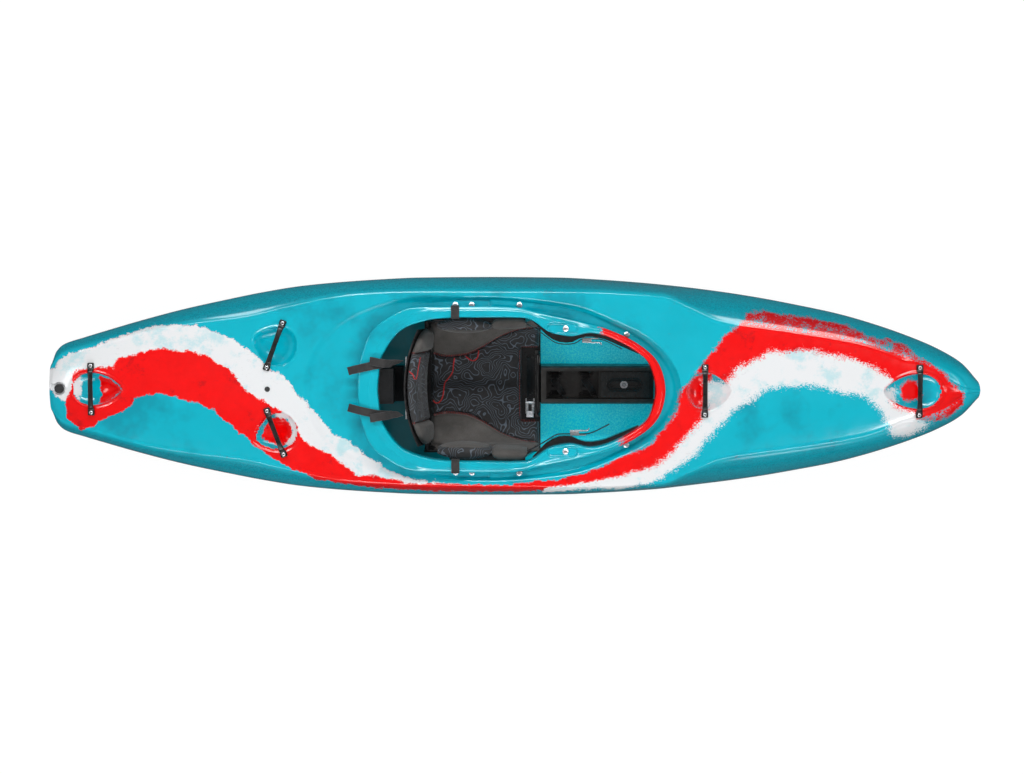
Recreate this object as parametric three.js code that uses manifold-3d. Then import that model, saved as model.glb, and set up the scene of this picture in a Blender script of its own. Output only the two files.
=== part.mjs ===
// Whitewater kayak: moulded shell with its seat, backband, thigh braces, footrests, pillars and fittings.
// Millimetres. +X runs to the bow, +Y to port, +Z up.
// The origin is on the ground, on the centreline, at half length.
import * as THREE from "three";
import { mergeVertices } from "three/addons/utils/BufferGeometryUtils.js";
import Module from "manifold-3d";

const wasm = await Module();
wasm.setup();

// Driving sizes
const LENGTH = 2720;
const BEAM = 650;
const DEPTH = 380;
const WALL = 6;
const CLEAR = 0.4;
const PARTING_GAP = 0.3;

// Cockpit sizes
const MOAT_LENGTH = 964;
const MOAT_REAR = -475;
const MOAT_FRONT = MOAT_REAR + MOAT_LENGTH;
const SIDE_DECK = 45;
const MOAT_WIDTH = BEAM - 2 * SIDE_DECK;
const MOAT_SLOPE = 16;
const MOAT_RISE = 22;
const REAR_GUTTER = 26;
const FRONT_GUTTER = 43;
const SIDE_GUTTER = 38;
const RIM_REAR = MOAT_REAR + REAR_GUTTER;
const RIM_LENGTH = MOAT_LENGTH - REAR_GUTTER - FRONT_GUTTER;
const RIM_WIDTH = MOAT_WIDTH - 2 * SIDE_GUTTER;
const RIM_THICK = 6;
const RIM_EDGE = 2;
const REAR_RIM_REACH = 58;
const FRONT_RIM_REACH = 28;
const SIDE_RIM_REACH = 32;
const OPENING_REAR = RIM_REAR + REAR_RIM_REACH;
const OPENING_LENGTH = RIM_LENGTH - REAR_RIM_REACH - FRONT_RIM_REACH;
const OPENING_WIDTH = RIM_WIDTH - 2 * SIDE_RIM_REACH;

// Handle and bowl sizes
const HANDLE_LENGTH = 155;
const HANDLE_SCREW_PITCH = 137;
const HANDLE_END_WIDTH = 17;
const HANDLE_MID_WIDTH = 13.5;
const HANDLE_FOOT_THICK = 7;
const HANDLE_MID_THICK = 9;
const HANDLE_ARCH = 9;
const SCREW_HEAD_RADIUS = 5.5;
const SCREW_HEAD_HEIGHT = 2.5;
const END_SETTLE = 0.8;
const BOWL_DEPTH = 30;
const END_BOWL_LENGTH = 150;
const END_BOWL_WIDTH = 98;
const MID_BOWL_LENGTH = 126;
const MID_BOWL_WIDTH = 111;

// Handle places
const STERN_HANDLE_GAP = 130;
const STERN_HANDLE_X = STERN_HANDLE_GAP - LENGTH / 2;
const STERN_BOWL_BACK = 56;
const STERN_BOWL_REAR = STERN_HANDLE_X - STERN_BOWL_BACK;
const REAR_HANDLE_GAP = 217;
const REAR_HANDLE_X = MOAT_REAR - REAR_HANDLE_GAP;
const REAR_HANDLE_SHARE = 0.394;
const REAR_HANDLE_Y = (REAR_HANDLE_SHARE * BEAM) / 2;
const REAR_HANDLE_TURN = 0.343;
const CENTRE_BOWL_GAP = 18;
const CENTRE_BOWL_REAR = MOAT_FRONT + CENTRE_BOWL_GAP;
const CENTRE_BOWL_BACK = 52;
const CENTRE_HANDLE_X = CENTRE_BOWL_REAR + CENTRE_BOWL_BACK;
const BOW_HANDLE_GAP = 184;
const BOW_HANDLE_X = LENGTH / 2 - BOW_HANDLE_GAP;
const BOW_BOWL_BACK = 91;
const BOW_BOWL_REAR = BOW_HANDLE_X - BOW_BOWL_BACK;
const REAR_SEAM_GAP = 65;
const REAR_SEAM_X = MOAT_REAR - REAR_SEAM_GAP;
const FRONT_SEAM_X = MOAT_FRONT + CENTRE_BOWL_GAP / 2;

// Seat sizes
const SEAT_REAR = -262;
const SEAT_SHEET = 5;
const SEAT_TOP = 62;
const CHEEK_INSET = 14;
const SEAT_CHEEK_HALF = OPENING_WIDTH / 2 - CHEEK_INSET;
const CHEEK_RUN = 46;
const SEAT_FLOOR_HALF = SEAT_CHEEK_HALF - CHEEK_RUN;
const SEAT_CORNER_HEIGHT = 36;
const SEAT_WING_HEIGHT = 142;
const FLANGE_INSET = 22;
const SEAT_FLANGE_HALF = MOAT_WIDTH / 2 - FLANGE_INSET;
const SEAT_FLANGE_REAR = -182;
const BRACE_REAR_SHARE = 0.56;
const BRACE_REAR = OPENING_REAR + BRACE_REAR_SHARE * OPENING_LENGTH;
const FLANGE_GAP = 22;
const SEAT_FLANGE_FRONT = BRACE_REAR - FLANGE_GAP;
const SEAT_TOE = 48;
const SEAT_FRONT = SEAT_FLANGE_FRONT + SEAT_TOE;
const BASE_INSET = 40;
const SEAT_BASE_HALF = SEAT_FLOOR_HALF - BASE_INSET;
const SEAT_LIP = 16;
const PAD_THICK = 22;
const PAD_REAR = -214;
const PAD_SETBACK = 4;
const PAD_FRONT = SEAT_FRONT - PAD_SETBACK;
const PAD_NOTCH_DEPTH = 54;
const PAD_NOTCH_REAR = PAD_FRONT - PAD_NOTCH_DEPTH;
const NOTCH_INSET = 44;
const PAD_NOTCH_HALF = SEAT_FLOOR_HALF - NOTCH_INSET;
const PAD_SIDE_HEIGHT = 88;
const HIP_REAR = -218;
const HIP_FRONT = -58;
const HIP_LOW = 168;
const HIP_HIGH = 252;
const HIP_THICK = 26;
const HIP_CHANNEL = 8;

// Backband sizes
const BAND_INSET = 24;
const BAND_HALF = SEAT_CHEEK_HALF - BAND_INSET;
const BAND_LOW = 118;
const BAND_HIGH = 250;
const BAND_LOW_X = -283;
const BAND_LEAN = 34;
const BAND_WRAP = 40;
const BAND_SHEET = 4;
const BAND_PAD = 32;
const BAND_PAD_END = 18;
const PIVOT_X = -238;
const PIVOT_Z = 125;
const PIVOT_RADIUS = 4;
const EYE_RADIUS = 10;
const EYE_THICK = 5;
const EYE_OUTER = SEAT_CHEEK_HALF - EYE_THICK;
const EYE_INNER = EYE_OUTER - EYE_THICK;

// Brace, ratchet and strap sizes
const BRACE_FRONT_SHARE = 0.9407;
const BRACE_FRONT = OPENING_REAR + BRACE_FRONT_SHARE * OPENING_LENGTH;
const BRACE_OUT = 34;
const BRACE_IN = 24;
const BRACE_THICK = 12;
const BRACE_LIP = 30;
const BRACE_LIP_THICK = 8;
const POCKET_CENTRE_SHARE = 0.6662;
const POCKET_CENTRE_X = OPENING_REAR + POCKET_CENTRE_SHARE * OPENING_LENGTH;
const BRACE_SCREW_AHEAD = 9;
const BRACE_SCREW_X = POCKET_CENTRE_X + BRACE_SCREW_AHEAD;
const BRACE_SCREW_SHARE = 0.7397;
const BRACE_SCREW_Y = (BRACE_SCREW_SHARE * RIM_WIDTH) / 2;
const BRACE_TRAVEL = 15;
const POCKET_LENGTH = 90;
const POCKET_WIDTH = 32;
const POCKET_DEPTH = 7;
const BOSS_LENGTH = 104;
const BOSS_WIDTH = 36;
const WASHER_RADIUS = 8.5;
const SHANK_RADIUS = 3;
const RATCHET_LENGTH = 46;
const RATCHET_WIDTH = 28;
const RATCHET_SHEET = 2;
const RATCHET_WALL_HEIGHT = 14;
const RATCHET_WALL_LENGTH = 26;
const RATCHET_PIN_RADIUS = 2.5;
const LEVER_RADIUS = 5;
const LEVER_LENGTH = 38;
const LEVER_THICK = 3;
const LEFT_RATCHET_GAP = 140;
const LEFT_RATCHET_X = BRACE_FRONT - LEFT_RATCHET_GAP;
const RIGHT_RATCHET_GAP = 175;
const RIGHT_RATCHET_X = BRACE_FRONT - RIGHT_RATCHET_GAP;
const STRAP_WIDTH = 24;
const STRAP_THICK = 2;
const LIFT_RATCHET_BACK = 32;
const LIFT_RATCHET_X = SEAT_FRONT - LIFT_RATCHET_BACK;
const LIFT_RATCHET_GAP = 38;
const LIFT_RATCHET_Y = LIFT_RATCHET_GAP - PAD_NOTCH_HALF;
const LIFT_STRAP_WIDTH = 20;
const LIFT_STRAP_GAP = 25;
const LIFT_STRAP_END = PAD_NOTCH_HALF - LIFT_STRAP_GAP;

// Pillar sizes
const TRAY_HALF = 57;
const TRAY_TOP = 125;
const TRAY_WELL_HALF = 42;
const TRAY_WELL_FLOOR = 72;
const TRAY_END = 16;
const TRAY_WELL_LENGTH = 158;
const TRAY_WELL_REAR = SEAT_FRONT + TRAY_END;
const TRAY_WELL_FRONT = TRAY_WELL_REAR + TRAY_WELL_LENGTH;
const TRAY_CAP_FLOOR = 104;
const CAP_LENGTH = 148;
const CAP_MARGIN = 12;
const CAP_REAR = TRAY_WELL_FRONT + WALL;
const CAP_FRONT = CAP_REAR + CAP_LENGTH;
const TRAY_FRONT = CAP_FRONT + CAP_MARGIN;
const CAP_HALF = 38;
const CAP_THICK = 12;
const CAP_SLOT_START = 20;
const CAP_SLOT_LENGTH = 102;
const CAP_SLOT_REAR = CAP_REAR + CAP_SLOT_START;
const CAP_SLOT_FRONT = CAP_SLOT_REAR + CAP_SLOT_LENGTH;
const CAP_SLOT_HALF = 15.5;
const PILLAR_SCREW_AHEAD = 50;
const PILLAR_SCREW_X = CAP_SLOT_REAR + PILLAR_SCREW_AHEAD;
const PILLAR_SCREW_RADIUS = 11.5;
const RECESS_LENGTH = 46;
const RECESS_WIDTH = 16;
const RECESS_DEPTH = 14;
const PILLAR_JOIN_GAP = 8;
const BOW_PILLAR_REAR = TRAY_FRONT + PILLAR_JOIN_GAP;
const BOW_PILLAR_GAP = 290;
const BOW_PILLAR_FRONT = LENGTH / 2 - BOW_PILLAR_GAP;
const PILLAR_HALF = 45;
const REAR_PILLAR_GAP = 180;
const REAR_PILLAR_REAR = REAR_PILLAR_GAP - LENGTH / 2;
const REAR_PILLAR_FRONT = -352;
const REAR_PILLAR_TOE = -326;
const REAR_PILLAR_TOE_TOP = 84;
const REAR_PILLAR_HALF = 52;
const REAR_PILLAR_FRONT_TOP = 180;

// Footrest sizes
const RAIL_REAR = 500;
const RAIL_FRONT = 820;
const RAIL_Z = 200;
const RAIL_HEIGHT = 20;
const RAIL_THICK = 8;
const FOOT_X = 650;
const FOOT_BACK = 80;
const FOOT_AHEAD = 110;
const FOOT_THICK = 6;
const FOOT_INNER = 84;
const FOOT_LOW = 92;
const FOOT_HIGH = 255;
const FOOT_SIDE_GAP = 10;
const FOOT_PAD_THICK = 18;
const CARRIAGE_LENGTH = 60;
const CARRIAGE_THICK = 8;
const CARRIAGE_LIP = 5;

// Deck fittings
const PLUG_GAP = 33;
const PLUG_X = PLUG_GAP - LENGTH / 2;
const PLUG_RADIUS = 14;
const PLUG_RECESS_RADIUS = 18;
const PLUG_RECESS_DEPTH = 10;
const PLUG_STEM_RADIUS = 10;
const PLUG_HEAD = 7;
const PLUG_STEM = 14;
const RIVET_BEHIND = 22;
const RIVET_X = REAR_HANDLE_X - RIVET_BEHIND;
const RIVET_RADIUS = 8;
const RIVET_HEAD = 2.5;
const RIVET_STEM_RADIUS = 4;
const SEAT_SCREW_REAR_GAP = 18;
const SEAT_SCREW_PITCH = 48;
const SEAT_SCREW_FRONT_GAP = 17;
const FIRST_SEAT_SCREW_X = SEAT_FLANGE_REAR + SEAT_SCREW_REAR_GAP;
const SEAT_SCREW_XS = [
  FIRST_SEAT_SCREW_X, FIRST_SEAT_SCREW_X + SEAT_SCREW_PITCH, SEAT_FLANGE_FRONT - SEAT_SCREW_FRONT_GAP,
];
const SEAT_SCREW_INSET = 12;
const SEAT_SCREW_Y = SEAT_FLANGE_HALF - SEAT_SCREW_INSET;
const NUT_STRIP_WIDTH = 16;
const NUT_STRIP_THICK = 4;
const FRONT_SCREW_BEHIND = 154;
const FRONT_SCREW_X = MOAT_FRONT - FRONT_SCREW_BEHIND;
const FRONT_SCREW_GAP = 2.7;

// Half beam along the hull: share of the length from the stern, share of half the beam
const BEAM_SHARES = [
  [0, 0.2], [0.002, 0.24], [0.006, 0.33], [0.0145, 0.395], [0.036, 0.455], [0.0575, 0.51],
  [0.1, 0.614], [0.1435, 0.71], [0.1865, 0.79], [0.23, 0.864], [0.27, 0.918], [0.315, 0.955],
  [0.36, 0.98], [0.4, 0.995], [0.477, 1], [0.55, 0.995], [0.595, 0.977], [0.64, 0.95],
  [0.68, 0.918], [0.724, 0.873], [0.767, 0.818], [0.81, 0.75], [0.853, 0.673], [0.896, 0.568],
  [0.939, 0.436], [0.96, 0.355], [0.982, 0.241], [1, 0.07],
];
// Keel line: share of the length, share of the depth
const KEEL_SHARES = [
  [0, 0.45], [0.006, 0.4], [0.05, 0.31], [0.1, 0.237], [0.2, 0.121], [0.3, 0.042], [0.4, 0],
  [0.56, 0], [0.6, 0.016], [0.7, 0.079], [0.8, 0.189], [0.9, 0.363], [0.96, 0.5], [0.985, 0.6],
  [1, 0.7],
];
// Height of the widest line
const WAIST_SHARES = [
  [0, 0.56], [0.1, 0.526], [0.3, 0.453], [0.5, 0.434], [0.7, 0.5], [0.85, 0.618], [0.95, 0.72],
  [1, 0.8],
];
// Height of the deck on the centreline
const DECK_SHARES = [
  [0, 0.665], [0.006, 0.695], [0.05, 0.75], [0.1, 0.77], [0.2, 0.763], [0.3, 0.716],
  [0.345, 0.693], [0.4, 0.71], [0.5, 0.785], [0.6, 0.86], [0.66, 0.9], [0.72, 0.937], [0.8, 0.966],
  [0.88, 0.99], [0.93, 1], [0.96, 0.995], [0.985, 0.96], [1, 0.9],
];
// Height of the shoulder crease
const CREASE_SHARES = [
  [0, 0.64], [0.05, 0.695], [0.1, 0.71], [0.2, 0.7], [0.3, 0.678], [0.345, 0.672], [0.4, 0.7],
  [0.5, 0.78], [0.6, 0.835], [0.66, 0.86], [0.72, 0.88], [0.8, 0.9], [0.88, 0.925], [0.93, 0.952],
  [0.96, 0.965], [0.985, 0.945], [1, 0.89],
];
// Half width at the shoulder crease: share of half the beam
const SHOULDER_SHARES = [
  [0, 0.16], [0.0145, 0.29], [0.03, 0.34], [0.055, 0.4], [0.11, 0.52], [0.155, 0.582],
  [0.215, 0.646], [0.255, 0.726], [0.315, 0.825], [0.4, 0.862], [0.55, 0.868], [0.66, 0.834],
  [0.69, 0.735], [0.72, 0.62], [0.74, 0.582], [0.8, 0.511], [0.87, 0.412], [0.918, 0.277],
  [0.955, 0.154], [0.984, 0.03], [1, 0.015],
];
// Flat share of the half beam at the bottom
const FLAT_SHARES = [[0, 0.3], [0.1, 0.36], [0.9, 0.36], [1, 0.2]];
// Rim top and recess floor: share of the length, share of the depth
const RIM_SHARES = [
  [0.32, 0.768], [0.42, 0.795], [0.5, 0.835], [0.6, 0.885], [0.7, 0.935],
];
const MOAT_FLOOR_SHARES = [
  [0.3, 0.735], [0.345, 0.694], [0.4, 0.7], [0.5, 0.75], [0.6, 0.8], [0.7, 0.85],
];
// Plan outlines: share of the outline's length from its rear, share of its half width
const OPENING_SHARES = [
  [0, 0], [0.004, 0.19], [0.016, 0.45], [0.083, 0.81], [0.173, 0.952], [0.263, 0.995],
  [0.371, 1], [0.496, 1], [0.543, 0.985], [0.567, 0.94], [0.601, 0.845], [0.618, 0.805],
  [0.659, 0.762], [0.7, 0.745], [0.724, 0.762], [0.761, 0.79], [0.807, 0.767], [0.864, 0.681],
  [0.922, 0.557], [0.968, 0.414], [0.99, 0.229], [1, 0],
];
const RIM_OUTLINE_SHARES = [
  [0, 0], [0.007, 0.331], [0.019, 0.483], [0.037, 0.653], [0.063, 0.769], [0.094, 0.851],
  [0.122, 0.913], [0.153, 0.967], [0.181, 0.99], [0.27, 1], [0.526, 0.99], [0.585, 0.934],
  [0.704, 0.839], [0.794, 0.756], [0.831, 0.707], [0.883, 0.62], [0.935, 0.496], [0.968, 0.378],
  [0.99, 0.22], [1, 0],
];
const MOAT_OUTLINE_SHARES = [
  [0, 0], [0.004, 0.3], [0.02, 0.55], [0.06, 0.74], [0.193, 0.943], [0.268, 0.982], [0.398, 1],
  [0.571, 0.957], [0.682, 0.896], [0.733, 0.843], [0.83, 0.689], [0.88, 0.604], [0.935, 0.461],
  [0.971, 0.304], [0.992, 0.16], [1, 0],
];
const BOWL_SHARES = [
  [0, 0], [0.02, 0.35], [0.08, 0.7], [0.22, 0.95], [0.4, 1], [0.6, 0.85], [0.8, 0.52],
  [0.95, 0.2], [1, 0],
];
// Bowl depth: share of the outline, share of the depth
const BOWL_STEP_SHARES = [[1, 0], [0.94, 0.3], [0.8, 0.65], [0.55, 0.9], [0.25, 1]];
const STATION_SHARES = [
  0, 0.003, 0.008, 0.0145, 0.025, 0.04, 0.06, 0.085, 0.11, 0.14, 0.17, 0.2, 0.23, 0.26, 0.29,
  0.32, 0.345, 0.37, 0.4, 0.44, 0.48, 0.52, 0.56, 0.6, 0.63, 0.66, 0.69, 0.715, 0.74, 0.77, 0.8,
  0.83, 0.86, 0.885, 0.91, 0.93, 0.95, 0.965, 0.978, 0.988, 0.995, 1,
];
const INNER_STATION_SHARES = [
  0.005, 0.0145, 0.04, 0.085, 0.14, 0.2, 0.26, 0.32, 0.36, 0.4, 0.48, 0.56, 0.62, 0.68, 0.73,
  0.78, 0.83, 0.88, 0.93, 0.965, 0.988, 0.996,
];
const HULL_POWER = 2.4;
const SIDE_POWER = 1.6;
const OUTLINE_POINTS = 60;
const BOWL_POINT_STEP = 3;

// Smooth curve through a table, level where the table turns
function curveThrough(shares) {
  const last = shares.length - 1;
  const slope = shares.slice(1).map(([x, y], i) => (y - shares[i][1]) / (x - shares[i][0]));
  const tangent = shares.map((_, i) => {
    if (i === 0) return slope[0];
    if (i === last) return slope[last - 1];
    const before = slope[i - 1];
    const after = slope[i];
    return before * after <= 0 ? 0 : (2 * before * after) / (before + after);
  });
  return (at) => {
    let i = 0;
    while (i < last - 1 && at > shares[i + 1][0]) i += 1;
    const span = shares[i + 1][0] - shares[i][0];
    const t = Math.min(1, Math.max(0, (at - shares[i][0]) / span));
    const rise = t * t * (3 - 2 * t);
    const leave = t * (1 - t) * (1 - t) * span * tangent[i];
    const arrive = t * t * (t - 1) * span * tangent[i + 1];
    return shares[i][1] * (1 - rise) + shares[i + 1][1] * rise + leave + arrive;
  };
}

const beamShare = curveThrough(BEAM_SHARES);
const keelShare = curveThrough(KEEL_SHARES);
const waistShare = curveThrough(WAIST_SHARES);
const deckShare = curveThrough(DECK_SHARES);
const creaseShare = curveThrough(CREASE_SHARES);
const shoulderShare = curveThrough(SHOULDER_SHARES);
const flatShare = curveThrough(FLAT_SHARES);
const rimShare = curveThrough(RIM_SHARES);
const moatFloorShare = curveThrough(MOAT_FLOOR_SHARES);
const stationAt = (x) => x / LENGTH + 0.5;
const xAt = (station) => (station - 0.5) * LENGTH;
const rimTop = (x) => rimShare(stationAt(x)) * DEPTH;
const moatFloor = (x) => moatFloorShare(stationAt(x)) * DEPTH;

// Named sizes of the hull section at a station, drawn in by an inset
function sectionAt(station, inset) {
  const half = (beamShare(station) * BEAM) / 2 - inset;
  const shoulder = (shoulderShare(station) * BEAM) / 2 - inset / 2;
  return {
    half,
    flat: flatShare(station) * (half + inset),
    keel: keelShare(station) * DEPTH + inset,
    waist: waistShare(station) * DEPTH,
    crease: creaseShare(station) * DEPTH - inset,
    deck: deckShare(station) * DEPTH - inset,
    shoulder: Math.min(Math.max(shoulder, WALL / 4), half * 0.96),
  };
}

function sectionRing(station, inset, lowerSteps, upperSteps, deckSteps) {
  const s = sectionAt(station, inset);
  const flat = Math.min(s.flat, s.half * 0.6);
  const half = [[0, s.keel]];
  for (let i = 0; i <= lowerSteps; i += 1) {
    const turn = (i / lowerSteps) * (Math.PI / 2);
    half.push([
      flat + (s.half - flat) * Math.pow(Math.sin(turn), 2 / HULL_POWER),
      s.waist - (s.waist - s.keel) * Math.pow(Math.max(0, Math.cos(turn)), 2 / HULL_POWER),
    ]);
  }
  for (let i = 1; i <= upperSteps; i += 1) {
    const turn = (i / upperSteps) * (Math.PI / 2);
    half.push([
      s.shoulder + (s.half - s.shoulder) * Math.pow(Math.max(0, Math.cos(turn)), 2 / SIDE_POWER),
      s.waist + (s.crease - s.waist) * Math.pow(Math.sin(turn), 2 / SIDE_POWER),
    ]);
  }
  for (let i = 1; i <= deckSteps; i += 1) {
    const out = 1 - i / deckSteps;
    half.push([s.shoulder * out, s.crease + (s.deck - s.crease) * (1 - out * out)]);
  }
  const x = xAt(station);
  const left = half.map(([y, z]) => [x, y, z]);
  const right = half.slice(1, -1).reverse().map(([y, z]) => [x, -y, z]);
  return [...left, ...right];
}

// Half width of the cavity wall at a height, and height of the deck at a half width
function wallHalf(x, z, inset) {
  const s = sectionAt(stationAt(x), inset);
  const flat = Math.min(s.flat, s.half * 0.6);
  if (z < s.waist) {
    const fall = Math.min(1, (s.waist - z) / (s.waist - s.keel));
    return flat + (s.half - flat) * Math.pow(1 - Math.pow(fall, HULL_POWER), 1 / HULL_POWER);
  }
  const climb = Math.min(1, (z - s.waist) / (s.crease - s.waist));
  return s.shoulder + (s.half - s.shoulder) * Math.pow(1 - Math.pow(climb, SIDE_POWER), 1 / SIDE_POWER);
}

function deckHeight(x, y, inset) {
  const s = sectionAt(stationAt(x), inset);
  const out = Math.abs(y) / s.shoulder;
  if (out <= 1) return s.crease + (s.deck - s.crease) * (1 - out * out);
  const side = Math.min(1, (Math.abs(y) - s.shoulder) / (s.half - s.shoulder));
  return s.waist + (s.crease - s.waist) * Math.pow(1 - Math.pow(side, SIDE_POWER), 1 / SIDE_POWER);
}

// Cavity floor on the centreline, straight between the cavity's stations
function keelInside(x) {
  const station = stationAt(x);
  const next = Math.max(1, INNER_STATION_SHARES.findIndex((s) => s >= station));
  const [a, b] = [INNER_STATION_SHARES[next - 1], INNER_STATION_SHARES[next]];
  const t = (station - a) / (b - a);
  return (keelShare(a) * (1 - t) + keelShare(b) * t) * DEPTH + WALL + CLEAR;
}

// Places along X from one to another, with every cavity station between them
function cavityPlaces(from, to, ...more) {
  const inner = INNER_STATION_SHARES.map(xAt).filter((x) => x > from + WALL && x < to - WALL);
  const extra = more.filter((x) => x > from && x < to);
  return [...new Set([from, ...inner, ...extra, to])].sort((a, b) => a - b);
}

// Closed body from rings of equal counts; paired ends follow a mirrored outline
function loft(rings, paired = false) {
  const count = rings[0].length;
  const points = rings.flat();
  const faces = [];
  for (let r = 0; r < rings.length - 1; r += 1) {
    for (let i = 0; i < count; i += 1) {
      const j = (i + 1) % count;
      const a = r * count + i;
      const b = r * count + j;
      faces.push([a, b, b + count], [a, b + count, a + count]);
    }
  }
  const ends = [[0, rings[0], true], [(rings.length - 1) * count, rings[rings.length - 1], false]];
  for (const [start, ring, turned] of ends) {
    let flat = paired ? pairedFaces(count) : fanFaces(ring);
    if (flat === null) flat = earFaces(ring);
    else if (!paired) points.push(middleOf(ring));
    for (const face of flat) {
      const set = face.map((i) => (i < 0 ? points.length - 1 : i + start));
      faces.push(turned ? set.reverse() : set);
    }
  }
  let volume = 0;
  for (const [a, b, c] of faces) {
    const [p, q, r] = [points[a], points[b], points[c]];
    volume += p[0] * (q[1] * r[2] - q[2] * r[1]) - p[1] * (q[0] * r[2] - q[2] * r[0]);
    volume += p[2] * (q[0] * r[1] - q[1] * r[0]);
  }
  const ordered = volume < 0 ? faces.map((face) => [...face].reverse()) : faces;
  const geometry = new THREE.BufferGeometry();
  const flatPoints = ordered.flat().flatMap((i) => points[i]);
  geometry.setAttribute("position", new THREE.Float32BufferAttribute(flatPoints, 3));
  return geometry;
}

const middleOf = (ring) => [0, 1, 2].map((k) => ring.reduce((sum, p) => sum + p[k], 0) / ring.length);

function pairedFaces(count) {
  const faces = [];
  for (let i = 0; i < count / 2; i += 1) {
    const c = (count - i - 1) % count;
    const d = (count - i) % count;
    if (i === d) faces.push([i, i + 1, c]);
    else if (i + 1 === c) faces.push([i, i + 1, d]);
    else faces.push([i, i + 1, c], [i, c, d]);
  }
  return faces;
}

function ringNormal(ring) {
  const normal = new THREE.Vector3();
  const from = new THREE.Vector3();
  const to = new THREE.Vector3();
  ring.forEach((p, i) => {
    from.set(...p);
    to.set(...ring[(i + 1) % ring.length]);
    normal.add(from.cross(to));
  });
  return normal.normalize();
}

// Fan about the middle, or null where the middle doesn't see the whole ring
function fanFaces(ring) {
  const normal = ringNormal(ring);
  const middle = new THREE.Vector3(...middleOf(ring));
  const seen = ring.every((p, i) => {
    const from = new THREE.Vector3(...p).sub(middle);
    const to = new THREE.Vector3(...ring[(i + 1) % ring.length]).sub(middle);
    return from.cross(to).dot(normal) > 0;
  });
  return seen ? ring.map((_, i) => [i, (i + 1) % ring.length, -1]) : null;
}

function earFaces(ring) {
  const along = ringNormal(ring).toArray().map(Math.abs);
  const [u, v] = [[1, 2], [2, 0], [0, 1]][along.indexOf(Math.max(...along))];
  const flat = ring.map((p) => new THREE.Vector2(p[u], p[v]));
  const faces = THREE.ShapeUtils.triangulateShape(flat, []);
  return THREE.ShapeUtils.area(flat) < 0 ? faces.map((face) => [...face].reverse()) : faces;
}

function toSolid(geometry) {
  const bare = geometry.clone();
  bare.deleteAttribute("normal");
  bare.deleteAttribute("uv");
  const merged = mergeVertices(bare, 1e-3);
  return new wasm.Manifold(
    new wasm.Mesh({
      numProp: 3,
      vertProperties: merged.attributes.position.array,
      triVerts: new Uint32Array(merged.index.array),
    }),
  );
}

const solidOf = (shape) => (shape.isBufferGeometry ? toSolid(shape) : shape);
const join = (first, ...rest) => rest.reduce((sum, next) => sum.add(solidOf(next)), solidOf(first));
const cut = (first, ...rest) => rest.reduce((sum, next) => sum.subtract(solidOf(next)), solidOf(first));
const common = (first, second) => solidOf(first).intersect(solidOf(second));

function toGeometry(shape) {
  if (shape.isBufferGeometry) return shape;
  const mesh = shape.getMesh();
  const geometry = new THREE.BufferGeometry();
  const positions = new Float32Array((mesh.vertProperties.length / mesh.numProp) * 3);
  for (let i = 0; i < positions.length / 3; i += 1) {
    for (let k = 0; k < 3; k += 1) positions[3 * i + k] = mesh.vertProperties[mesh.numProp * i + k];
  }
  geometry.setAttribute("position", new THREE.BufferAttribute(positions, 3));
  geometry.setIndex(new THREE.BufferAttribute(new Uint32Array(mesh.triVerts), 1));
  return geometry;
}

// Block between two corners
function block(x0, x1, y0, y1, z0, z1) {
  const geometry = new THREE.BoxGeometry(x1 - x0, y1 - y0, z1 - z0);
  return geometry.translate((x0 + x1) / 2, (y0 + y1) / 2, (z0 + z1) / 2);
}

// Round bar between two points
function rod(radius, from, to, sides = 16) {
  const start = new THREE.Vector3(...from);
  const end = new THREE.Vector3(...to);
  const along = end.clone().sub(start);
  const geometry = new THREE.CylinderGeometry(radius, radius, along.length(), sides);
  const turn = new THREE.Quaternion().setFromUnitVectors(new THREE.Vector3(0, 1, 0), along.normalize());
  return geometry.applyQuaternion(turn).translate(...start.add(end).multiplyScalar(0.5).toArray());
}

// Domed screw head standing on a point
function screwHead(x, y, z, radius, height) {
  const profile = [[0, 0], [radius, 0], [radius, height / 2], [radius * 0.6, height], [0, height]];
  const geometry = new THREE.LatheGeometry(profile.map(([r, h]) => new THREE.Vector2(r, h)), 12);
  return geometry.rotateX(Math.PI / 2).translate(x, y, z);
}

// Slot-shaped bar standing on z0, its long side along X
function slotBar(xCentre, yCentre, length, width, z0, z1) {
  const shape = new THREE.Shape();
  const reach = length / 2 - width / 2;
  shape.absarc(reach, 0, width / 2, -Math.PI / 2, Math.PI / 2, false);
  shape.absarc(-reach, 0, width / 2, Math.PI / 2, (3 * Math.PI) / 2, false);
  const geometry = new THREE.ExtrudeGeometry(shape, {
    depth: z1 - z0, bevelEnabled: false, curveSegments: 8,
  });
  return geometry.translate(xCentre, yCentre, z0);
}

// Mirrored closed outline in plan, starting at the rear on the centreline
function planOutline(shares, rear, length, width) {
  const half = shares.map(([x, y]) => new THREE.Vector3(rear + x * length, (y * width) / 2, 0));
  const back = half.slice(1, -1).reverse().map((p) => new THREE.Vector3(p.x, -p.y, 0));
  const curve = new THREE.CatmullRomCurve3([...half, ...back], true, "centripetal");
  curve.arcLengthDivisions = 2000;
  const side = curve.getSpacedPoints(OUTLINE_POINTS).slice(0, OUTLINE_POINTS / 2 + 1);
  const left = side.map((p, i) => [p.x, i % (OUTLINE_POINTS / 2) === 0 ? 0 : p.y]);
  return [...left, ...left.slice(1, -1).reverse().map(([x, y]) => [x, -y])];
}

function grownOutline(outline, distance) {
  const count = outline.length;
  return outline.map(([x, y], i) => {
    const [x0, y0] = outline[(i + count - 1) % count];
    const [x1, y1] = outline[(i + 1) % count];
    const reach = Math.hypot(x1 - x0, y1 - y0);
    return [x - ((y1 - y0) / reach) * distance, y + ((x1 - x0) / reach) * distance];
  });
}

const atHeight = (outline, height) => outline.map(([x, y]) => [x, y, height(x, y)]);

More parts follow.
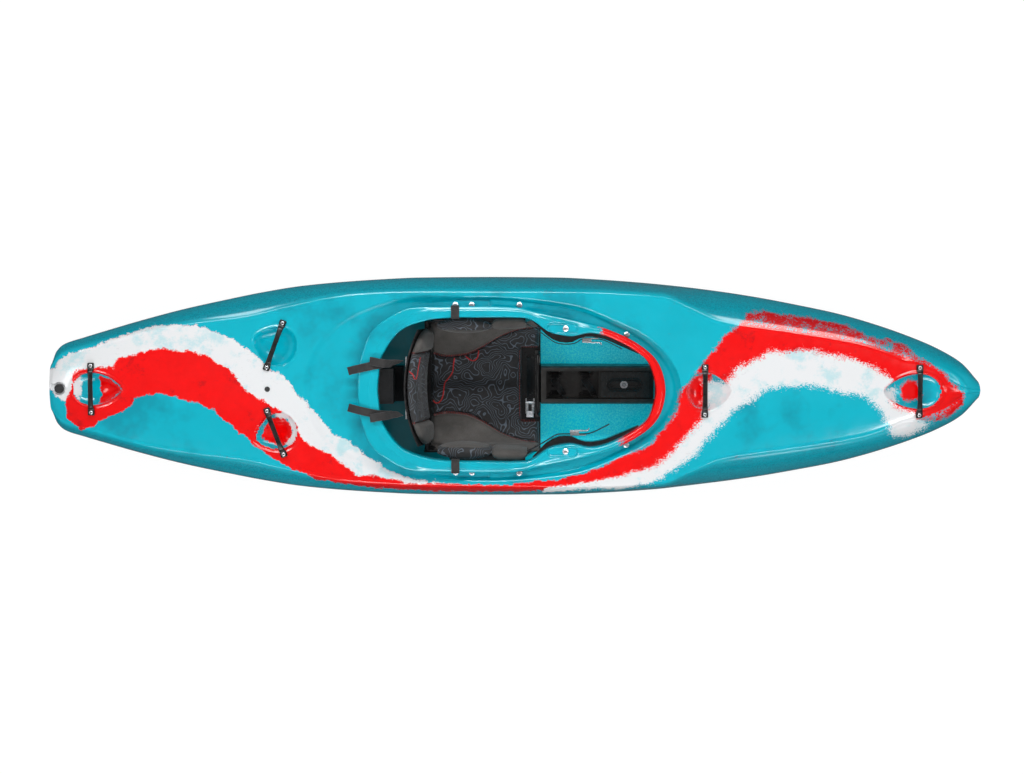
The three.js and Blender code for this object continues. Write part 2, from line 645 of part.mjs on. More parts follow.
// Half width of a mirrored outline at a place along X
function halfWidthOf(shares, rear, length, width) {
  const half = curveThrough(shares);
  return (x) => (half((x - rear) / length) * width) / 2;
}

const openingOutline = planOutline(OPENING_SHARES, OPENING_REAR, OPENING_LENGTH, OPENING_WIDTH);
const rimOutline = planOutline(RIM_OUTLINE_SHARES, RIM_REAR, RIM_LENGTH, RIM_WIDTH);
const moatOutline = planOutline(MOAT_OUTLINE_SHARES, MOAT_REAR, MOAT_LENGTH, MOAT_WIDTH);
const openingHalf = halfWidthOf(OPENING_SHARES, OPENING_REAR, OPENING_LENGTH, OPENING_WIDTH);
const moatHalf = halfWidthOf(MOAT_OUTLINE_SHARES, MOAT_REAR, MOAT_LENGTH, MOAT_WIDTH);
const FRONT_SCREW_Y = moatHalf(FRONT_SCREW_X) - MOAT_SLOPE - WASHER_RADIUS - FRONT_SCREW_GAP;

function moatCutter(grow) {
  const floor = grownOutline(moatOutline, grow - MOAT_SLOPE);
  const edge = grownOutline(moatOutline, grow);
  return loft([
    atHeight(floor, (x) => moatFloor(x) - grow),
    atHeight(edge, (x) => moatFloor(x) - grow + MOAT_RISE),
    atHeight(edge, () => DEPTH + BOWL_DEPTH),
  ], true);
}

function coamingBlock() {
  const neck = grownOutline(openingOutline, WALL);
  const edge = grownOutline(rimOutline, -RIM_EDGE);
  return loft([
    atHeight(neck, (x) => moatFloor(x) - WALL / 2),
    atHeight(neck, (x) => rimTop(x) - RIM_THICK),
    atHeight(rimOutline, (x) => rimTop(x) - RIM_THICK),
    atHeight(rimOutline, (x) => rimTop(x) - RIM_EDGE),
    atHeight(edge, (x) => rimTop(x)),
  ], true);
}

// Bowl under a handle: pointed end ahead or astern, turned about its middle
const BOWLS = [
  { rear: STERN_BOWL_REAR, length: END_BOWL_LENGTH, width: END_BOWL_WIDTH, y: 0, turn: 0, ahead: true },
  { rear: BOW_BOWL_REAR, length: END_BOWL_LENGTH, width: END_BOWL_WIDTH, y: 0, turn: 0, ahead: false },
  { rear: CENTRE_BOWL_REAR, length: MID_BOWL_LENGTH, width: MID_BOWL_WIDTH, y: 0, turn: 0, ahead: true },
  ...[1, -1].map((side) => ({
    rear: REAR_HANDLE_X - MID_BOWL_LENGTH / 2,
    length: MID_BOWL_LENGTH,
    width: MID_BOWL_WIDTH,
    y: side * REAR_HANDLE_Y,
    turn: -side * REAR_HANDLE_TURN,
    ahead: false,
  })),
];

function bowlCutter(bowl, grow) {
  const outline = planOutline(BOWL_SHARES, -bowl.length / 2, bowl.length, bowl.width)
    .filter((_, i) => i % BOWL_POINT_STEP === 0)
    .map(([x, y]) => [bowl.ahead ? x : -x, y]);
  const grown = bowl.ahead ? grownOutline(outline, grow) : grownOutline(outline, -grow);
  const middle = bowl.rear + bowl.length / 2;
  const cos = Math.cos(bowl.turn);
  const sin = Math.sin(bowl.turn);
  const ringAt = (share, drop) => grown.map(([x, y]) => {
    const px = middle + (x * cos - y * sin) * share;
    const py = bowl.y + (x * sin + y * cos) * share;
    return [px, py, deckHeight(px, py, 0) - drop];
  });
  const steps = BOWL_STEP_SHARES
    .filter((_, i) => grow === 0 || i % 2 === 0)
    .map(([share, fall]) => ringAt(share, fall * BOWL_DEPTH + grow));
  return loft([ringAt(1, -BOWL_DEPTH), ...steps]);
}

// Shell: outer body less its cavity, then parted along its widest line
const LOWER_STEPS = 7;
const UPPER_STEPS = 4;
const DECK_STEPS = 4;
const outerBody = loft(
  STATION_SHARES.map((s) => sectionRing(s, 0, LOWER_STEPS, UPPER_STEPS, DECK_STEPS)),
);
const innerBody = loft(
  INNER_STATION_SHARES.map((s) => sectionRing(s, WALL, LOWER_STEPS - 2, UPPER_STEPS - 1, DECK_STEPS - 1)),
);
const openingPrism = loft([
  atHeight(openingOutline, () => DEPTH / 2),
  atHeight(openingOutline, () => DEPTH + BOWL_DEPTH),
], true);
const plugFloor = deckHeight(PLUG_X, 0, 0) - PLUG_RECESS_DEPTH;
const plugRecess = (grow) => rod(
  PLUG_RECESS_RADIUS + grow,
  [PLUG_X, 0, plugFloor - grow],
  [PLUG_X, 0, DEPTH],
);
const rivetDeck = deckHeight(RIVET_X, 0, 0);

function braceBoss(side) {
  const x0 = POCKET_CENTRE_X - BOSS_LENGTH / 2;
  const x1 = POCKET_CENTRE_X + BOSS_LENGTH / 2;
  const inner = side * (BRACE_SCREW_Y - BOSS_WIDTH / 2);
  const outer = side * (BRACE_SCREW_Y + BOSS_WIDTH / 2);
  return loft([x0, x1].map((x) => [
    [x, inner, moatFloor(x) - WALL / 2],
    [x, outer, moatFloor(x) - WALL / 2],
    [x, outer, rimTop(x) - RIM_EDGE],
    [x, inner, rimTop(x) - RIM_EDGE],
  ]));
}

// Sloped pocket for the brace screw, with the slot that it slides in
const rimSlope = Math.atan2(rimTop(POCKET_LENGTH) - rimTop(0), POCKET_LENGTH);
function bracePocket(side) {
  const pocket = slotBar(0, 0, POCKET_LENGTH, POCKET_WIDTH, -POCKET_DEPTH, POCKET_DEPTH);
  const slotLength = 2 * (BRACE_TRAVEL + SHANK_RADIUS + CLEAR);
  const slot = slotBar(
    BRACE_SCREW_X - POCKET_CENTRE_X, 0, slotLength, 2 * SHANK_RADIUS + 2 * CLEAR, -POCKET_LENGTH, 0,
  );
  return join(
    pocket.rotateY(-rimSlope).translate(POCKET_CENTRE_X, side * BRACE_SCREW_Y, rimTop(POCKET_CENTRE_X)),
    slot.rotateY(-rimSlope).translate(POCKET_CENTRE_X, side * BRACE_SCREW_Y, rimTop(POCKET_CENTRE_X)),
  );
}

function screwHoles() {
  const holes = [];
  for (const side of [1, -1]) {
    for (const x of SEAT_SCREW_XS) {
      holes.push(rod(
        SHANK_RADIUS + CLEAR,
        [x, side * SEAT_SCREW_Y, moatFloor(x) - 4 * WALL],
        [x, side * SEAT_SCREW_Y, moatFloor(x) + WALL],
      ));
    }
    holes.push(rod(
      SHANK_RADIUS + CLEAR,
      [FRONT_SCREW_X, side * FRONT_SCREW_Y, moatFloor(FRONT_SCREW_X) - 4 * WALL],
      [FRONT_SCREW_X, side * FRONT_SCREW_Y, moatFloor(FRONT_SCREW_X) + WALL],
    ));
  }
  return holes;
}

const cavity = cut(
  innerBody,
  moatCutter(WALL),
  ...BOWLS.map((bowl) => bowlCutter(bowl, WALL)),
  plugRecess(WALL),
);
const shell = cut(
  join(
    cut(outerBody, moatCutter(0), ...BOWLS.map((bowl) => bowlCutter(bowl, 0)), plugRecess(0)),
    coamingBlock(),
    braceBoss(1),
    braceBoss(-1),
  ),
  cavity,
  openingPrism,
  bracePocket(1),
  bracePocket(-1),
  rod(PLUG_STEM_RADIUS + CLEAR, [PLUG_X, 0, plugFloor - 2 * WALL], [PLUG_X, 0, DEPTH]),
  rod(RIVET_STEM_RADIUS + CLEAR, [RIVET_X, 0, rivetDeck - 2 * WALL], [RIVET_X, 0, DEPTH]),
  ...screwHoles(),
);

function partingBody(below) {
  const gap = PARTING_GAP / 2;
  return loft(STATION_SHARES.map((s, i) => {
    const last = STATION_SHARES.length - 1;
    const past = i === 0 ? -WALL : i === last ? WALL : 0;
    const x = xAt(s) + past;
    const level = waistShare(s) * DEPTH + (below ? -gap : gap);
    const far = below ? -DEPTH : 2 * DEPTH;
    return [[x, -BEAM, level], [x, BEAM, level], [x, BEAM, far], [x, -BEAM, far]];
  }));
}
const hullShell = common(shell, partingBody(true));
const deckShell = common(shell, partingBody(false));

// Length of deck between two seams across the boat
function deckLength(rear, front) {
  const gap = PARTING_GAP / 2;
  return common(deckShell, block(rear + gap, front - gap, -BEAM, BEAM, 0, 2 * DEPTH));
}

// Grab handle standing on the deck over a bowl
function grabHandle(x, y, turn, settle = 0) {
  const alongX = -Math.sin(turn);
  const alongY = Math.cos(turn);
  const footLevel = (side) => {
    const levels = [];
    for (const out of [HANDLE_SCREW_PITCH - HANDLE_END_WIDTH, HANDLE_SCREW_PITCH, HANDLE_LENGTH]) {
      for (const across of [-1, 0, 1]) {
        const px = x + (side * out * alongX + across * HANDLE_END_WIDTH * alongY) / 2;
        const py = y + (side * out * alongY - across * HANDLE_END_WIDTH * alongX) / 2;
        levels.push(deckHeight(px, py, 0));
      }
    }
    return Math.max(...levels) + CLEAR - settle;
  };
  const low = footLevel(-1);
  const high = footLevel(1);
  const handleShares = [
    [-1, 0, 0.7], [-0.97, 0, 1], [-0.8, 0, 1], [-0.66, 0.75, 0.9], [-0.35, 1, 0.8], [0, 1, 0.8],
    [0.35, 1, 0.8], [0.66, 0.75, 0.9], [0.8, 0, 1], [0.97, 0, 1], [1, 0, 0.7],
  ];
  const rings = handleShares.map(([at, arch, widthShare]) => {
    const level = low + ((high - low) * (at + 1)) / 2 + arch * HANDLE_ARCH;
    const thick = HANDLE_FOOT_THICK + (HANDLE_MID_THICK - HANDLE_FOOT_THICK) * arch;
    const half = (HANDLE_END_WIDTH * widthShare) / 2;
    const section = [
      [-half, 0.25], [-half * 0.75, 0], [half * 0.75, 0], [half, 0.25],
      [half, 0.7], [half * 0.65, 1], [-half * 0.65, 1], [-half, 0.7],
    ];
    return section.map(([across, up]) => [
      x + (at * HANDLE_LENGTH * alongX) / 2 + across * alongY,
      y + (at * HANDLE_LENGTH * alongY) / 2 - across * alongX,
      level + up * thick,
    ]);
  });
  const headAt = (side) => {
    const reach = (side * HANDLE_SCREW_PITCH) / 2;
    const level = low + ((high - low) * (side * HANDLE_SCREW_PITCH / HANDLE_LENGTH + 1)) / 2;
    return screwHead(
      x + reach * alongX,
      y + reach * alongY,
      level + HANDLE_FOOT_THICK * 0.9,
      SCREW_HEAD_RADIUS,
      SCREW_HEAD_HEIGHT,
    );
  };
  return join(loft(rings), headAt(1), headAt(-1));
}

// Pillars
function stationLoft(xs, sectionFor) {
  return loft(xs.map((x) => sectionFor(x).map(([y, z]) => [x, y, z])));
}

function evenly(from, to, count) {
  return Array.from({ length: count + 1 }, (_, i) => from + ((to - from) * i) / count);
}

function pillarSection(halfWidth, topFor) {
  return (x) => {
    const low = keelInside(x);
    const centre = topFor(x, 0);
    const edge = topFor(x, halfWidth);
    return [
      [-halfWidth, low], [halfWidth, low], [halfWidth, edge], [halfWidth / 2, topFor(x, halfWidth / 2)],
      [0, centre], [-halfWidth / 2, topFor(x, halfWidth / 2)], [-halfWidth, edge],
    ];
  };
}

const underDeck = (x, y) => deckHeight(x, y, WALL) - 4 * CLEAR;
function rearPillar() {
  const body = stationLoft(
    cavityPlaces(REAR_PILLAR_REAR, REAR_PILLAR_FRONT, OPENING_REAR, OPENING_REAR - 3 * MOAT_SLOPE),
    pillarSection(REAR_PILLAR_HALF, (x, y) => {
      const slope = (x - REAR_PILLAR_FRONT) / (OPENING_REAR - MOAT_SLOPE - REAR_PILLAR_FRONT);
      const held = REAR_PILLAR_FRONT_TOP + (DEPTH - REAR_PILLAR_FRONT_TOP) * Math.max(0, slope - 1);
      return Math.min(underDeck(x, y) - WALL, held);
    }),
  );
  const low = keelInside(REAR_PILLAR_TOE);
  const toe = block(
    REAR_PILLAR_FRONT - WALL, REAR_PILLAR_TOE, -REAR_PILLAR_HALF, REAR_PILLAR_HALF,
    low + WALL, REAR_PILLAR_TOE_TOP,
  );
  return cut(
    join(body, toe),
    ...BOWLS.map((bowl) => bowlCutter(bowl, WALL + 2 * CLEAR)),
    rod(RIVET_STEM_RADIUS * 2, [RIVET_X, 0, rivetDeck - 5 * WALL], [RIVET_X, 0, DEPTH]),
  );
}

function bowPillar() {
  const body = stationLoft(
    cavityPlaces(BOW_PILLAR_REAR, BOW_PILLAR_FRONT, MOAT_REAR + MOAT_LENGTH + 2 * WALL),
    pillarSection(PILLAR_HALF, (x, y) => Math.min(underDeck(x, y), x < MOAT_REAR + MOAT_LENGTH + 2 * WALL
      ? moatFloor(x) - WALL - 4 * CLEAR
      : DEPTH)),
  );
  return cut(body, ...BOWLS.map((bowl) => bowlCutter(bowl, WALL + 2 * CLEAR)));
}

function trayPillar() {
  const start = SEAT_FRONT + 2 * CLEAR;
  const body = stationLoft(cavityPlaces(start, TRAY_FRONT), (x) => {
    const low = keelInside(x);
    const chamfer = (TRAY_HALF - TRAY_WELL_HALF) / 3;
    return [
      [-TRAY_HALF, low], [TRAY_HALF, low], [TRAY_HALF, TRAY_TOP - chamfer],
      [TRAY_HALF - chamfer, TRAY_TOP], [-TRAY_HALF + chamfer, TRAY_TOP], [-TRAY_HALF, TRAY_TOP - chamfer],
    ];
  });
  const well = block(
    TRAY_WELL_REAR, TRAY_WELL_FRONT, -TRAY_WELL_HALF, TRAY_WELL_HALF, TRAY_WELL_FLOOR, 2 * TRAY_TOP,
  );
  const capBed = block(
    TRAY_WELL_FRONT - WALL, 2 * TRAY_FRONT, -TRAY_WELL_HALF, TRAY_WELL_HALF, TRAY_CAP_FLOOR, 2 * TRAY_TOP,
  );
  const recesses = [];
  for (const x of [strapPlaces[0], strapPlaces[1]]) {
    for (const side of [1, -1]) {
      recesses.push(slotBar(
        x, side * (TRAY_WELL_HALF - RECESS_WIDTH / 2 - CLEAR), RECESS_LENGTH, RECESS_WIDTH,
        TRAY_WELL_FLOOR - RECESS_DEPTH, TRAY_WELL_FLOOR + CLEAR,
      ));
    }
  }
  return cut(
    body, well, capBed, ...recesses,
    rod(SHANK_RADIUS + CLEAR, [PILLAR_SCREW_X, 0, TRAY_WELL_FLOOR], [PILLAR_SCREW_X, 0, TRAY_TOP]),
  );
}
const strapPlaces = [TRAY_WELL_REAR + RECESS_LENGTH * 0.6, TRAY_WELL_FRONT - RECESS_LENGTH * 0.8];

function pillarCap() {
  const low = TRAY_CAP_FLOOR + CLEAR;
  const plate = block(CAP_REAR, CAP_FRONT, -CAP_HALF, CAP_HALF, low, low + CAP_THICK);
  const slotMiddle = (CAP_SLOT_REAR + CAP_SLOT_FRONT) / 2;
  return cut(
    plate,
    slotBar(slotMiddle, 0, CAP_SLOT_LENGTH, 2 * CAP_SLOT_HALF, low + CAP_THICK / 2, low + 2 * CAP_THICK),
    slotBar(slotMiddle, 0, CAP_SLOT_LENGTH * 0.8, 2 * (SHANK_RADIUS + CLEAR), low - WALL, low + CAP_THICK),
  );
}

function pillarScrew() {
  const seatLevel = TRAY_CAP_FLOOR + CLEAR + CAP_THICK / 2 + CLEAR;
  return join(
    rod(PILLAR_SCREW_RADIUS, [PILLAR_SCREW_X, 0, seatLevel], [PILLAR_SCREW_X, 0, seatLevel + RATCHET_SHEET]),
    screwHead(PILLAR_SCREW_X, 0, seatLevel + RATCHET_SHEET / 2, SCREW_HEAD_RADIUS, 2 * SCREW_HEAD_HEIGHT),
    rod(SHANK_RADIUS, [PILLAR_SCREW_X, 0, TRAY_WELL_FLOOR + WALL], [PILLAR_SCREW_X, 0, seatLevel + CLEAR]),
  );
}

// Flat strap along a path; each point carries the direction of the strap's width
function ribbon(points, width, thick, steps) {
  const curve = (places) => new THREE.CatmullRomCurve3(
    places.map((place) => new THREE.Vector3(...place)), false, "centripetal",
  );
  const path = curve(points.map(([place]) => place));
  const sides = curve(points.map(([, direction]) => direction));
  const rings = [];
  for (let i = 0; i <= steps; i += 1) {
    const at = path.getPoint(i / steps);
    const tangent = path.getTangent(i / steps);
    const across = sides.getPoint(i / steps);
    across.addScaledVector(tangent, -across.dot(tangent)).normalize();
    const normal = tangent.clone().cross(across).normalize();
    rings.push([[-1, -1], [1, -1], [1, 1], [-1, 1]].map(([a, n]) => at
      .clone()
      .addScaledVector(across, (a * width) / 2)
      .addScaledVector(normal, (n * thick) / 2)
      .toArray()));
  }
  return loft(rings);
}

function pillarStrap(x) {
  const high = TRAY_WELL_FLOOR + 3 * STRAP_THICK;
  const low = TRAY_WELL_FLOOR - RECESS_DEPTH + 2 * CLEAR;
  const reach = TRAY_WELL_HALF - RECESS_WIDTH / 2 - CLEAR;
  const shelf = reach - RECESS_WIDTH / 2 - STRAP_THICK;
  return ribbon([
    [[x, reach, low], [1, 0, 0]],
    [[x, reach - STRAP_THICK, TRAY_WELL_FLOOR], [1, 0, 0]],
    [[x, shelf, high], [1, 0, 0]],
    [[x, 0, high + STRAP_THICK], [1, 0, 0]],
    [[x, -shelf, high], [1, 0, 0]],
    [[x, -reach + STRAP_THICK, TRAY_WELL_FLOOR], [1, 0, 0]],
    [[x, -reach, low], [1, 0, 0]],
  ], STRAP_WIDTH, STRAP_THICK, 20);
}

function pillarBuckle(x, y) {
  const low = TRAY_WELL_FLOOR + 4.5 * STRAP_THICK + CLEAR;
  const half = STRAP_WIDTH / 2 + 2 * STRAP_THICK;
  const reach = STRAP_WIDTH * 0.75;
  return cut(
    block(x - half, x + half, y - reach, y + reach, low, low + 2 * STRAP_THICK),
    block(x - STRAP_WIDTH / 2, x + STRAP_WIDTH / 2, y - reach / 2, y - reach / 5, 0, DEPTH),
    block(x - STRAP_WIDTH / 2, x + STRAP_WIDTH / 2, y + reach / 5, y + reach / 2, 0, DEPTH),
  );
}

// Seat pan: floor, cheeks and the flanges that hang under the recess floor
function seatPan() {
  const flangeUnder = (x) => moatFloor(x) - WALL - CLEAR;
  const ease = 2 * SEAT_SHEET;
  const places = [
    [SEAT_REAR, SEAT_WING_HEIGHT, 0],
    [SEAT_FLANGE_REAR - 2 * ease, SEAT_WING_HEIGHT, 0],
    [SEAT_FLANGE_REAR - 2 * CLEAR, flangeUnder(SEAT_FLANGE_REAR), 0],
    [SEAT_FLANGE_REAR, flangeUnder(SEAT_FLANGE_REAR), 1],
    ...evenly(SEAT_FLANGE_REAR, SEAT_FLANGE_FRONT, 4).slice(1, -1).map((x) => [x, flangeUnder(x), 1]),
    [SEAT_FLANGE_FRONT, flangeUnder(SEAT_FLANGE_FRONT), 1],
    [SEAT_FLANGE_FRONT + 2 * CLEAR, flangeUnder(SEAT_FLANGE_FRONT), 0],
    [SEAT_FLANGE_FRONT + 3 * ease, SEAT_WING_HEIGHT * 0.9, 0],
    [SEAT_FRONT, SEAT_WING_HEIGHT * 0.8, 0],
  ];
  const outerHalf = SEAT_CHEEK_HALF + SEAT_SHEET;
  const corner = SEAT_TOP + SEAT_CORNER_HEIGHT;
  const rings = places.map(([x, high, full]) => {
    const reach = full ? SEAT_FLANGE_HALF : outerHalf + CLEAR;
    const outer = [
      [reach, high - SEAT_SHEET], [outerHalf, high - SEAT_SHEET], [outerHalf, corner + SEAT_SHEET],
      [SEAT_CHEEK_HALF - SEAT_SHEET / 2, corner - SEAT_SHEET],
      [SEAT_FLOOR_HALF + SEAT_SHEET / 2, SEAT_TOP - SEAT_SHEET],
    ];
    const inner = [
      [SEAT_FLOOR_HALF, SEAT_TOP], [SEAT_CHEEK_HALF - SEAT_SHEET - SEAT_SHEET / 2, corner - SEAT_SHEET / 3],
      [SEAT_CHEEK_HALF, corner + 2 * SEAT_SHEET], [SEAT_CHEEK_HALF, high], [reach, high],
    ];
    const loop = [
      ...outer,
      ...outer.slice().reverse().map(([y, z]) => [-y, z]),
      ...inner.slice().reverse().map(([y, z]) => [-y, z]),
      ...inner,
    ];
    return loop.map(([y, z]) => [x, y, z]);
  });
  const parts = [loft(rings)];
  const lip = SEAT_LIP / 2;
  parts.push(stationLoft([SEAT_FRONT - SEAT_LIP, SEAT_FRONT - lip, SEAT_FRONT], (x) => {
    const high = SEAT_TOP + (x === SEAT_FRONT - lip ? SEAT_LIP : SEAT_LIP * 0.7);
    const half = PAD_NOTCH_HALF - SEAT_SHEET;
    return [[-half, SEAT_TOP - CLEAR], [half, SEAT_TOP - CLEAR], [half, high], [-half, high]];
  }));
  for (const side of [1, -1]) {
    const wing = side * (SEAT_CHEEK_HALF + SEAT_SHEET / 2);
    const inside = side * (EYE_INNER - 2 * CLEAR);
    const tip = inside - (side * SEAT_SHEET) / 2;
    parts.push(rod(PIVOT_RADIUS, [PIVOT_X, wing, PIVOT_Z], [PIVOT_X, tip, PIVOT_Z]));
    parts.push(rod(PIVOT_RADIUS * 1.75, [PIVOT_X, inside, PIVOT_Z], [PIVOT_X, tip, PIVOT_Z]));
  }
  const holes = [1, -1].flatMap((side) => SEAT_SCREW_XS.map((x) => rod(
    SHANK_RADIUS + CLEAR,
    [x, side * SEAT_SCREW_Y, moatFloor(x) - 6 * WALL],
    [x, side * SEAT_SCREW_Y, moatFloor(x) + WALL],
  )));
  return cut(join(...parts), ...holes);
}

function seatBolts(side) {
  const first = SEAT_SCREW_XS[0] - NUT_STRIP_WIDTH;
  const last = SEAT_SCREW_XS[2] + NUT_STRIP_WIDTH;
  const under = (x) => moatFloor(x) - WALL - SEAT_SHEET - 3 * CLEAR;
  const strip = stationLoft([first, ...SEAT_SCREW_XS, last], (x) => {
    const inner = side * (SEAT_SCREW_Y - NUT_STRIP_WIDTH / 2);
    const outer = side * (SEAT_SCREW_Y + NUT_STRIP_WIDTH / 2);
    return [
      [inner, under(x) - NUT_STRIP_THICK], [outer, under(x) - NUT_STRIP_THICK],
      [outer, under(x)], [inner, under(x)],
    ];
  });
  const screws = SEAT_SCREW_XS.flatMap((x) => {
    const y = side * SEAT_SCREW_Y;
    const level = moatFloor(x) + 3 * CLEAR;
    return [
      screwHead(x, y, level, WASHER_RADIUS, 1.5 * SCREW_HEAD_HEIGHT),
      rod(SHANK_RADIUS, [x, y, under(x) - NUT_STRIP_THICK / 2], [x, y, level + CLEAR]),
    ];
  });
  return join(strip, ...screws);
}

function frontScrew(side) {
  const level = moatFloor(FRONT_SCREW_X) + 3 * CLEAR;
  const under = moatFloor(FRONT_SCREW_X) - WALL - 3 * CLEAR;
  const y = side * FRONT_SCREW_Y;
  return join(
    screwHead(FRONT_SCREW_X, y, level, WASHER_RADIUS, 1.5 * SCREW_HEAD_HEIGHT),
    rod(SHANK_RADIUS, [FRONT_SCREW_X, y, under - NUT_STRIP_THICK], [FRONT_SCREW_X, y, level + CLEAR]),
    rod(WASHER_RADIUS, [FRONT_SCREW_X, y, under - NUT_STRIP_THICK], [FRONT_SCREW_X, y, under], 6),
  );
}

// Seat pad: crowned cushion that climbs the cheeks
function seatPad() {
  const corner = SEAT_TOP + SEAT_CORNER_HEIGHT;
  const under = SEAT_TOP + CLEAR;
  const sideTop = SEAT_TOP + PAD_SIDE_HEIGHT;
  const padShares = [
    [0, 0.55], [0.04, 0.85], [0.15, 1], [0.35, 0.95], [0.55, 1.1], [0.8, 1.35], [0.95, 1.2], [1, 0.9],
  ];
  const thickShare = curveThrough(padShares);
  const rings = evenly(0, 1, 16).map((share) => {
    const x = PAD_REAR + share * (PAD_FRONT - PAD_REAR);
    const thick = PAD_THICK * thickShare(share);
    const outer = [
      [SEAT_CHEEK_HALF - CLEAR, sideTop], [SEAT_CHEEK_HALF - CLEAR, corner + 2 * SEAT_SHEET],
      [SEAT_CHEEK_HALF - 1.6 * SEAT_SHEET, corner - SEAT_SHEET / 3 + CLEAR], [SEAT_FLOOR_HALF - CLEAR, under],
    ];
    const inner = [
      [SEAT_FLOOR_HALF * 0.5, under + thick * 1.1], [SEAT_FLOOR_HALF * 0.86, under + thick * 1.05],
      [SEAT_CHEEK_HALF - PAD_THICK, corner + thick * 0.4],
      [SEAT_CHEEK_HALF - PAD_THICK * 0.7, sideTop - 2 * SEAT_SHEET],
      [SEAT_CHEEK_HALF - PAD_THICK * 0.4, sideTop],
    ];
    const loop = [
      ...outer, ...outer.slice().reverse().map(([y, z]) => [-y, z]),
      ...inner.slice().reverse().map(([y, z]) => [-y, z]), [0, under + thick], ...inner,
    ];
    return loop.map(([y, z]) => [x, y, z]);
  });
  const notch = block(
    PAD_NOTCH_REAR, 2 * PAD_FRONT, -PAD_NOTCH_HALF, PAD_NOTCH_HALF, 0, DEPTH,
  );
  return cut(loft(rings), notch);
}

function hipPad(side) {
  const outer = SEAT_CHEEK_HALF - HIP_CHANNEL;
  const hipShares = [[0, 0.35], [0.08, 0.75], [0.25, 1], [0.5, 0.95], [0.75, 0.9], [0.92, 0.6], [1, 0.25]];
  const thickShare = curveThrough(hipShares);
  const rings = evenly(0, 1, 12).map((share) => {
    const x = HIP_REAR + share * (HIP_FRONT - HIP_REAR);
    const thick = HIP_THICK * thickShare(share);
    const high = HIP_HIGH - (HIP_HIGH - HIP_LOW) * 0.25 * share * share;
    const rise = high - HIP_LOW;
    const section = [
      [outer, HIP_LOW], [outer, high], [outer - thick * 0.6, high - rise * 0.04],
      [outer - thick * 0.95, high - rise * 0.25], [outer - thick, high - rise * 0.5],
      [outer - thick * 0.9, HIP_LOW + rise * 0.2], [outer - thick * 0.5, HIP_LOW + rise * 0.03],
    ];
    return section.map(([y, z]) => [x, side * y, z]);
  });
  return loft(rings);
}

// Backband: curved carrier with two eyes, and the cushion in front of it
const bandX = (y, up) => BAND_LOW_X - BAND_LEAN * up + BAND_WRAP * (y / BAND_HALF) ** 2;
const bandZ = (up) => BAND_LOW + (BAND_HIGH - BAND_LOW) * up;

function backbandShell() {
  const rings = evenly(-BAND_HALF, BAND_HALF, 20).map((y) => [
    [bandX(y, 0), y, bandZ(0)], [bandX(y, 1), y, bandZ(1)],
    [bandX(y, 1) + BAND_SHEET, y, bandZ(1)], [bandX(y, 0) + BAND_SHEET, y, bandZ(0)],
  ]);
  let body = toSolid(loft(rings));
  for (const side of [1, -1]) {
    const up = 0.34;
    const y0 = side * (BAND_HALF - BAND_SHEET);
    const y1 = side * EYE_OUTER;
    const back = bandX(BAND_HALF, up);
    const arm = loft([y0, y1].map((y) => [
      [back, y, bandZ(0)], [back + 2 * BAND_SHEET, y, bandZ(0)],
      [back + 1.5 * BAND_SHEET, y, bandZ(up)], [back, y, bandZ(up)],
    ]));
    const eye = rod(EYE_RADIUS, [PIVOT_X, side * EYE_INNER, PIVOT_Z], [PIVOT_X, y1, PIVOT_Z]);
    const web = loft([side * EYE_INNER, y1].map((y) => [
      [back + BAND_SHEET, y, bandZ(0)], [PIVOT_X, y, PIVOT_Z - EYE_RADIUS + CLEAR],
      [PIVOT_X, y, PIVOT_Z + EYE_RADIUS - CLEAR], [back + BAND_SHEET, y, bandZ(up)],
    ]));
    body = join(body, arm, eye, web);
  }
  const bores = [1, -1].map((side) => rod(
    PIVOT_RADIUS + CLEAR, [PIVOT_X, side * BAND_HALF, PIVOT_Z], [PIVOT_X, side * SEAT_FLANGE_HALF, PIVOT_Z],
  ));
  return cut(body, ...bores);
}

function backbandPad() {
  const half = BAND_HALF - 2 * BAND_SHEET;
  const rings = evenly(-half, half, 22).map((y) => {
    const out = Math.abs(y) / half;
    const end = Math.sqrt(Math.max(0.12, 1 - out ** 8));
    const thick = (BAND_PAD + (BAND_PAD_END - BAND_PAD) * out * out) * end;
    const low = 0.5 - 0.5 * end;
    const front = bandX(y, 0) + BAND_SHEET + CLEAR;
    const place = (up, depth) => [front - BAND_LEAN * up + depth * thick, y, bandZ(up)];
    return [
      place(low, 0), place(1 - low, 0), place(1 - low * 0.9, 0.5), place(0.95 - low * 0.8, 0.85),
      place(0.75, 1), place(0.5, 0.88), place(0.25, 1), place(0.06 + low * 0.8, 0.85), place(low * 0.9, 0.5),
    ];
  });
  return loft(rings);
}

function rearStrap(side) {
  const top = rimTop(OPENING_REAR) + STRAP_THICK;
  const start = bandX(0, 1) - 3 * STRAP_THICK;
  return ribbon([
    [[start - 2 * STRAP_THICK, side * 76, bandZ(0.9)], [0.2, side * 0.35, 1]],
    [[OPENING_REAR + 40, side * 76, bandZ(1) + 18], [0.2, side * 0.8, 0.6]],
    [[OPENING_REAR + 8, side * 73, top], [0, side, 0.1]],
    [[OPENING_REAR - 12, side * 70, top + STRAP_THICK], [0, side, 0]],
    [[RIM_REAR + 8, side * 62, top + STRAP_THICK], [0, side, 0]],
    [[RIM_REAR - 28, side * 53, top - 3 * STRAP_THICK], [0, side, 0.1]],
  ], STRAP_WIDTH, STRAP_THICK, 18);
}

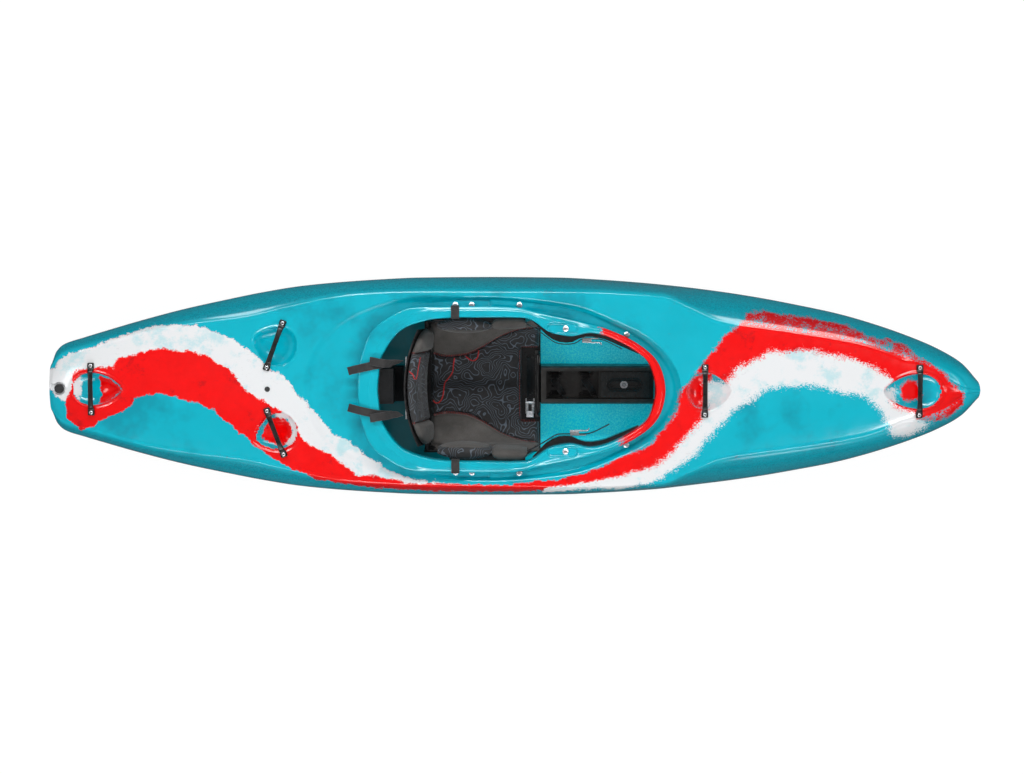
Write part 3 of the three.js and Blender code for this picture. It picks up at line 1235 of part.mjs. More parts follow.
function rearBuckle(side) {
  const half = STRAP_WIDTH * 0.65;
  const middle = STRAP_WIDTH * 3.2;
  const up = 0.84;
  const x = bandX(middle - half, up) - STRAP_THICK - CLEAR;
  const bar = block(-STRAP_THICK, STRAP_THICK, -half, half, -STRAP_WIDTH / 2, STRAP_WIDTH * 0.3);
  const window = block(
    -DEPTH, DEPTH, -STRAP_WIDTH / 2, STRAP_WIDTH / 2, -STRAP_WIDTH * 0.25, STRAP_WIDTH * 0.05,
  );
  const lean = Math.atan2(BAND_LEAN, BAND_HIGH - BAND_LOW);
  return toSolid(toGeometry(cut(bar, window)).rotateY(-lean).translate(x, side * middle, bandZ(up)));
}

// Thigh braces
const braceShareAt = (x) => (x - BRACE_REAR) / (BRACE_FRONT - BRACE_REAR);
const braceBulge = curveThrough([
  [0, 0.1], [0.12, 0.55], [0.25, 0.92], [0.35, 0.85], [0.45, 0.5], [0.78, 0.5], [0.9, 0.38], [1, 0.12],
]);
const braceReach = curveThrough([[0, 1], [0.66, 1], [0.8, 0.3], [1, 0.3]]);
const braceInner = (x) => openingHalf(x) - BRACE_IN * braceBulge(braceShareAt(x));
const braceTop = (x) => moatFloor(x) - WALL - 2 * CLEAR;

function thighBrace(side) {
  const body = stationLoft(evenly(BRACE_REAR, BRACE_FRONT, 16), (x) => {
    const inner = braceInner(x);
    const share = braceShareAt(x);
    const outer = openingHalf(x) + BRACE_OUT * braceReach(share);
    const top = braceTop(x);
    const lip = BRACE_THICK + (BRACE_LIP - BRACE_THICK) * Math.min(1, 6 * share, 5 * (1 - share) + 0.2);
    return [
      [outer, top - BRACE_THICK], [outer, top],
      [inner + BRACE_LIP_THICK / 4, top], [inner, top - BRACE_LIP_THICK / 4],
      [inner, top - lip], [inner + BRACE_LIP_THICK, top - lip],
      [inner + BRACE_LIP_THICK * 1.5, top - BRACE_THICK],
    ].map(([y, z]) => [side * y, z]);
  });
  const hole = rod(SHANK_RADIUS + CLEAR, [0, 0, -POCKET_LENGTH], [0, 0, POCKET_LENGTH])
    .rotateY(-rimSlope)
    .translate(BRACE_SCREW_X, side * BRACE_SCREW_Y, rimTop(BRACE_SCREW_X));
  return cut(body, hole);
}

function thighScrew(side) {
  const drop = rimTop(BRACE_SCREW_X) - braceTop(BRACE_SCREW_X) + BRACE_THICK / 2;
  const head = screwHead(0, 0, -POCKET_DEPTH + 2 * CLEAR, WASHER_RADIUS, 1.5 * SCREW_HEAD_HEIGHT);
  const shank = rod(SHANK_RADIUS, [0, 0, -drop], [0, 0, -POCKET_DEPTH + 3 * CLEAR]);
  return toSolid(toGeometry(join(head, shank))
    .rotateY(-rimSlope)
    .translate(BRACE_SCREW_X, side * BRACE_SCREW_Y, rimTop(BRACE_SCREW_X)));
}

// Ratchet buckle in its own frame: strap along X, width along Y, standing up along Z
const RATCHET_PIN_X = -RATCHET_LENGTH / 2 + RATCHET_WALL_LENGTH / 2;
const RATCHET_PIN_Z = RATCHET_WALL_HEIGHT - 1.6 * RATCHET_PIN_RADIUS;

const ratchetRod = (radius, half) => rod(
  radius, [RATCHET_PIN_X, -half, RATCHET_PIN_Z], [RATCHET_PIN_X, half, RATCHET_PIN_Z],
);

function ratchetBase() {
  const half = RATCHET_WIDTH / 2;
  const plate = block(-RATCHET_LENGTH / 2, RATCHET_LENGTH / 2, -half, half, 0, RATCHET_SHEET);
  const walls = [1, -1].map((side) => {
    const y0 = side > 0 ? half - RATCHET_SHEET : -half;
    return block(
      -RATCHET_LENGTH / 2, -RATCHET_LENGTH / 2 + RATCHET_WALL_LENGTH,
      y0, y0 + RATCHET_SHEET, 0, RATCHET_WALL_HEIGHT,
    );
  });
  const pin = ratchetRod(RATCHET_PIN_RADIUS, half);
  return join(plate, ...walls, pin);
}

function ratchetLever() {
  const half = RATCHET_WIDTH / 2 - RATCHET_SHEET - 2 * CLEAR;
  const sleeve = ratchetRod(LEVER_RADIUS, half);
  const arm = block(
    RATCHET_PIN_X, RATCHET_PIN_X + LEVER_LENGTH, -half, half,
    RATCHET_PIN_Z + LEVER_RADIUS - LEVER_THICK, RATCHET_PIN_Z + LEVER_RADIUS,
  );
  const bore = ratchetRod(RATCHET_PIN_RADIUS + CLEAR, RATCHET_WIDTH);
  return cut(join(sleeve, arm), bore);
}

// Matrix that puts a ratchet on a brace: its width stands up, its back faces the lip
function braceRatchetPlace(side, x) {
  const reach = evenly(x - RATCHET_LENGTH / 2, x + RATCHET_LENGTH / 2, 8).map(braceInner);
  const y = side * (Math.min(...reach) - CLEAR);
  const z = braceTop(x) - BRACE_LIP / 2 - BRACE_LIP_THICK / 4;
  const along = new THREE.Vector3(1, 0, 0);
  const out = new THREE.Vector3(0, -side, 0);
  const across = out.clone().cross(along);
  return new THREE.Matrix4().makeBasis(along, across, out).setPosition(x, y, z);
}

const liftRatchetPlace = new THREE.Matrix4()
  .makeBasis(new THREE.Vector3(0, -1, 0), new THREE.Vector3(1, 0, 0), new THREE.Vector3(0, 0, 1))
  .setPosition(LIFT_RATCHET_X, LIFT_RATCHET_Y, SEAT_TOP + CLEAR);
const placed = (solid, matrix) => toSolid(toGeometry(solid).clone().applyMatrix4(matrix));

function ladderStrap(side, ratchetX) {
  const reach = evenly(ratchetX - RATCHET_LENGTH / 2, ratchetX + RATCHET_LENGTH / 2, 8).map(braceInner);
  const through = Math.min(...reach) - CLEAR - RATCHET_SHEET - STRAP_THICK / 2 - 2 * CLEAR;
  const level = braceTop(ratchetX) - BRACE_LIP / 2 - BRACE_LIP_THICK / 4;
  const behind = (x) => Math.min(braceInner(x), braceInner(x + WALL), braceInner(x - WALL)) - 2 * STRAP_THICK;
  const lane = SEAT_CHEEK_HALF - HIP_CHANNEL + 2 * CLEAR + STRAP_THICK / 2;
  const beside = EYE_OUTER + CLEAR + STRAP_THICK / 2;
  const up = [0, 0, 1];
  const points = [
    [PIVOT_X - EYE_RADIUS, beside, PIVOT_Z + 2 * EYE_RADIUS + 3 * WALL],
    [PIVOT_X + 3.5 * EYE_RADIUS, beside, PIVOT_Z + 2 * EYE_RADIUS + 3.5 * WALL],
    [HIP_REAR + 2 * STRAP_WIDTH, lane, HIP_LOW + WALL],
    [HIP_FRONT, lane, HIP_LOW + STRAP_WIDTH],
    [BRACE_REAR - STRAP_WIDTH, lane, (HIP_LOW + HIP_HIGH) / 2 + STRAP_WIDTH / 2],
    [BRACE_REAR + STRAP_WIDTH, Math.min(lane, behind(BRACE_REAR + STRAP_WIDTH)), level - STRAP_WIDTH],
    [BRACE_REAR + 3 * STRAP_WIDTH, behind(BRACE_REAR + 3 * STRAP_WIDTH), level - STRAP_THICK],
    [ratchetX - RATCHET_LENGTH, Math.min(behind(ratchetX - RATCHET_LENGTH), through), level],
    [ratchetX - RATCHET_LENGTH / 2, through, level],
    [ratchetX, through, level],
    [ratchetX + RATCHET_LENGTH / 2, through, level],
    [ratchetX + RATCHET_LENGTH * 0.6, through - CLEAR, level],
    [ratchetX + RATCHET_LENGTH, through - STRAP_WIDTH / 4, level],
    [ratchetX + 2 * RATCHET_LENGTH, through - 1.2 * STRAP_WIDTH, level],
  ];
  return ribbon(points.map(([x, y, z]) => [[x, side * y, z], up]), LIFT_STRAP_WIDTH, STRAP_THICK, 40);
}

function liftStrap() {
  const level = SEAT_TOP + CLEAR + RATCHET_SHEET + STRAP_THICK / 2 + CLEAR;
  const side = [1, 0, 0];
  return ribbon([
    [[LIFT_RATCHET_X, LIFT_STRAP_END, level], side],
    [[LIFT_RATCHET_X, (LIFT_STRAP_END + LIFT_RATCHET_Y + RATCHET_LENGTH / 2) / 2, level + STRAP_THICK], side],
    [[LIFT_RATCHET_X, LIFT_RATCHET_Y + RATCHET_LENGTH / 2, level], side],
    [[LIFT_RATCHET_X, LIFT_RATCHET_Y - RATCHET_LENGTH * 0.62, level], side],
  ], LIFT_STRAP_WIDTH, STRAP_THICK, 10);
}

// Webbing loop over the rim that holds a hip pad
function rimStrap(side) {
  const x = FIRST_SEAT_SCREW_X;
  const inner = openingHalf(x) - STRAP_THICK;
  const outer = RIM_WIDTH / 2 + STRAP_THICK;
  const top = rimTop(x) + STRAP_THICK;
  const low = moatFloor(x) - WALL + 2 * CLEAR;
  const along = [1, 0, 0];
  return ribbon([
    [[x, side * inner, low], along],
    [[x, side * inner, top - WALL], along],
    [[x, side * (inner + STRAP_THICK), top], along],
    [[x, side * (outer - 2 * STRAP_THICK), top], along],
    [[x, side * outer, top - STRAP_THICK], along],
    [[x, side * outer, top - 2 * RIM_THICK], along],
  ], STRAP_WIDTH, STRAP_THICK, 26);
}

// Footrests: straight rail on the cavity wall, carriage with its plate, and a foam face
const railEnd = (x) => Math.min(
  wallHalf(x, RAIL_Z - RAIL_HEIGHT / 2, WALL), wallHalf(x, RAIL_Z + RAIL_HEIGHT / 2, WALL),
) - 6 * CLEAR;
const RAIL_OUT_REAR = railEnd(RAIL_REAR);
const RAIL_OUT_FRONT = railEnd(RAIL_FRONT);
const railOuter = (x) => RAIL_OUT_REAR
  + ((x - RAIL_REAR) / (RAIL_FRONT - RAIL_REAR)) * (RAIL_OUT_FRONT - RAIL_OUT_REAR);

function footRail(side) {
  const bar = stationLoft([RAIL_REAR, RAIL_FRONT], (x) => {
    const outer = railOuter(x);
    return [
      [side * outer, RAIL_Z - RAIL_HEIGHT / 2], [side * (outer - RAIL_THICK), RAIL_Z - RAIL_HEIGHT / 2],
      [side * (outer - RAIL_THICK), RAIL_Z + RAIL_HEIGHT / 2], [side * outer, RAIL_Z + RAIL_HEIGHT / 2],
    ];
  });
  const heads = [RAIL_REAR + RAIL_HEIGHT / 2, RAIL_FRONT - RAIL_HEIGHT / 2].map((x) => {
    const face = railOuter(x) - RAIL_THICK;
    const inner = face - SCREW_HEAD_HEIGHT;
    return rod(SCREW_HEAD_RADIUS, [x, side * (face + CLEAR), RAIL_Z], [x, side * inner, RAIL_Z]);
  });
  return join(bar, ...heads);
}

function footPlate(side) {
  const far = FOOT_X + FOOT_AHEAD;
  const drift = railOuter(far) - railOuter(FOOT_X);
  const heights = evenly(FOOT_LOW, FOOT_HIGH, 8);
  const outline = heights.map((z) => {
    const room = wallHalf(far, z, WALL) - drift - FOOT_SIDE_GAP;
    return [Math.min(room, railOuter(FOOT_X) - RAIL_THICK - CARRIAGE_THICK), z];
  });
  const ring = (x) => [
    [x, side * FOOT_INNER, FOOT_LOW],
    ...outline.map(([y, z]) => [x, side * y, z]),
    [x, side * FOOT_INNER, FOOT_HIGH],
  ];
  const plate = loft([ring(FOOT_X), ring(FOOT_X + FOOT_THICK)]);
  const x0 = FOOT_X - CARRIAGE_LENGTH / 2;
  const x1 = FOOT_X + CARRIAGE_LENGTH / 2;
  const low = RAIL_Z - RAIL_HEIGHT / 2 - CLEAR;
  const high = RAIL_Z + RAIL_HEIGHT / 2 + CLEAR;
  const carriage = stationLoft([x0, x1], (x) => {
    const face = railOuter(x) - RAIL_THICK - CLEAR;
    const grip = face + RAIL_THICK * 0.8;
    return [
      [grip, low - CARRIAGE_LIP], [grip, low], [face, low], [face, high], [grip, high],
      [grip, high + CARRIAGE_LIP], [face - CARRIAGE_THICK, high + CARRIAGE_LIP],
      [face - CARRIAGE_THICK, low - CARRIAGE_LIP],
    ].map(([y, z]) => [side * y, z]);
  });
  const bridge = loft([FOOT_X, FOOT_X + FOOT_THICK].map((x) => [
    [x, side * (railOuter(x) - RAIL_THICK - CARRIAGE_THICK - 2 * FOOT_SIDE_GAP), low - CARRIAGE_LIP],
    [x, side * (railOuter(x) - RAIL_THICK - CARRIAGE_THICK / 2), low - CARRIAGE_LIP],
    [x, side * (railOuter(x) - RAIL_THICK - CARRIAGE_THICK / 2), high + CARRIAGE_LIP],
    [x, side * (railOuter(x) - RAIL_THICK - CARRIAGE_THICK - 2 * FOOT_SIDE_GAP), high + CARRIAGE_LIP],
  ]));
  return join(plate, carriage, bridge);
}

function footPad(side) {
  const far = FOOT_X + FOOT_AHEAD;
  const drift = railOuter(far) - railOuter(FOOT_X);
  const inset = 2 * CARRIAGE_LIP;
  const ring = (x, draw) => {
    const heights = evenly(FOOT_LOW + inset + draw, FOOT_HIGH - inset - draw, 6);
    const outer = heights.map((z) => {
      const room = wallHalf(far, z, WALL) - drift - FOOT_SIDE_GAP - inset;
      const beside = railOuter(FOOT_X) - RAIL_THICK - CARRIAGE_THICK - inset - WALL;
      return [x, side * (Math.min(room, beside) - draw), z];
    });
    const inner = FOOT_INNER + inset / 2 + draw;
    return [[x, side * inner, heights[0]], ...outer, [x, side * inner, heights[6]]];
  };
  const face = FOOT_X - CLEAR;
  return loft([ring(face, 0), ring(face - FOOT_PAD_THICK * 0.7, 0), ring(face - FOOT_PAD_THICK, inset / 2)]);
}

// Deck fittings
function drainPlug() {
  const level = plugFloor + CLEAR;
  const grip = (PLUG_RADIUS * 2) / 5;
  return join(
    rod(PLUG_RADIUS, [PLUG_X, 0, level], [PLUG_X, 0, level + PLUG_HEAD]),
    rod(PLUG_STEM_RADIUS, [PLUG_X, 0, level - PLUG_STEM], [PLUG_X, 0, level + CLEAR]),
    block(
      PLUG_X - PLUG_RADIUS * 0.8, PLUG_X + PLUG_RADIUS * 0.8, -grip / 2, grip / 2,
      level, level + PLUG_HEAD * 1.5,
    ),
  );
}

function deckRivet() {
  const level = rivetDeck + CLEAR;
  return join(
    screwHead(RIVET_X, 0, level, RIVET_RADIUS, RIVET_HEAD),
    rod(RIVET_STEM_RADIUS, [RIVET_X, 0, level - 2 * WALL], [RIVET_X, 0, level + CLEAR]),
  );
}

// Nodes
const group = new THREE.Group();
const LOOKS = {
  plastic: [0x00b4c8, 0.45, 0],
  black: [0x151515, 0.6, 0],
  gloss: [0x101010, 0.25, 0],
  foam: [0x1c1c1c, 0.95, 0],
  fabric: [0x26272b, 0.9, 0],
  webbing: [0x303030, 0.85, 0],
  metal: [0xc8c8cc, 0.3, 1],
  rubber: [0x101012, 0.8, 0],
};

function add(name, shape, look) {
  const [color, roughness, metalness] = LOOKS[look];
  const built = toGeometry(shape);
  const geometry = built.index ? built.toNonIndexed() : built;
  geometry.computeVertexNormals();
  const mesh = new THREE.Mesh(geometry, new THREE.MeshStandardMaterial({ color, roughness, metalness }));
  mesh.name = name;
  group.add(mesh);
}

add("hull_shell", hullShell, "plastic");
add("stern_deck", deckLength(-LENGTH, REAR_SEAM_X), "plastic");
add("cockpit_deck", deckLength(REAR_SEAM_X, FRONT_SEAM_X), "plastic");
add("bow_deck", deckLength(FRONT_SEAM_X, LENGTH), "plastic");
add("stern_handle", grabHandle(STERN_HANDLE_X, 0, 0, END_SETTLE), "black");
add("rear_handle_left", grabHandle(REAR_HANDLE_X, REAR_HANDLE_Y, -REAR_HANDLE_TURN), "black");
add("rear_handle_right", grabHandle(REAR_HANDLE_X, -REAR_HANDLE_Y, REAR_HANDLE_TURN), "black");
add("centre_handle", grabHandle(CENTRE_HANDLE_X, 0, 0), "black");
add("bow_handle", grabHandle(BOW_HANDLE_X, 0, 0, END_SETTLE), "black");
add("drain_plug", drainPlug(), "rubber");
add("deck_rivet", deckRivet(), "rubber");
add("rear_pillar", rearPillar(), "foam");
add("bow_pillar", bowPillar(), "foam");
add("tray_pillar", trayPillar(), "black");
add("pillar_cap", pillarCap(), "black");
add("pillar_screw", pillarScrew(), "metal");
add("tray_strap_rear", pillarStrap(strapPlaces[0]), "webbing");
add("tray_strap_front", pillarStrap(strapPlaces[1]), "webbing");
add("tray_buckle_rear", pillarBuckle(strapPlaces[0], 0), "black");
add("tray_buckle_front", pillarBuckle(strapPlaces[1], 0), "black");
add("seat_base", block(
  PAD_REAR, PAD_FRONT, -SEAT_BASE_HALF, SEAT_BASE_HALF, WALL + CLEAR, SEAT_TOP - SEAT_SHEET - CLEAR,
), "foam");
add("seat_pan", seatPan(), "black");
add("seat_pad", seatPad(), "fabric");
add("backband_shell", backbandShell(), "black");
add("backband_pad", backbandPad(), "fabric");
add("leg_lift_base", placed(ratchetBase(), liftRatchetPlace), "metal");
add("leg_lift_lever", placed(ratchetLever(), liftRatchetPlace), "metal");
add("leg_lift_strap", liftStrap(), "webbing");
for (const [side, word] of [[1, "left"], [-1, "right"]]) {
  const ratchetX = side > 0 ? LEFT_RATCHET_X : RIGHT_RATCHET_X;
  add(`seat_bolts_${word}`, seatBolts(side), "metal");
  add(`front_screw_${word}`, frontScrew(side), "metal");
  add(`hip_pad_${word}`, hipPad(side), "fabric");
  add(`rim_strap_${word}`, rimStrap(side), "webbing");
  add(`rear_strap_${word}`, rearStrap(side), "webbing");
  add(`rear_buckle_${word}`, rearBuckle(side), "metal");
  add(`thigh_brace_${word}`, thighBrace(side), "gloss");
  add(`thigh_screw_${word}`, thighScrew(side), "metal");
  add(`ratchet_base_${word}`, placed(ratchetBase(), braceRatchetPlace(side, ratchetX)), "metal");
  add(`ratchet_lever_${word}`, placed(ratchetLever(), braceRatchetPlace(side, ratchetX)), "metal");
  add(`ladder_strap_${word}`, ladderStrap(side, ratchetX), "webbing");
  add(`foot_rail_${word}`, footRail(side), "metal");
  add(`foot_plate_${word}`, footPlate(side), "black");
  add(`foot_pad_${word}`, footPad(side), "foam");
}

export default group;
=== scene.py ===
import math

import bmesh
import bpy
import numpy as np
from mathutils import Matrix, Vector


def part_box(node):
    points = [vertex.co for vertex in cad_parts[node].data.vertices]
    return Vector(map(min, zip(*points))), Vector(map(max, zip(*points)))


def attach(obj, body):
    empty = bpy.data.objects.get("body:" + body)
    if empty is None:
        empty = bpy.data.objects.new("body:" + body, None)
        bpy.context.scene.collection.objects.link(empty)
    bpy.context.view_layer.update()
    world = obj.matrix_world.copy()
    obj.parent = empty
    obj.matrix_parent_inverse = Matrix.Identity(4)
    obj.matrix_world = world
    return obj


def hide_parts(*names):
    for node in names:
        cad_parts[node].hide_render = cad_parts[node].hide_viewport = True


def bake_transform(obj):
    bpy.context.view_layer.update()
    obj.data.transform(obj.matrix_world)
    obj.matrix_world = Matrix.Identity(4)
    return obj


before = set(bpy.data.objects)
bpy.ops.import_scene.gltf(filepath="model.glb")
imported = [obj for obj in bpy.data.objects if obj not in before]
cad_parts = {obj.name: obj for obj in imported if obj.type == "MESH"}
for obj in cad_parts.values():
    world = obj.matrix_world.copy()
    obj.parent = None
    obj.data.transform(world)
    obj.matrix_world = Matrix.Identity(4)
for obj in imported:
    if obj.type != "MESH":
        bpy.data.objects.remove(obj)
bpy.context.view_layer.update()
MM = 0.001
SIDES = ((1, "left"), (-1, "right"))
UPWARDS = np.array([0, 0, 1.0])

# Shell sizes, the same as the solids'
LENGTH = 2720
BEAM = 650
DEPTH = 380
WALL = 6
CLEAR = 0.4
MOAT_LENGTH = 964
MOAT_REAR = -475
MOAT_FRONT = MOAT_REAR + MOAT_LENGTH
SIDE_DECK = 45
MOAT_WIDTH = BEAM - 2 * SIDE_DECK
MOAT_SLOPE = 16
MOAT_RISE = 22
RIM_REAR = MOAT_REAR + 26
RIM_LENGTH = MOAT_LENGTH - 26 - 43
RIM_WIDTH = MOAT_WIDTH - 2 * 38
RIM_THICK = 6
OPENING_REAR = RIM_REAR + 58
OPENING_LENGTH = RIM_LENGTH - 58 - 28
OPENING_WIDTH = RIM_WIDTH - 2 * 32
HULL_POWER = 2.4
SIDE_POWER = 1.6

# Handle sizes and places
HANDLE_LENGTH = 155
HANDLE_SCREW_PITCH = 137
HANDLE_END_WIDTH = 17
HANDLE_FOOT_WIDTH = 20
HANDLE_FOOT_THICK = 7
HANDLE_MID_THICK = 9
HANDLE_ARCH = 9
SCREW_HEAD_RADIUS = 5.5
SCREW_HEAD_HEIGHT = 2.5
END_SETTLE = 0.8
BOWL_DEPTH = 30
END_BOWL = (150, 98)
MID_BOWL = (126, 111)
BOW_BOWL = (166, 104)
STERN_HANDLE_X = 130 - LENGTH / 2
REAR_HANDLE_X = MOAT_REAR - 217
REAR_HANDLE_Y = 0.394 * BEAM / 2
REAR_HANDLE_TURN = 0.343
CENTRE_BOWL_REAR = MOAT_FRONT + 18
CENTRE_HANDLE_X = CENTRE_BOWL_REAR + 52
BOW_HANDLE_X = LENGTH / 2 - 184
PLUG_X = 33 - LENGTH / 2
PLUG_RECESS_RADIUS = 18
PLUG_RECESS_DEPTH = 10
PLUG_CHANNEL_HALF = 13

# Seat sizes
SEAT_TOP = 62
SEAT_CHEEK_HALF = OPENING_WIDTH / 2 - 14
SEAT_FLOOR_HALF = SEAT_CHEEK_HALF - 46
SEAT_CORNER = SEAT_TOP + 36
SEAT_FLANGE_REAR = -182
SEAT_FRONT = OPENING_REAR + 0.56 * OPENING_LENGTH - 22 + 48
PAD_THICK = 22
PAD_REAR = -244
PAD_FRONT = SEAT_FRONT - 4
PAD_NOTCH_REAR = PAD_FRONT - 54
PAD_NOTCH_HALF = SEAT_FLOOR_HALF - 44
PAD_SIDE_TOP = SEAT_TOP + 88
PAD_SIDE_LOW = SEAT_CORNER + 11
HIP_REAR = -218
HIP_FRONT = -58
HIP_LOW = 168
HIP_HIGH = 252
HIP_THICK = 26
HIP_CHANNEL = 8
BOLSTER_REAR = HIP_FRONT + 0.5
BAND_HALF = SEAT_CHEEK_HALF - 24
BAND_LOW = 118
BAND_HIGH = 250
BAND_LOW_X = -283
BAND_LEAN = 34
BAND_WRAP = 40
BAND_SHEET = 4
BAND_PAD = 32
BAND_PAD_END = 18
PIVOT_X = -238
PIVOT_Z = 125
EYE_RADIUS = 10
EYE_OUTER = SEAT_CHEEK_HALF - 5

# Brace, ratchet and strap sizes
BRACE_REAR = OPENING_REAR + 0.56 * OPENING_LENGTH
BOLSTER_FRONT = BRACE_REAR - 16
BRACE_FRONT = OPENING_REAR + 0.9407 * OPENING_LENGTH
BRACE_IN = 24
BRACE_LIP = 30
BRACE_LIP_THICK = 8
POCKET_X = OPENING_REAR + 0.6662 * OPENING_LENGTH
POCKET_Y = 0.7397 * RIM_WIDTH / 2
POCKET_LENGTH = 90
POCKET_WIDTH = 32
POCKET_DEPTH = 7
RATCHET_LENGTH = 46
RATCHET_WIDTH = 28
RATCHET_SHEET = 2
RATCHET_PIN = (-10, 10)
RATCHET_XS = {1: BRACE_FRONT - 140, -1: BRACE_FRONT - 175}
STRAP_WIDTH = 24
STRAP_THICK = 2
LIFT_RATCHET_X = SEAT_FRONT - 32
LIFT_RATCHET_Y = 38 - PAD_NOTCH_HALF
LIFT_STRAP_WIDTH = 20
LIFT_STRAP_END = PAD_NOTCH_HALF - 25
TRAY_WELL_FLOOR = 72
TRAY_WELL_HALF = 42
TRAY_WELL_REAR = SEAT_FRONT + 16
TRAY_WELL_FRONT = TRAY_WELL_REAR + 158
TRAY_STRAP_XS = (TRAY_WELL_REAR + 46 * 0.6, TRAY_WELL_FRONT - 46 * 0.8)
RECESS_WIDTH = 16
RECESS_DEPTH = 14
SLOT_START = 20
SLOT_LENGTH = 102
CAP_TOP = 116.4

# Share tables: share of the length from the stern, then share of the half beam or the depth
BEAM_SHARES = [
    (0, 0.2), (0.002, 0.24), (0.006, 0.33), (0.0145, 0.395), (0.036, 0.455), (0.0575, 0.51),
    (0.1, 0.614), (0.1435, 0.71), (0.1865, 0.79), (0.23, 0.864), (0.27, 0.918), (0.315, 0.955),
    (0.36, 0.98), (0.4, 0.995), (0.477, 1), (0.55, 0.995), (0.595, 0.977), (0.64, 0.95),
    (0.68, 0.918), (0.724, 0.873), (0.767, 0.818), (0.81, 0.75), (0.853, 0.673), (0.896, 0.568),
    (0.939, 0.436), (0.96, 0.355), (0.982, 0.241), (1, 0.07),
]
KEEL_SHARES = [
    (0, 0.45), (0.006, 0.4), (0.05, 0.31), (0.1, 0.237), (0.2, 0.121), (0.3, 0.042), (0.4, 0),
    (0.56, 0), (0.6, 0.016), (0.7, 0.079), (0.8, 0.189), (0.9, 0.363), (0.96, 0.5), (0.985, 0.6),
    (1, 0.7),
]
WAIST_SHARES = [
    (0, 0.56), (0.1, 0.526), (0.3, 0.453), (0.5, 0.434), (0.7, 0.5), (0.85, 0.618), (0.95, 0.72),
    (1, 0.8),
]
DECK_SHARES = [
    (0, 0.665), (0.006, 0.695), (0.05, 0.75), (0.1, 0.77), (0.2, 0.763), (0.3, 0.716),
    (0.345, 0.693), (0.4, 0.71), (0.5, 0.785), (0.6, 0.86), (0.66, 0.9), (0.72, 0.937),
    (0.8, 0.966), (0.88, 0.99), (0.93, 1), (0.96, 0.995), (0.985, 0.96), (1, 0.9),
]
CREASE_SHARES = [
    (0, 0.64), (0.05, 0.695), (0.1, 0.71), (0.2, 0.7), (0.3, 0.678), (0.345, 0.672), (0.4, 0.7),
    (0.5, 0.78), (0.6, 0.835), (0.66, 0.86), (0.72, 0.88), (0.8, 0.9), (0.88, 0.925),
    (0.93, 0.952), (0.96, 0.965), (0.985, 0.945), (1, 0.89),
]
SHOULDER_SHARES = [
    (0, 0.16), (0.0145, 0.29), (0.03, 0.34), (0.055, 0.4), (0.11, 0.52), (0.155, 0.582),
    (0.215, 0.646), (0.255, 0.726), (0.315, 0.825), (0.4, 0.862), (0.55, 0.868), (0.66, 0.834),
    (0.69, 0.735), (0.72, 0.62), (0.74, 0.582), (0.8, 0.511), (0.87, 0.412), (0.918, 0.277),
    (0.955, 0.154), (0.984, 0.03), (1, 0.015),
]
FLAT_SHARES = [(0, 0.3), (0.1, 0.36), (0.9, 0.36), (1, 0.2)]
RIM_SHARES = [(0.32, 0.768), (0.42, 0.795), (0.5, 0.835), (0.6, 0.885), (0.7, 0.935)]
MOAT_FLOOR_SHARES = [
    (0.3, 0.735), (0.345, 0.694), (0.4, 0.7), (0.5, 0.75), (0.6, 0.8), (0.7, 0.85),
]
# Plan outlines: share of the outline's length from its rear, share of its half width
OPENING_SHARES = [
    (0, 0), (0.004, 0.19), (0.016, 0.45), (0.083, 0.81), (0.173, 0.952), (0.263, 0.995),
    (0.371, 1), (0.496, 1), (0.543, 0.985), (0.567, 0.94), (0.601, 0.845), (0.618, 0.805),
    (0.659, 0.762), (0.7, 0.745), (0.724, 0.762), (0.761, 0.79), (0.807, 0.767), (0.864, 0.681),
    (0.922, 0.557), (0.968, 0.414), (0.99, 0.229), (1, 0),
]
RIM_OUTLINE_SHARES = [
    (0, 0), (0.007, 0.331), (0.019, 0.483), (0.037, 0.653), (0.063, 0.769), (0.094, 0.851),
    (0.122, 0.913), (0.153, 0.967), (0.181, 0.99), (0.27, 1), (0.526, 0.99), (0.585, 0.934),
    (0.704, 0.839), (0.794, 0.756), (0.831, 0.707), (0.883, 0.62), (0.935, 0.496),
    (0.968, 0.378), (0.99, 0.22), (1, 0),
]
MOAT_OUTLINE_SHARES = [
    (0, 0), (0.004, 0.3), (0.02, 0.55), (0.06, 0.74), (0.193, 0.943), (0.268, 0.982), (0.398, 1),
    (0.571, 0.957), (0.682, 0.896), (0.733, 0.843), (0.83, 0.689), (0.88, 0.604), (0.935, 0.461),
    (0.971, 0.304), (0.992, 0.16), (1, 0),
]
BOWL_SHARES = [
    (0, 0), (0.02, 0.32), (0.08, 0.62), (0.2, 0.89), (0.34, 0.99), (0.42, 1), (0.56, 0.94),
    (0.7, 0.8), (0.83, 0.58), (0.93, 0.34), (0.98, 0.15), (1, 0),
]

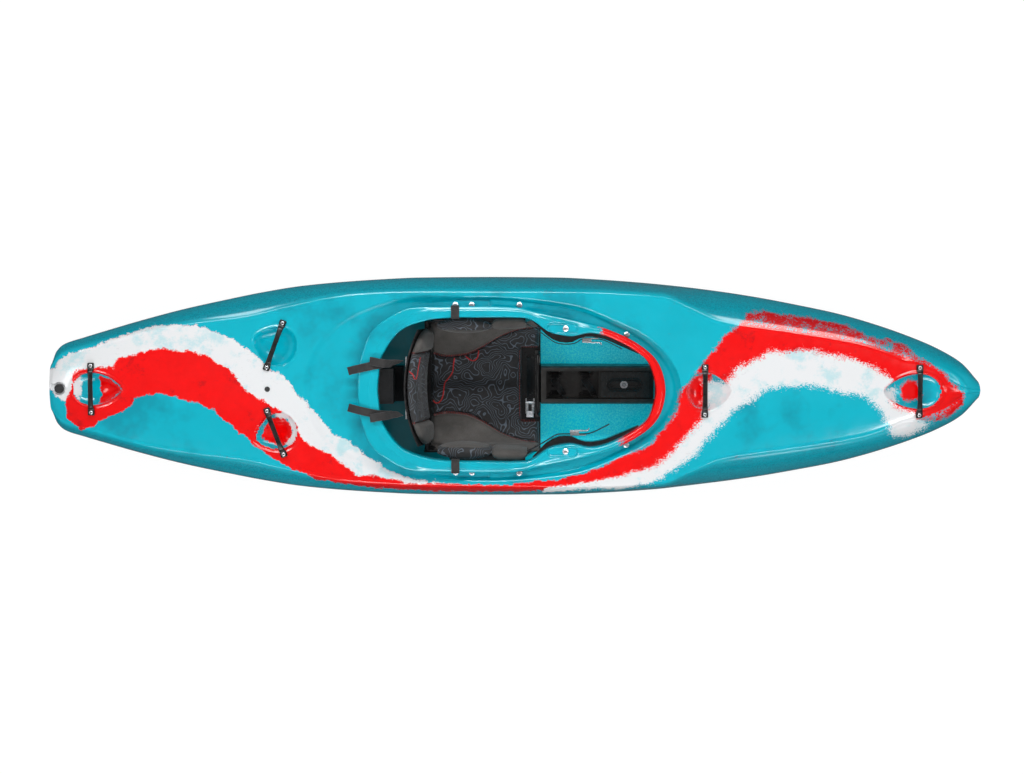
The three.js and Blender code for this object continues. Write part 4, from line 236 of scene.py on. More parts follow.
# Coloured bands in plan: white lies over red, and both stay off the recess around the coaming
STERN_WHITE_PORT_EDGE = [
    (-1341, 58), (-1327, 79), (-1298, 101), (-1217, 127), (-1153, 154), (-1099, 170),
    (-1046, 186), (-922, 189), (-869, 170), (-826, 149), (-783, 122), (-756, 103), (-724, 79),
    (-700, 58), (-670, 40), (-643, 9), (-616, -28), (-592, -54), (-557, -94), (-522, -134),
    (-478, -159), (-443, -184), (-418, -199), (-383, -219), (-343, -234), (-293, -251),
    (-218, -261), (-143, -266), (-43, -263), (57, -253), (141, -246),
]
STERN_WHITE_RED_EDGE = [
    (7, -263), (-93, -271), (-193, -276), (-293, -281), (-393, -263), (-463, -253), (-493, -224),
    (-542, -189), (-602, -164), (-627, -114), (-649, -82), (-681, -63), (-708, -44), (-756, -17),
    (-788, 9), (-831, 63), (-895, 101), (-949, 111), (-997, 119), (-1024, 122), (-1099, 103),
    (-1142, 95), (-1164, 66), (-1228, 58), (-1271, 58), (-1287, 36), (-1287, 9), (-1298, -12),
    (-1308, -34), (-1335, -23), (-1370, 10), (-1370, 58),
]
STERN_RED_STARBOARD_EDGE = [
    (7, -303), (-193, -306), (-343, -303), (-443, -293), (-577, -268), (-602, -251),
    (-642, -244), (-702, -202), (-756, -168), (-788, -135), (-804, -125), (-831, -98),
    (-869, -60), (-938, -34), (-992, -17), (-1024, -7), (-1099, -25), (-1115, -44), (-1164, -76),
    (-1206, -93), (-1228, -111), (-1265, -122), (-1303, -87), (-1308, -34), (-1335, -23),
]
BOW_RED_PORT_EDGE = [
    (300, -200), (420, -120), (470, -40), (490, -4), (508, 13), (536, 57), (553, 83), (588, 117),
    (606, 148), (649, 183), (679, 204), (684, 222), (723, 226), (791, 218), (881, 203),
    (972, 185), (1032, 155), (1092, 149), (1140, 131), (1182, 95), (1230, 65), (1272, 23),
    (1302, -4), (1302, -37), (1260, -79), (1218, -91),
]
BOW_WHITE_MIDDLE = [
    (1170, -100), (1110, -100), (1090, -60), (1060, 0), (1000, 40), (920, 60), (840, 60),
    (760, 60), (700, 40), (640, 0), (590, -60), (540, -130), (500, -180), (450, -225),
    (390, -250), (270, -275), (97, -296),
]
BOW_WHITE_PORT_EDGE = [
    (97, -289), (184, -275), (271, -258), (358, -237), (401, -227), (445, -202), (475, -167),
    (514, -130), (553, -74), (588, -9), (634, 39), (662, 70), (697, 87), (723, 100), (740, 117),
    (791, 110), (839, 119), (923, 107), (972, 98), (1020, 77), (1068, 59), (1098, 29), (1083, 5),
    (1104, -43), (1152, -58), (1176, -79), (1218, -91),
]
BOW_WHITE_STARBOARD_EDGE = [
    (1206, -109), (1152, -134), (1110, -134), (1092, -109), (1080, -79), (1056, -49), (1026, -19),
    (984, -10), (936, -1), (887, 17), (803, 17), (743, 11), (695, -25), (653, -49), (629, -73),
    (581, -128), (532, -187), (480, -226), (419, -265), (340, -287), (184, -300), (97, -304),
]
WHITE_BANDS = [
    STERN_WHITE_PORT_EDGE + STERN_WHITE_RED_EDGE,
    BOW_WHITE_PORT_EDGE + BOW_WHITE_STARBOARD_EDGE,
]
RED_BAND = (
    STERN_WHITE_PORT_EDGE + BOW_RED_PORT_EDGE + BOW_WHITE_MIDDLE + STERN_RED_STARBOARD_EDGE
    + [(-1370, 10), (-1370, 58)]
)
RIM_RED_START = 294
RIM_RED_LEAN = 0.2115


# Curves and outlines
def curve_through(shares):
    """Smooth curve through a table, level where the table turns."""
    x, y = np.array(shares, float).T
    slope = np.diff(y) / np.diff(x)
    before, after = slope[:-1], slope[1:]
    turns = before * after <= 0
    total = np.where(turns, 1, before + after)
    middle = np.where(turns, 0, 2 * before * after / total)
    tangent = np.concatenate([slope[:1], middle, slope[-1:]])

    def at(where):
        where = np.asarray(where, float)
        i = np.clip(np.searchsorted(x, where) - 1, 0, len(x) - 2)
        span = x[i + 1] - x[i]
        t = np.clip((where - x[i]) / span, 0, 1)
        rise = t * t * (3 - 2 * t)
        leave = t * (1 - t) ** 2 * span * tangent[i]
        arrive = t * t * (t - 1) * span * tangent[i + 1]
        return y[i] * (1 - rise) + y[i + 1] * rise + leave + arrive

    return at


beam_share = curve_through(BEAM_SHARES)
keel_share = curve_through(KEEL_SHARES)
waist_share = curve_through(WAIST_SHARES)
deck_share = curve_through(DECK_SHARES)
crease_share = curve_through(CREASE_SHARES)
shoulder_share = curve_through(SHOULDER_SHARES)
flat_share = curve_through(FLAT_SHARES)
rim_share = curve_through(RIM_SHARES)
moat_floor_share = curve_through(MOAT_FLOOR_SHARES)
opening_share = curve_through(OPENING_SHARES)


def station_at(x):
    return np.asarray(x, float) / LENGTH + 0.5


def rim_top(x):
    return rim_share(station_at(x)) * DEPTH


def moat_floor(x):
    return moat_floor_share(station_at(x)) * DEPTH


def opening_half(x):
    return opening_share((np.asarray(x, float) - OPENING_REAR) / OPENING_LENGTH) * OPENING_WIDTH / 2


def knots(points, closed):
    """Each point with its neighbours, for a curve that passes through them all."""
    p = np.array(points, float)
    if closed:
        return np.roll(p, 1, 0), p, np.roll(p, -1, 0), np.roll(p, -2, 0)
    ends = np.vstack([2 * p[0] - p[1], p, 2 * p[-1] - p[-2]])
    return ends[:-3], ends[1:-2], ends[2:-1], ends[3:]


def curve_points(points, steps, closed=False):
    """Rounded curve through points, with even steps between each two of them."""
    p0, p1, p2, p3 = knots(points, closed)
    spans = ((p0, p1), (p1, p2), (p2, p3))
    reach = [np.sqrt(np.linalg.norm(b - a, axis=1))[:, None] for a, b in spans]
    d0, d1, d2 = [np.maximum(r, 1e-4) for r in reach]
    t1 = ((p1 - p0) / d0 - (p2 - p0) / (d0 + d1) + (p2 - p1) / d1) * d1
    t2 = ((p2 - p1) / d1 - (p3 - p1) / (d1 + d2) + (p3 - p2) / d2) * d1
    t = (np.arange(steps) / steps)[None, :, None]
    c2 = -3 * p1 + 3 * p2 - 2 * t1 - t2
    c3 = 2 * p1 - 2 * p2 + t1 + t2
    path = p1[:, None] + t1[:, None] * t + c2[:, None] * t**2 + c3[:, None] * t**3
    path = path.reshape(-1, p1.shape[1])
    return path if closed else np.vstack([path, np.array(points[-1], float)])


def unit(rows):
    """Directions brought to a length of one."""
    return rows / np.linalg.norm(rows, axis=1)[:, None]


def whole_turn(count):
    """Angles of points spaced evenly round a circle."""
    return np.linspace(0, math.tau, count, endpoint=False)


def raised(value, power):
    """Power of a value that keeps its sign."""
    return np.sign(value) * np.abs(value) ** power


def run_along(path):
    """Distance from the start of an open path to each of its points."""
    return np.concatenate([[0], np.cumsum(np.linalg.norm(np.diff(path, axis=0), axis=1))])


def evenly_along(path, count):
    """Points at equal distances along an open path."""
    run = run_along(path)
    at = np.linspace(0, run[-1], count)
    return np.stack([np.interp(at, run, path[:, k]) for k in range(path.shape[1])], 1)


def path_length(path):
    return float(np.linalg.norm(np.diff(path, axis=0), axis=1).sum())


def outline_half(shares, rear, length, width, steps=24):
    """Port half of a mirrored plan outline, from the rear to the front."""
    half = [(rear + x * length, y * width / 2) for x, y in shares]
    both = half + [(x, -y) for x, y in half[-2:0:-1]]
    return curve_points(both, steps, closed=True)[: (len(half) - 1) * steps + 1]


def whole_outline(side):
    return np.vstack([side, side[-2:0:-1] * [1, -1]])


opening_side = outline_half(OPENING_SHARES, OPENING_REAR, OPENING_LENGTH, OPENING_WIDTH)
rim_side = outline_half(RIM_OUTLINE_SHARES, RIM_REAR, RIM_LENGTH, RIM_WIDTH)
moat_side = outline_half(MOAT_OUTLINE_SHARES, MOAT_REAR, MOAT_LENGTH, MOAT_WIDTH)


def outline_gap(outline, x, y):
    """Distance from a closed outline in plan, above zero outside it."""
    px, py = np.ravel(x), np.ravel(y)
    nearest = np.full(px.shape, 1e9)
    inside = np.zeros(px.shape, bool)
    a = np.array(outline, float)
    b = np.roll(a, -1, 0)
    for (ax, ay), (bx, by) in zip(a, b):
        ex, ey = bx - ax, by - ay
        size = max(ex * ex + ey * ey, 1e-9)
        t = np.clip(((px - ax) * ex + (py - ay) * ey) / size, 0, 1)
        far = (px - ax - t * ex) ** 2 + (py - ay - t * ey) ** 2
        nearest = np.minimum(nearest, far)
        if ay != by:
            spans = (ay > py) != (by > py)
            inside ^= spans & (px < ax + (py - ay) * ex / ey)
    gap = np.sqrt(nearest)
    return np.where(inside, -gap, gap).reshape(np.shape(x))


def ease(value, low, high):
    t = np.clip((value - low) / (high - low), 0, 1)
    return t * t * (3 - 2 * t)


def blended_low(a, b, reach):
    """Lower of two heights, with the corner between them rounded."""
    h = np.maximum(reach - np.abs(a - b), 0) / reach
    return np.minimum(a, b) - h * h * reach / 4


# Hull sections
def section_at(station, inset):
    half = beam_share(station) * BEAM / 2 - inset
    shoulder = shoulder_share(station) * BEAM / 2 - inset / 2
    flat = flat_share(station) * (half + inset)
    return {
        "half": half,
        "flat": np.minimum(flat, half * 0.6),
        "keel": keel_share(station) * DEPTH + inset,
        "waist": waist_share(station) * DEPTH,
        "crease": crease_share(station) * DEPTH - inset,
        "deck": deck_share(station) * DEPTH - inset,
        "shoulder": np.minimum(np.maximum(shoulder, WALL / 4), half * 0.96),
    }


def section_rings(station, inset, lower_steps, upper_steps, deck_steps):
    """Closed rings of the hull, one for each station, with the count of points below the waist."""
    s = {key: value[:, None] for key, value in section_at(station, inset).items()}
    low = np.linspace(0, math.pi / 2, lower_steps + 1)[None]
    high = np.linspace(0, math.pi / 2, upper_steps + 1)[None, 1:]
    out = (1 - np.arange(1, deck_steps + 1) / deck_steps)[None]
    bilge, side = 2 / HULL_POWER, 2 / SIDE_POWER
    y = np.concatenate([
        s["flat"] * np.array([[0, 0.35, 0.7]]),
        s["flat"] + (s["half"] - s["flat"]) * np.sin(low) ** bilge,
        s["shoulder"] + (s["half"] - s["shoulder"]) * np.clip(np.cos(high), 0, 1) ** side,
        s["shoulder"] * out,
    ], 1)
    z = np.concatenate([
        np.repeat(s["keel"], 3, 1),
        s["waist"] - (s["waist"] - s["keel"]) * np.clip(np.cos(low), 0, 1) ** bilge,
        s["waist"] + (s["crease"] - s["waist"]) * np.sin(high) ** side,
        s["crease"] + (s["deck"] - s["crease"]) * (1 - out**2),
    ], 1)
    x = np.repeat(((station - 0.5) * LENGTH)[:, None], y.shape[1], 1)
    half = np.stack([x, y, z], 2)
    other = half[:, -2:0:-1] * [1, -1, 1]
    return np.concatenate([half, other], 1), lower_steps + 4


def deck_height(x, y):
    s = section_at(station_at(x), 0)
    across = np.abs(y)
    out = across / s["shoulder"]
    top = s["crease"] + (s["deck"] - s["crease"]) * (1 - out**2)
    side = np.clip((across - s["shoulder"]) / (s["half"] - s["shoulder"]), 0, 1)
    fall = s["waist"] + (s["crease"] - s["waist"]) * (1 - side**SIDE_POWER) ** (1 / SIDE_POWER)
    return np.where(out <= 1, top, fall)


# Forms pressed into the deck
# Bowls: rear end, length and width, distance from the middle, turn, way that the broad end lies
BOWLS = [
    (STERN_HANDLE_X - 56, END_BOWL, 0, 0, 1),
    (BOW_HANDLE_X - 103, BOW_BOWL, 0, 0, -1),
    (CENTRE_BOWL_REAR, MID_BOWL, 0, 0, 1),
    (REAR_HANDLE_X - MID_BOWL[0] / 2, MID_BOWL, REAR_HANDLE_Y, -REAR_HANDLE_TURN, -1),
    (REAR_HANDLE_X - MID_BOWL[0] / 2, MID_BOWL, -REAR_HANDLE_Y, REAR_HANDLE_TURN, -1),
]
BOWL_LIP = 2.2
CRESCENT_X = -200
CRESCENT_SIZE = (406, 275)
CRESCENT_DROP = 8
CRESCENT_RAMP = 17
BEAD_HEIGHT = 3.0
BEAD_WIDTH = 4.5
NOSE_BEAD = [
    (1100, 92), (1160, 87), (1200, 80), (1238, 70), (1270, 55), (1296, 35), (1310, 15), (1316, 0),
]
GROOVE_DEPTH = 5
PAD_RISE = 1.5
FLOOR_CORNER = 3


def bowl_place(x, y, bowl):
    """Distances along and across a bowl from its middle, and the share of its reach."""
    rear, (length, width), centre_y, turn, ahead = bowl
    side = outline_half(BOWL_SHARES, -length / 2, length, width)
    outline = whole_outline(side) * [ahead, 1]
    angle = np.arctan2(outline[:, 1], outline[:, 0])
    order = np.argsort(angle)
    radius = np.hypot(outline[:, 0], outline[:, 1])[order]
    px, py = x - rear - length / 2, y - centre_y
    along = px * math.cos(turn) + py * math.sin(turn)
    across = -px * math.sin(turn) + py * math.cos(turn)
    reach = np.interp(np.arctan2(across, along), angle[order], radius, period=2 * math.pi)
    return along, across, np.hypot(along, across) / reach


def bowl_drop(x, y):
    """Depth of the finger bowls below the deck, with a low lip around each."""
    drop = np.zeros(np.shape(x))
    for bowl in BOWLS:
        share = bowl_place(x, y, bowl)[2]
        drop += BOWL_DEPTH * (1 - np.clip(share, 0, 1) ** 2.3) ** 0.75
        drop -= BOWL_LIP * np.exp(-(((share - 1.06) / 0.06) ** 2))
    return drop


def crescent_drop(x, y):
    """Shallow dish in the deck behind the coaming."""
    across = np.abs(y) / CRESCENT_SIZE[1]
    along = np.abs(x - CRESCENT_X) / CRESCENT_SIZE[0]
    share = (along**2.2 + across**2.2) ** (1 / 2.2)
    edge = (share - 1) * np.hypot(x - CRESCENT_X, y)
    ramp = np.logaddexp(0, (edge + CRESCENT_RAMP) / 1.5) - np.logaddexp(0, edge / 1.5)
    return CRESCENT_DROP * (1 - ramp * 1.5 / CRESCENT_RAMP) * ease(-x, 60, 200)


def shoulder_bead(x, y):
    """Low bead along the deck crease, fore and aft of the coaming."""
    shoulder = section_at(station_at(x), 0)["shoulder"]
    aft = ease(-x, 470, 540) * (1 - ease(-x, 1240, 1290))
    ahead = ease(x, 330, 420) * (1 - ease(x, 1110, 1150))
    bead = np.exp(-(((np.abs(y) - shoulder) / BEAD_WIDTH) ** 2)) * (aft + ahead)
    nose = NOSE_BEAD + [(x, -y) for x, y in NOSE_BEAD[-2::-1]]
    front = x > NOSE_BEAD[0][0]
    gap = outline_gap(nose, x[front], y[front])
    bead[front] += np.exp(-((gap / BEAD_WIDTH) ** 2)) * ease(x[front], 1110, 1150)
    return BEAD_HEIGHT * bead


def moat_surface(x, gap):
    """Recess around the coaming: floor, its groove and pads, and the slope up to the deck."""
    across = (gap + MOAT_SLOPE) * MOAT_RISE / MOAT_SLOPE
    rise = np.logaddexp(0, np.clip(across / FLOOR_CORNER, -40, 40)) * FLOOR_CORNER
    groove = np.clip((13 - np.abs(gap + MOAT_SLOPE + 13)) / 3, 0, 1)
    span = ease(x, -330, -270) * (1 - ease(x, -66, -60))
    pads = np.clip((x + 54) / 3, 0, 1) * np.clip((10 - x) / 3, 0, 1)
    pads = pads + np.clip((x - 45) / 3, 0, 1) * np.clip((176 - x) / 8, 0, 1)
    plate = np.clip((7 - np.abs(gap + MOAT_SLOPE + 12)) / 2, 0, 1)
    steep = 3 * MOAT_RISE / MOAT_SLOPE * np.clip(gap, 0, None)
    return moat_floor(x) + rise + steep - GROOVE_DEPTH * groove * span + PAD_RISE * pads * plate


def carved_deck(x, y, base):
    """Deck height after every pressed form."""
    z = base - bowl_drop(x, y) - crescent_drop(x, y) + shoulder_bead(x, y)
    near = (x > MOAT_REAR - 30) & (x < MOAT_FRONT + 30) & (np.abs(y) < MOAT_WIDTH / 2 + 40)
    gap = outline_gap(whole_outline(moat_side)[::3], x[near], y[near])
    z[near] = blended_low(z[near], moat_surface(x[near], gap), 6)
    well = ease(PLUG_RECESS_RADIUS - np.hypot(x - PLUG_X, y), -2, 1.5)
    channel = ease(PLUG_CHANNEL_HALF - np.abs(y), -2, 1.5) * (x < PLUG_X)
    channel = channel * ease(x + LENGTH / 2, 3, 10)
    return z - PLUG_RECESS_DEPTH * np.maximum(well, channel)


# Meshes
def grid_faces(rows, columns):
    """Quads between closed rings of points."""
    i, j = np.meshgrid(np.arange(rows - 1) * columns, np.arange(columns), indexing="ij")
    k = (j + 1) % columns
    return np.stack([i + j, i + k, i + columns + k, i + columns + j], 2).reshape(-1, 4)


def linked(name, mesh):
    """Object for a mesh, added to the scene."""
    piece = bpy.data.objects.new(name, mesh)
    bpy.context.collection.objects.link(piece)
    return piece


def new_piece(name, points, faces, material, sharp=40):
    """Mesh object from millimetre points, smooth but for its sharp edges, facing outwards."""
    mesh = bpy.data.meshes.new(name)
    mesh.from_pydata((np.asarray(points) * MM).tolist(), [], faces)
    piece = linked(name, mesh)
    face_outwards(mesh)
    finish_surface(piece, material, sharp)
    return piece


def face_outwards(mesh):
    work = bmesh.new()
    work.from_mesh(mesh)
    bmesh.ops.remove_doubles(work, verts=work.verts, dist=1e-6)
    bmesh.ops.recalc_face_normals(work, faces=work.faces)
    work.to_mesh(mesh)
    work.free()


def finish_surface(piece, material, sharp):
    mesh = piece.data
    mesh.shade_smooth()
    mesh.set_sharp_from_angle(angle=math.radians(sharp))
    mesh.materials.clear()
    mesh.materials.append(material)
    mesh.update()


def add_values(piece, name, values):
    """Number on each point of a piece, for its material to read."""
    layer = piece.data.attributes.new(name, "FLOAT", "POINT")
    layer.data.foreach_set("value", np.asarray(values, np.float32))


def points_of(piece):
    """Points of a piece in millimetres."""
    flat = np.empty(len(piece.data.vertices) * 3)
    piece.data.vertices.foreach_get("co", flat)
    return flat.reshape(-1, 3) / MM


def lofted(name, rings, material, sharp=40):
    """Closed piece through rings of points, capped at both ends."""
    rings = np.asarray(rings, float)
    rows, columns = rings.shape[:2]
    last = (rows - 1) * columns
    caps = [list(range(columns))[::-1], list(range(last, last + columns))]
    faces = grid_faces(rows, columns).tolist() + caps
    return new_piece(name, rings.reshape(-1, 3), faces, material, sharp)


def joined(name, pieces):
    """One piece from several, with the materials of all."""
    work = bmesh.new()
    materials = []
    for piece in pieces:
        start = len(work.faces)
        work.from_mesh(piece.data)
        work.faces.ensure_lookup_table()
        if piece.data.materials[0] not in materials:
            materials.append(piece.data.materials[0])
        for face in work.faces[start:]:
            face.material_index = materials.index(piece.data.materials[0])
    mesh = bpy.data.meshes.new(name)
    work.to_mesh(mesh)
    work.free()
    for material in materials:
        mesh.materials.append(material)
    for piece in pieces:
        bpy.data.objects.remove(piece)
    return linked(name, mesh)


def moved(piece, matrix):
    piece.data.transform(matrix)
    return piece


def carried(piece, body, slot, *nodes):
    """A piece rides on its body and stands for its nodes; its slot is not used."""
    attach(piece, body)
    if nodes:
        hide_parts(*nodes)
    return piece


# Materials
def paint(red, green, blue):
    """Colour written as a screen shows it, 0 to 255, in linear light."""
    levels = [c / 255 for c in (red, green, blue)]
    return tuple(c / 12.92 if c < 0.04045 else ((c + 0.055) / 1.055) ** 2.4 for c in levels) + (1,)


class Nodes:
    """Nodes of one material or group, wired as they are made."""

    def __init__(self, tree):
        self.tree = tree

    def feed(self, socket, value):
        if isinstance(value, bpy.types.NodeSocket):
            self.tree.links.new(value, socket)
        else:
            socket.default_value = value

    def add(self, kind, feeds=(), **settings):
        node = self.tree.nodes.new(kind)
        for name, value in settings.items():
            setattr(node, name, value)
        for key, value in dict(feeds).items():
            self.feed(node.inputs[key], value)
        return node

    def maths(self, operation, a, b=0.0, clamp=False):
        node = self.add("ShaderNodeMath", {0: a, 1: b}, operation=operation, use_clamp=clamp)
        return node.outputs[0]

    def spread(self, value, low, high, to_low=0.0, to_high=1.0):
        """A value carried from one range to another, eased at both ends."""
        feeds = {0: value, 1: low, 2: high, 3: to_low, 4: to_high}
        return self.add("ShaderNodeMapRange", feeds, interpolation_type="SMOOTHSTEP").outputs[0]

    def mix(self, share, first, second):
        node = self.add("ShaderNodeMix", {0: share, 6: first, 7: second}, data_type="RGBA")
        return node.outputs[2]

    def noise(self, vector, scale, detail=3.0, roughness=0.5):
        feeds = {"Vector": vector, "Scale": scale, "Detail": detail, "Roughness": roughness}
        return self.add("ShaderNodeTexNoise", feeds).outputs["Fac"]

    def cells(self, scale):
        """Distance from the middle of each cell in a pattern of cells."""
        feeds = {"Vector": self.place(), "Scale": scale}
        return self.add("ShaderNodeTexVoronoi", feeds).outputs["Distance"]

    def place(self):
        return self.add("ShaderNodeTexCoord").outputs["Object"]

    def ahead(self):
        """Distance towards the bow, in metres."""
        return self.add("ShaderNodeSeparateXYZ", {0: self.place()}).outputs["X"]

    def value_of(self, name):
        return self.add("ShaderNodeAttribute", attribute_name=name).outputs["Fac"]

    def effect(self, group, feeds, output=0):
        node = self.add("ShaderNodeGroup", node_tree=group)
        for key, value in feeds.items():
            self.feed(node.inputs[key], value)
        return node.outputs[output]


def new_effect(name, inputs, outputs):
    """Empty group with named sockets: its nodes, its inputs and a call that sets an output."""
    group = bpy.data.node_groups.new(name, "ShaderNodeTree")
    for key, kind in inputs.items():
        group.interface.new_socket(key, in_out="INPUT", socket_type=kind)
    for key, kind in outputs.items():
        group.interface.new_socket(key, in_out="OUTPUT", socket_type=kind)
    nodes = Nodes(group)
    enter = group.nodes.new("NodeGroupInput")
    leave = group.nodes.new("NodeGroupOutput")
    return group, nodes, enter.outputs, lambda key, value: nodes.feed(leave.inputs[key], value)


FLOAT = "NodeSocketFloat"
VECTOR = "NodeSocketVector"
COLOUR = "NodeSocketColor"


def make_ragged_edge():
    """Torn edge of a colour poured into the mould: a distance in millimetres in, a mask out."""
    inputs = {"Vector": VECTOR, "Inside": FLOAT, "Wander": FLOAT, "Spray": FLOAT, "Softness": FLOAT}
    group, n, given, put = new_effect("ragged_edge", inputs, {"Mask": FLOAT})
    broad = n.maths("SUBTRACT", n.noise(given["Vector"], 11.0, 3.0, 0.6), 0.5)
    torn = n.maths("SUBTRACT", n.noise(given["Vector"], 42.0, 5.0, 0.75), 0.5)
    speck = n.maths("SUBTRACT", n.noise(given["Vector"], 260.0, 3.0, 0.8), 0.5)
    wander = n.maths("ADD", n.maths("MULTIPLY", broad, 1.6), n.maths("MULTIPLY", torn, 2.6))
    inside = n.maths("ADD", given["Inside"], n.maths("MULTIPLY", wander, given["Wander"]))
    inside = n.maths("ADD", inside, n.maths("MULTIPLY", speck, given["Spray"]))
    low = n.maths("MULTIPLY", given["Softness"], -1.0)
    put("Mask", n.spread(inside, low, given["Softness"]))
    return group


def make_mottle():
    """Slow change of tone over a surface, as a colour multiplied into another."""
    inputs = {"Vector": VECTOR, "Colour": COLOUR, "Scale": FLOAT, "Amount": FLOAT}
    group, n, given, put = new_effect("mottle", inputs, {"Colour": COLOUR, "Tone": FLOAT})
    tone = n.noise(given["Vector"], given["Scale"], 5.0, 0.6)
    level = n.maths("MULTIPLY", n.maths("SUBTRACT", tone, 0.5), given["Amount"])
    shade = n.maths("ADD", 1.0, level)
    scaled = n.add("ShaderNodeVectorMath", {0: given["Colour"]}, operation="SCALE")
    n.feed(scaled.inputs["Scale"], shade)
    put("Colour", scaled.outputs[0])
    put("Tone", tone)
    return group


def make_moulded_grain():
    """Fine pebbled skin of moulded plastic: a height out."""
    inputs = {"Vector": VECTOR, "Scale": FLOAT}
    group, n, given, put = new_effect("moulded_grain", inputs, {"Height": FLOAT})
    pebble = n.noise(given["Vector"], given["Scale"], 2.0, 0.5)
    ripple = n.noise(given["Vector"], n.maths("MULTIPLY", given["Scale"], 0.12), 2.0, 0.5)
    pebble, ripple = n.maths("MULTIPLY", pebble, 0.6), n.maths("MULTIPLY", ripple, 0.9)
    put("Height", n.maths("ADD", pebble, ripple))
    return group


def make_weave():
    """Crossed threads in a plain weave: height and a thread mask out."""
    inputs = {"Vector": VECTOR, "Threads": FLOAT}
    group, n, given, put = new_effect("weave", inputs, {"Height": FLOAT, "Thread": FLOAT})
    parts = n.add("ShaderNodeSeparateXYZ", {0: given["Vector"]}).outputs
    turn = n.maths("MULTIPLY", given["Threads"], math.tau)
    warp = n.maths("SINE", n.maths("MULTIPLY", parts["X"], turn))
    weft = n.maths("SINE", n.maths("MULTIPLY", n.maths("ADD", parts["Y"], parts["Z"]), turn))
    height = n.maths("MAXIMUM", warp, weft)
    put("Height", height)
    put("Thread", n.spread(height, 0.1, 0.9))
    return group


def make_flow_print():
    """Generic print of thin wandering level lines: a line mask out."""
    inputs = {"Vector": VECTOR, "Scale": FLOAT, "Lines": FLOAT}
    group, n, given, put = new_effect("flow_print", inputs, {"Line": FLOAT})
    field = n.noise(given["Vector"], given["Scale"], 2.6, 0.42)
    step = n.maths("FRACT", n.maths("MULTIPLY", field, given["Lines"]))
    near = n.maths("ABSOLUTE", n.maths("SUBTRACT", step, 0.5))
    put("Line", n.spread(near, 0.14, 0.05))
    return group


def make_edge_wear():
    """Worn, paler edges: a mask out."""
    inputs = {"Vector": VECTOR, "Amount": FLOAT}
    group, n, given, put = new_effect("edge_wear", inputs, {"Mask": FLOAT})
    sharpness = n.add("ShaderNodeNewGeometry").outputs["Pointiness"]
    edge = n.spread(sharpness, 0.52, 0.62)
    patch = n.spread(n.noise(given["Vector"], 60.0, 4.0, 0.7), 0.35, 0.7)
    put("Mask", n.maths("MULTIPLY", n.maths("MULTIPLY", edge, patch), given["Amount"], clamp=True))
    return group


RAGGED_EDGE = make_ragged_edge()
MOTTLE = make_mottle()
MOULDED_GRAIN = make_moulded_grain()
WEAVE = make_weave()
FLOW_PRINT = make_flow_print()
EDGE_WEAR = make_edge_wear()


def new_material(
    name, colour, roughness, metallic=0.0, height=None, strength=0.2, distance=0.0003, glow=None,
    **plain,
):
    """Material whose colour, roughness, relief and glow are functions that add its nodes."""
    material = bpy.data.materials.new(name)
    material.use_nodes = True
    material.node_tree.nodes.clear()
    n = Nodes(material.node_tree)
    shader = n.add("ShaderNodeBsdfPrincipled", {"Metallic": metallic})
    for key, value in plain.items():
        shader.inputs[key.replace("_", " ")].default_value = value
    n.feed(shader.inputs["Base Color"], colour(n) if callable(colour) else colour)
    n.feed(shader.inputs["Roughness"], roughness(n) if callable(roughness) else roughness)
    if glow:
        n.feed(shader.inputs["Emission Color"], glow(n))
        shader.inputs["Emission Strength"].default_value = 1.0
    if height:
        feeds = {"Height": height(n), "Strength": strength, "Distance": distance}
        n.feed(shader.inputs["Normal"], n.add("ShaderNodeBump", feeds).outputs[0])
    n.add("ShaderNodeOutputMaterial", {"Surface": shader.outputs[0]})
    return material


TURQUOISE = paint(0, 184, 205)
DEEP_TURQUOISE = paint(0, 136, 158)
# Painted shade: darker turquoise for the sides and the lower hull
SHADED_SIDE_TURQUOISE = paint(0, 160, 180)
SIDE_SPECK = paint(0, 104, 122)
BAND_RED = paint(250, 0, 2)
# Deep red of random blots, and painted shade on the sides and the lower hull
DEEP_RED_AND_SHADE = paint(168, 10, 22)
BAND_WHITE = paint(238, 240, 242)
MILKY = paint(188, 228, 234)
LINING = paint(0, 214, 232)
PALE_LINING = paint(90, 244, 250)
# Painted shade: darker lining towards the stern
LINING_PAINTED_SHADE = paint(0, 84, 94)
# Painted light: colour of the glow on the inside of the hull
LINING_PAINTED_LIGHT = paint(0, 128, 140)
FLECK = paint(84, 34, 62)


def toned(n, colour, scale, amount):
    """Colour with a slow change of tone."""
    feeds = {"Vector": n.place(), "Colour": colour, "Scale": scale, "Amount": amount}
    return n.effect(MOTTLE, feeds)


def shell_base(n):
    """Turquoise of the deck, its sides and lower hull in darker speckled turquoise as painted
    shade, and its lining.
    """
    deep = n.spread(n.noise(n.place(), 5.0, 4.0, 0.65), 0.48, 0.68, 0.0, 0.6)
    base = n.mix(deep, toned(n, TURQUOISE, 9.0, 0.25), DEEP_TURQUOISE)
    speckle = n.spread(n.noise(n.place(), 230.0, 4.0, 0.8), 0.44, 0.62)
    # Painted shade: outboard of the crease and low on the hull the turquoise is darker, with dark
    # speckle
    shaded = n.mix(n.maths("MULTIPLY", speckle, 0.6), SHADED_SIDE_TURQUOISE, SIDE_SPECK)
    base = n.mix(n.value_of("side_shade"), base, shaded)
    lining = n.mix(speckle, LINING, PALE_LINING)
    # Painted shade: the lining darkens towards the stern
    lining = n.mix(n.spread(n.ahead(), -0.3, 0.0), LINING_PAINTED_SHADE, lining)
    return n.mix(n.value_of("lining"), base, lining)


def poured_edge(n, inside, wander, softness, stern_spray, bow_spray):
    """Mask of a poured band, its edge more sprayed towards the bow."""
    spray = n.spread(n.ahead(), 0.15, 0.5, stern_spray, bow_spray)
    return n.effect(RAGGED_EDGE, {
        "Vector": n.place(), "Inside": n.value_of(inside), "Wander": wander, "Softness": softness,
        "Spray": spray,
    })


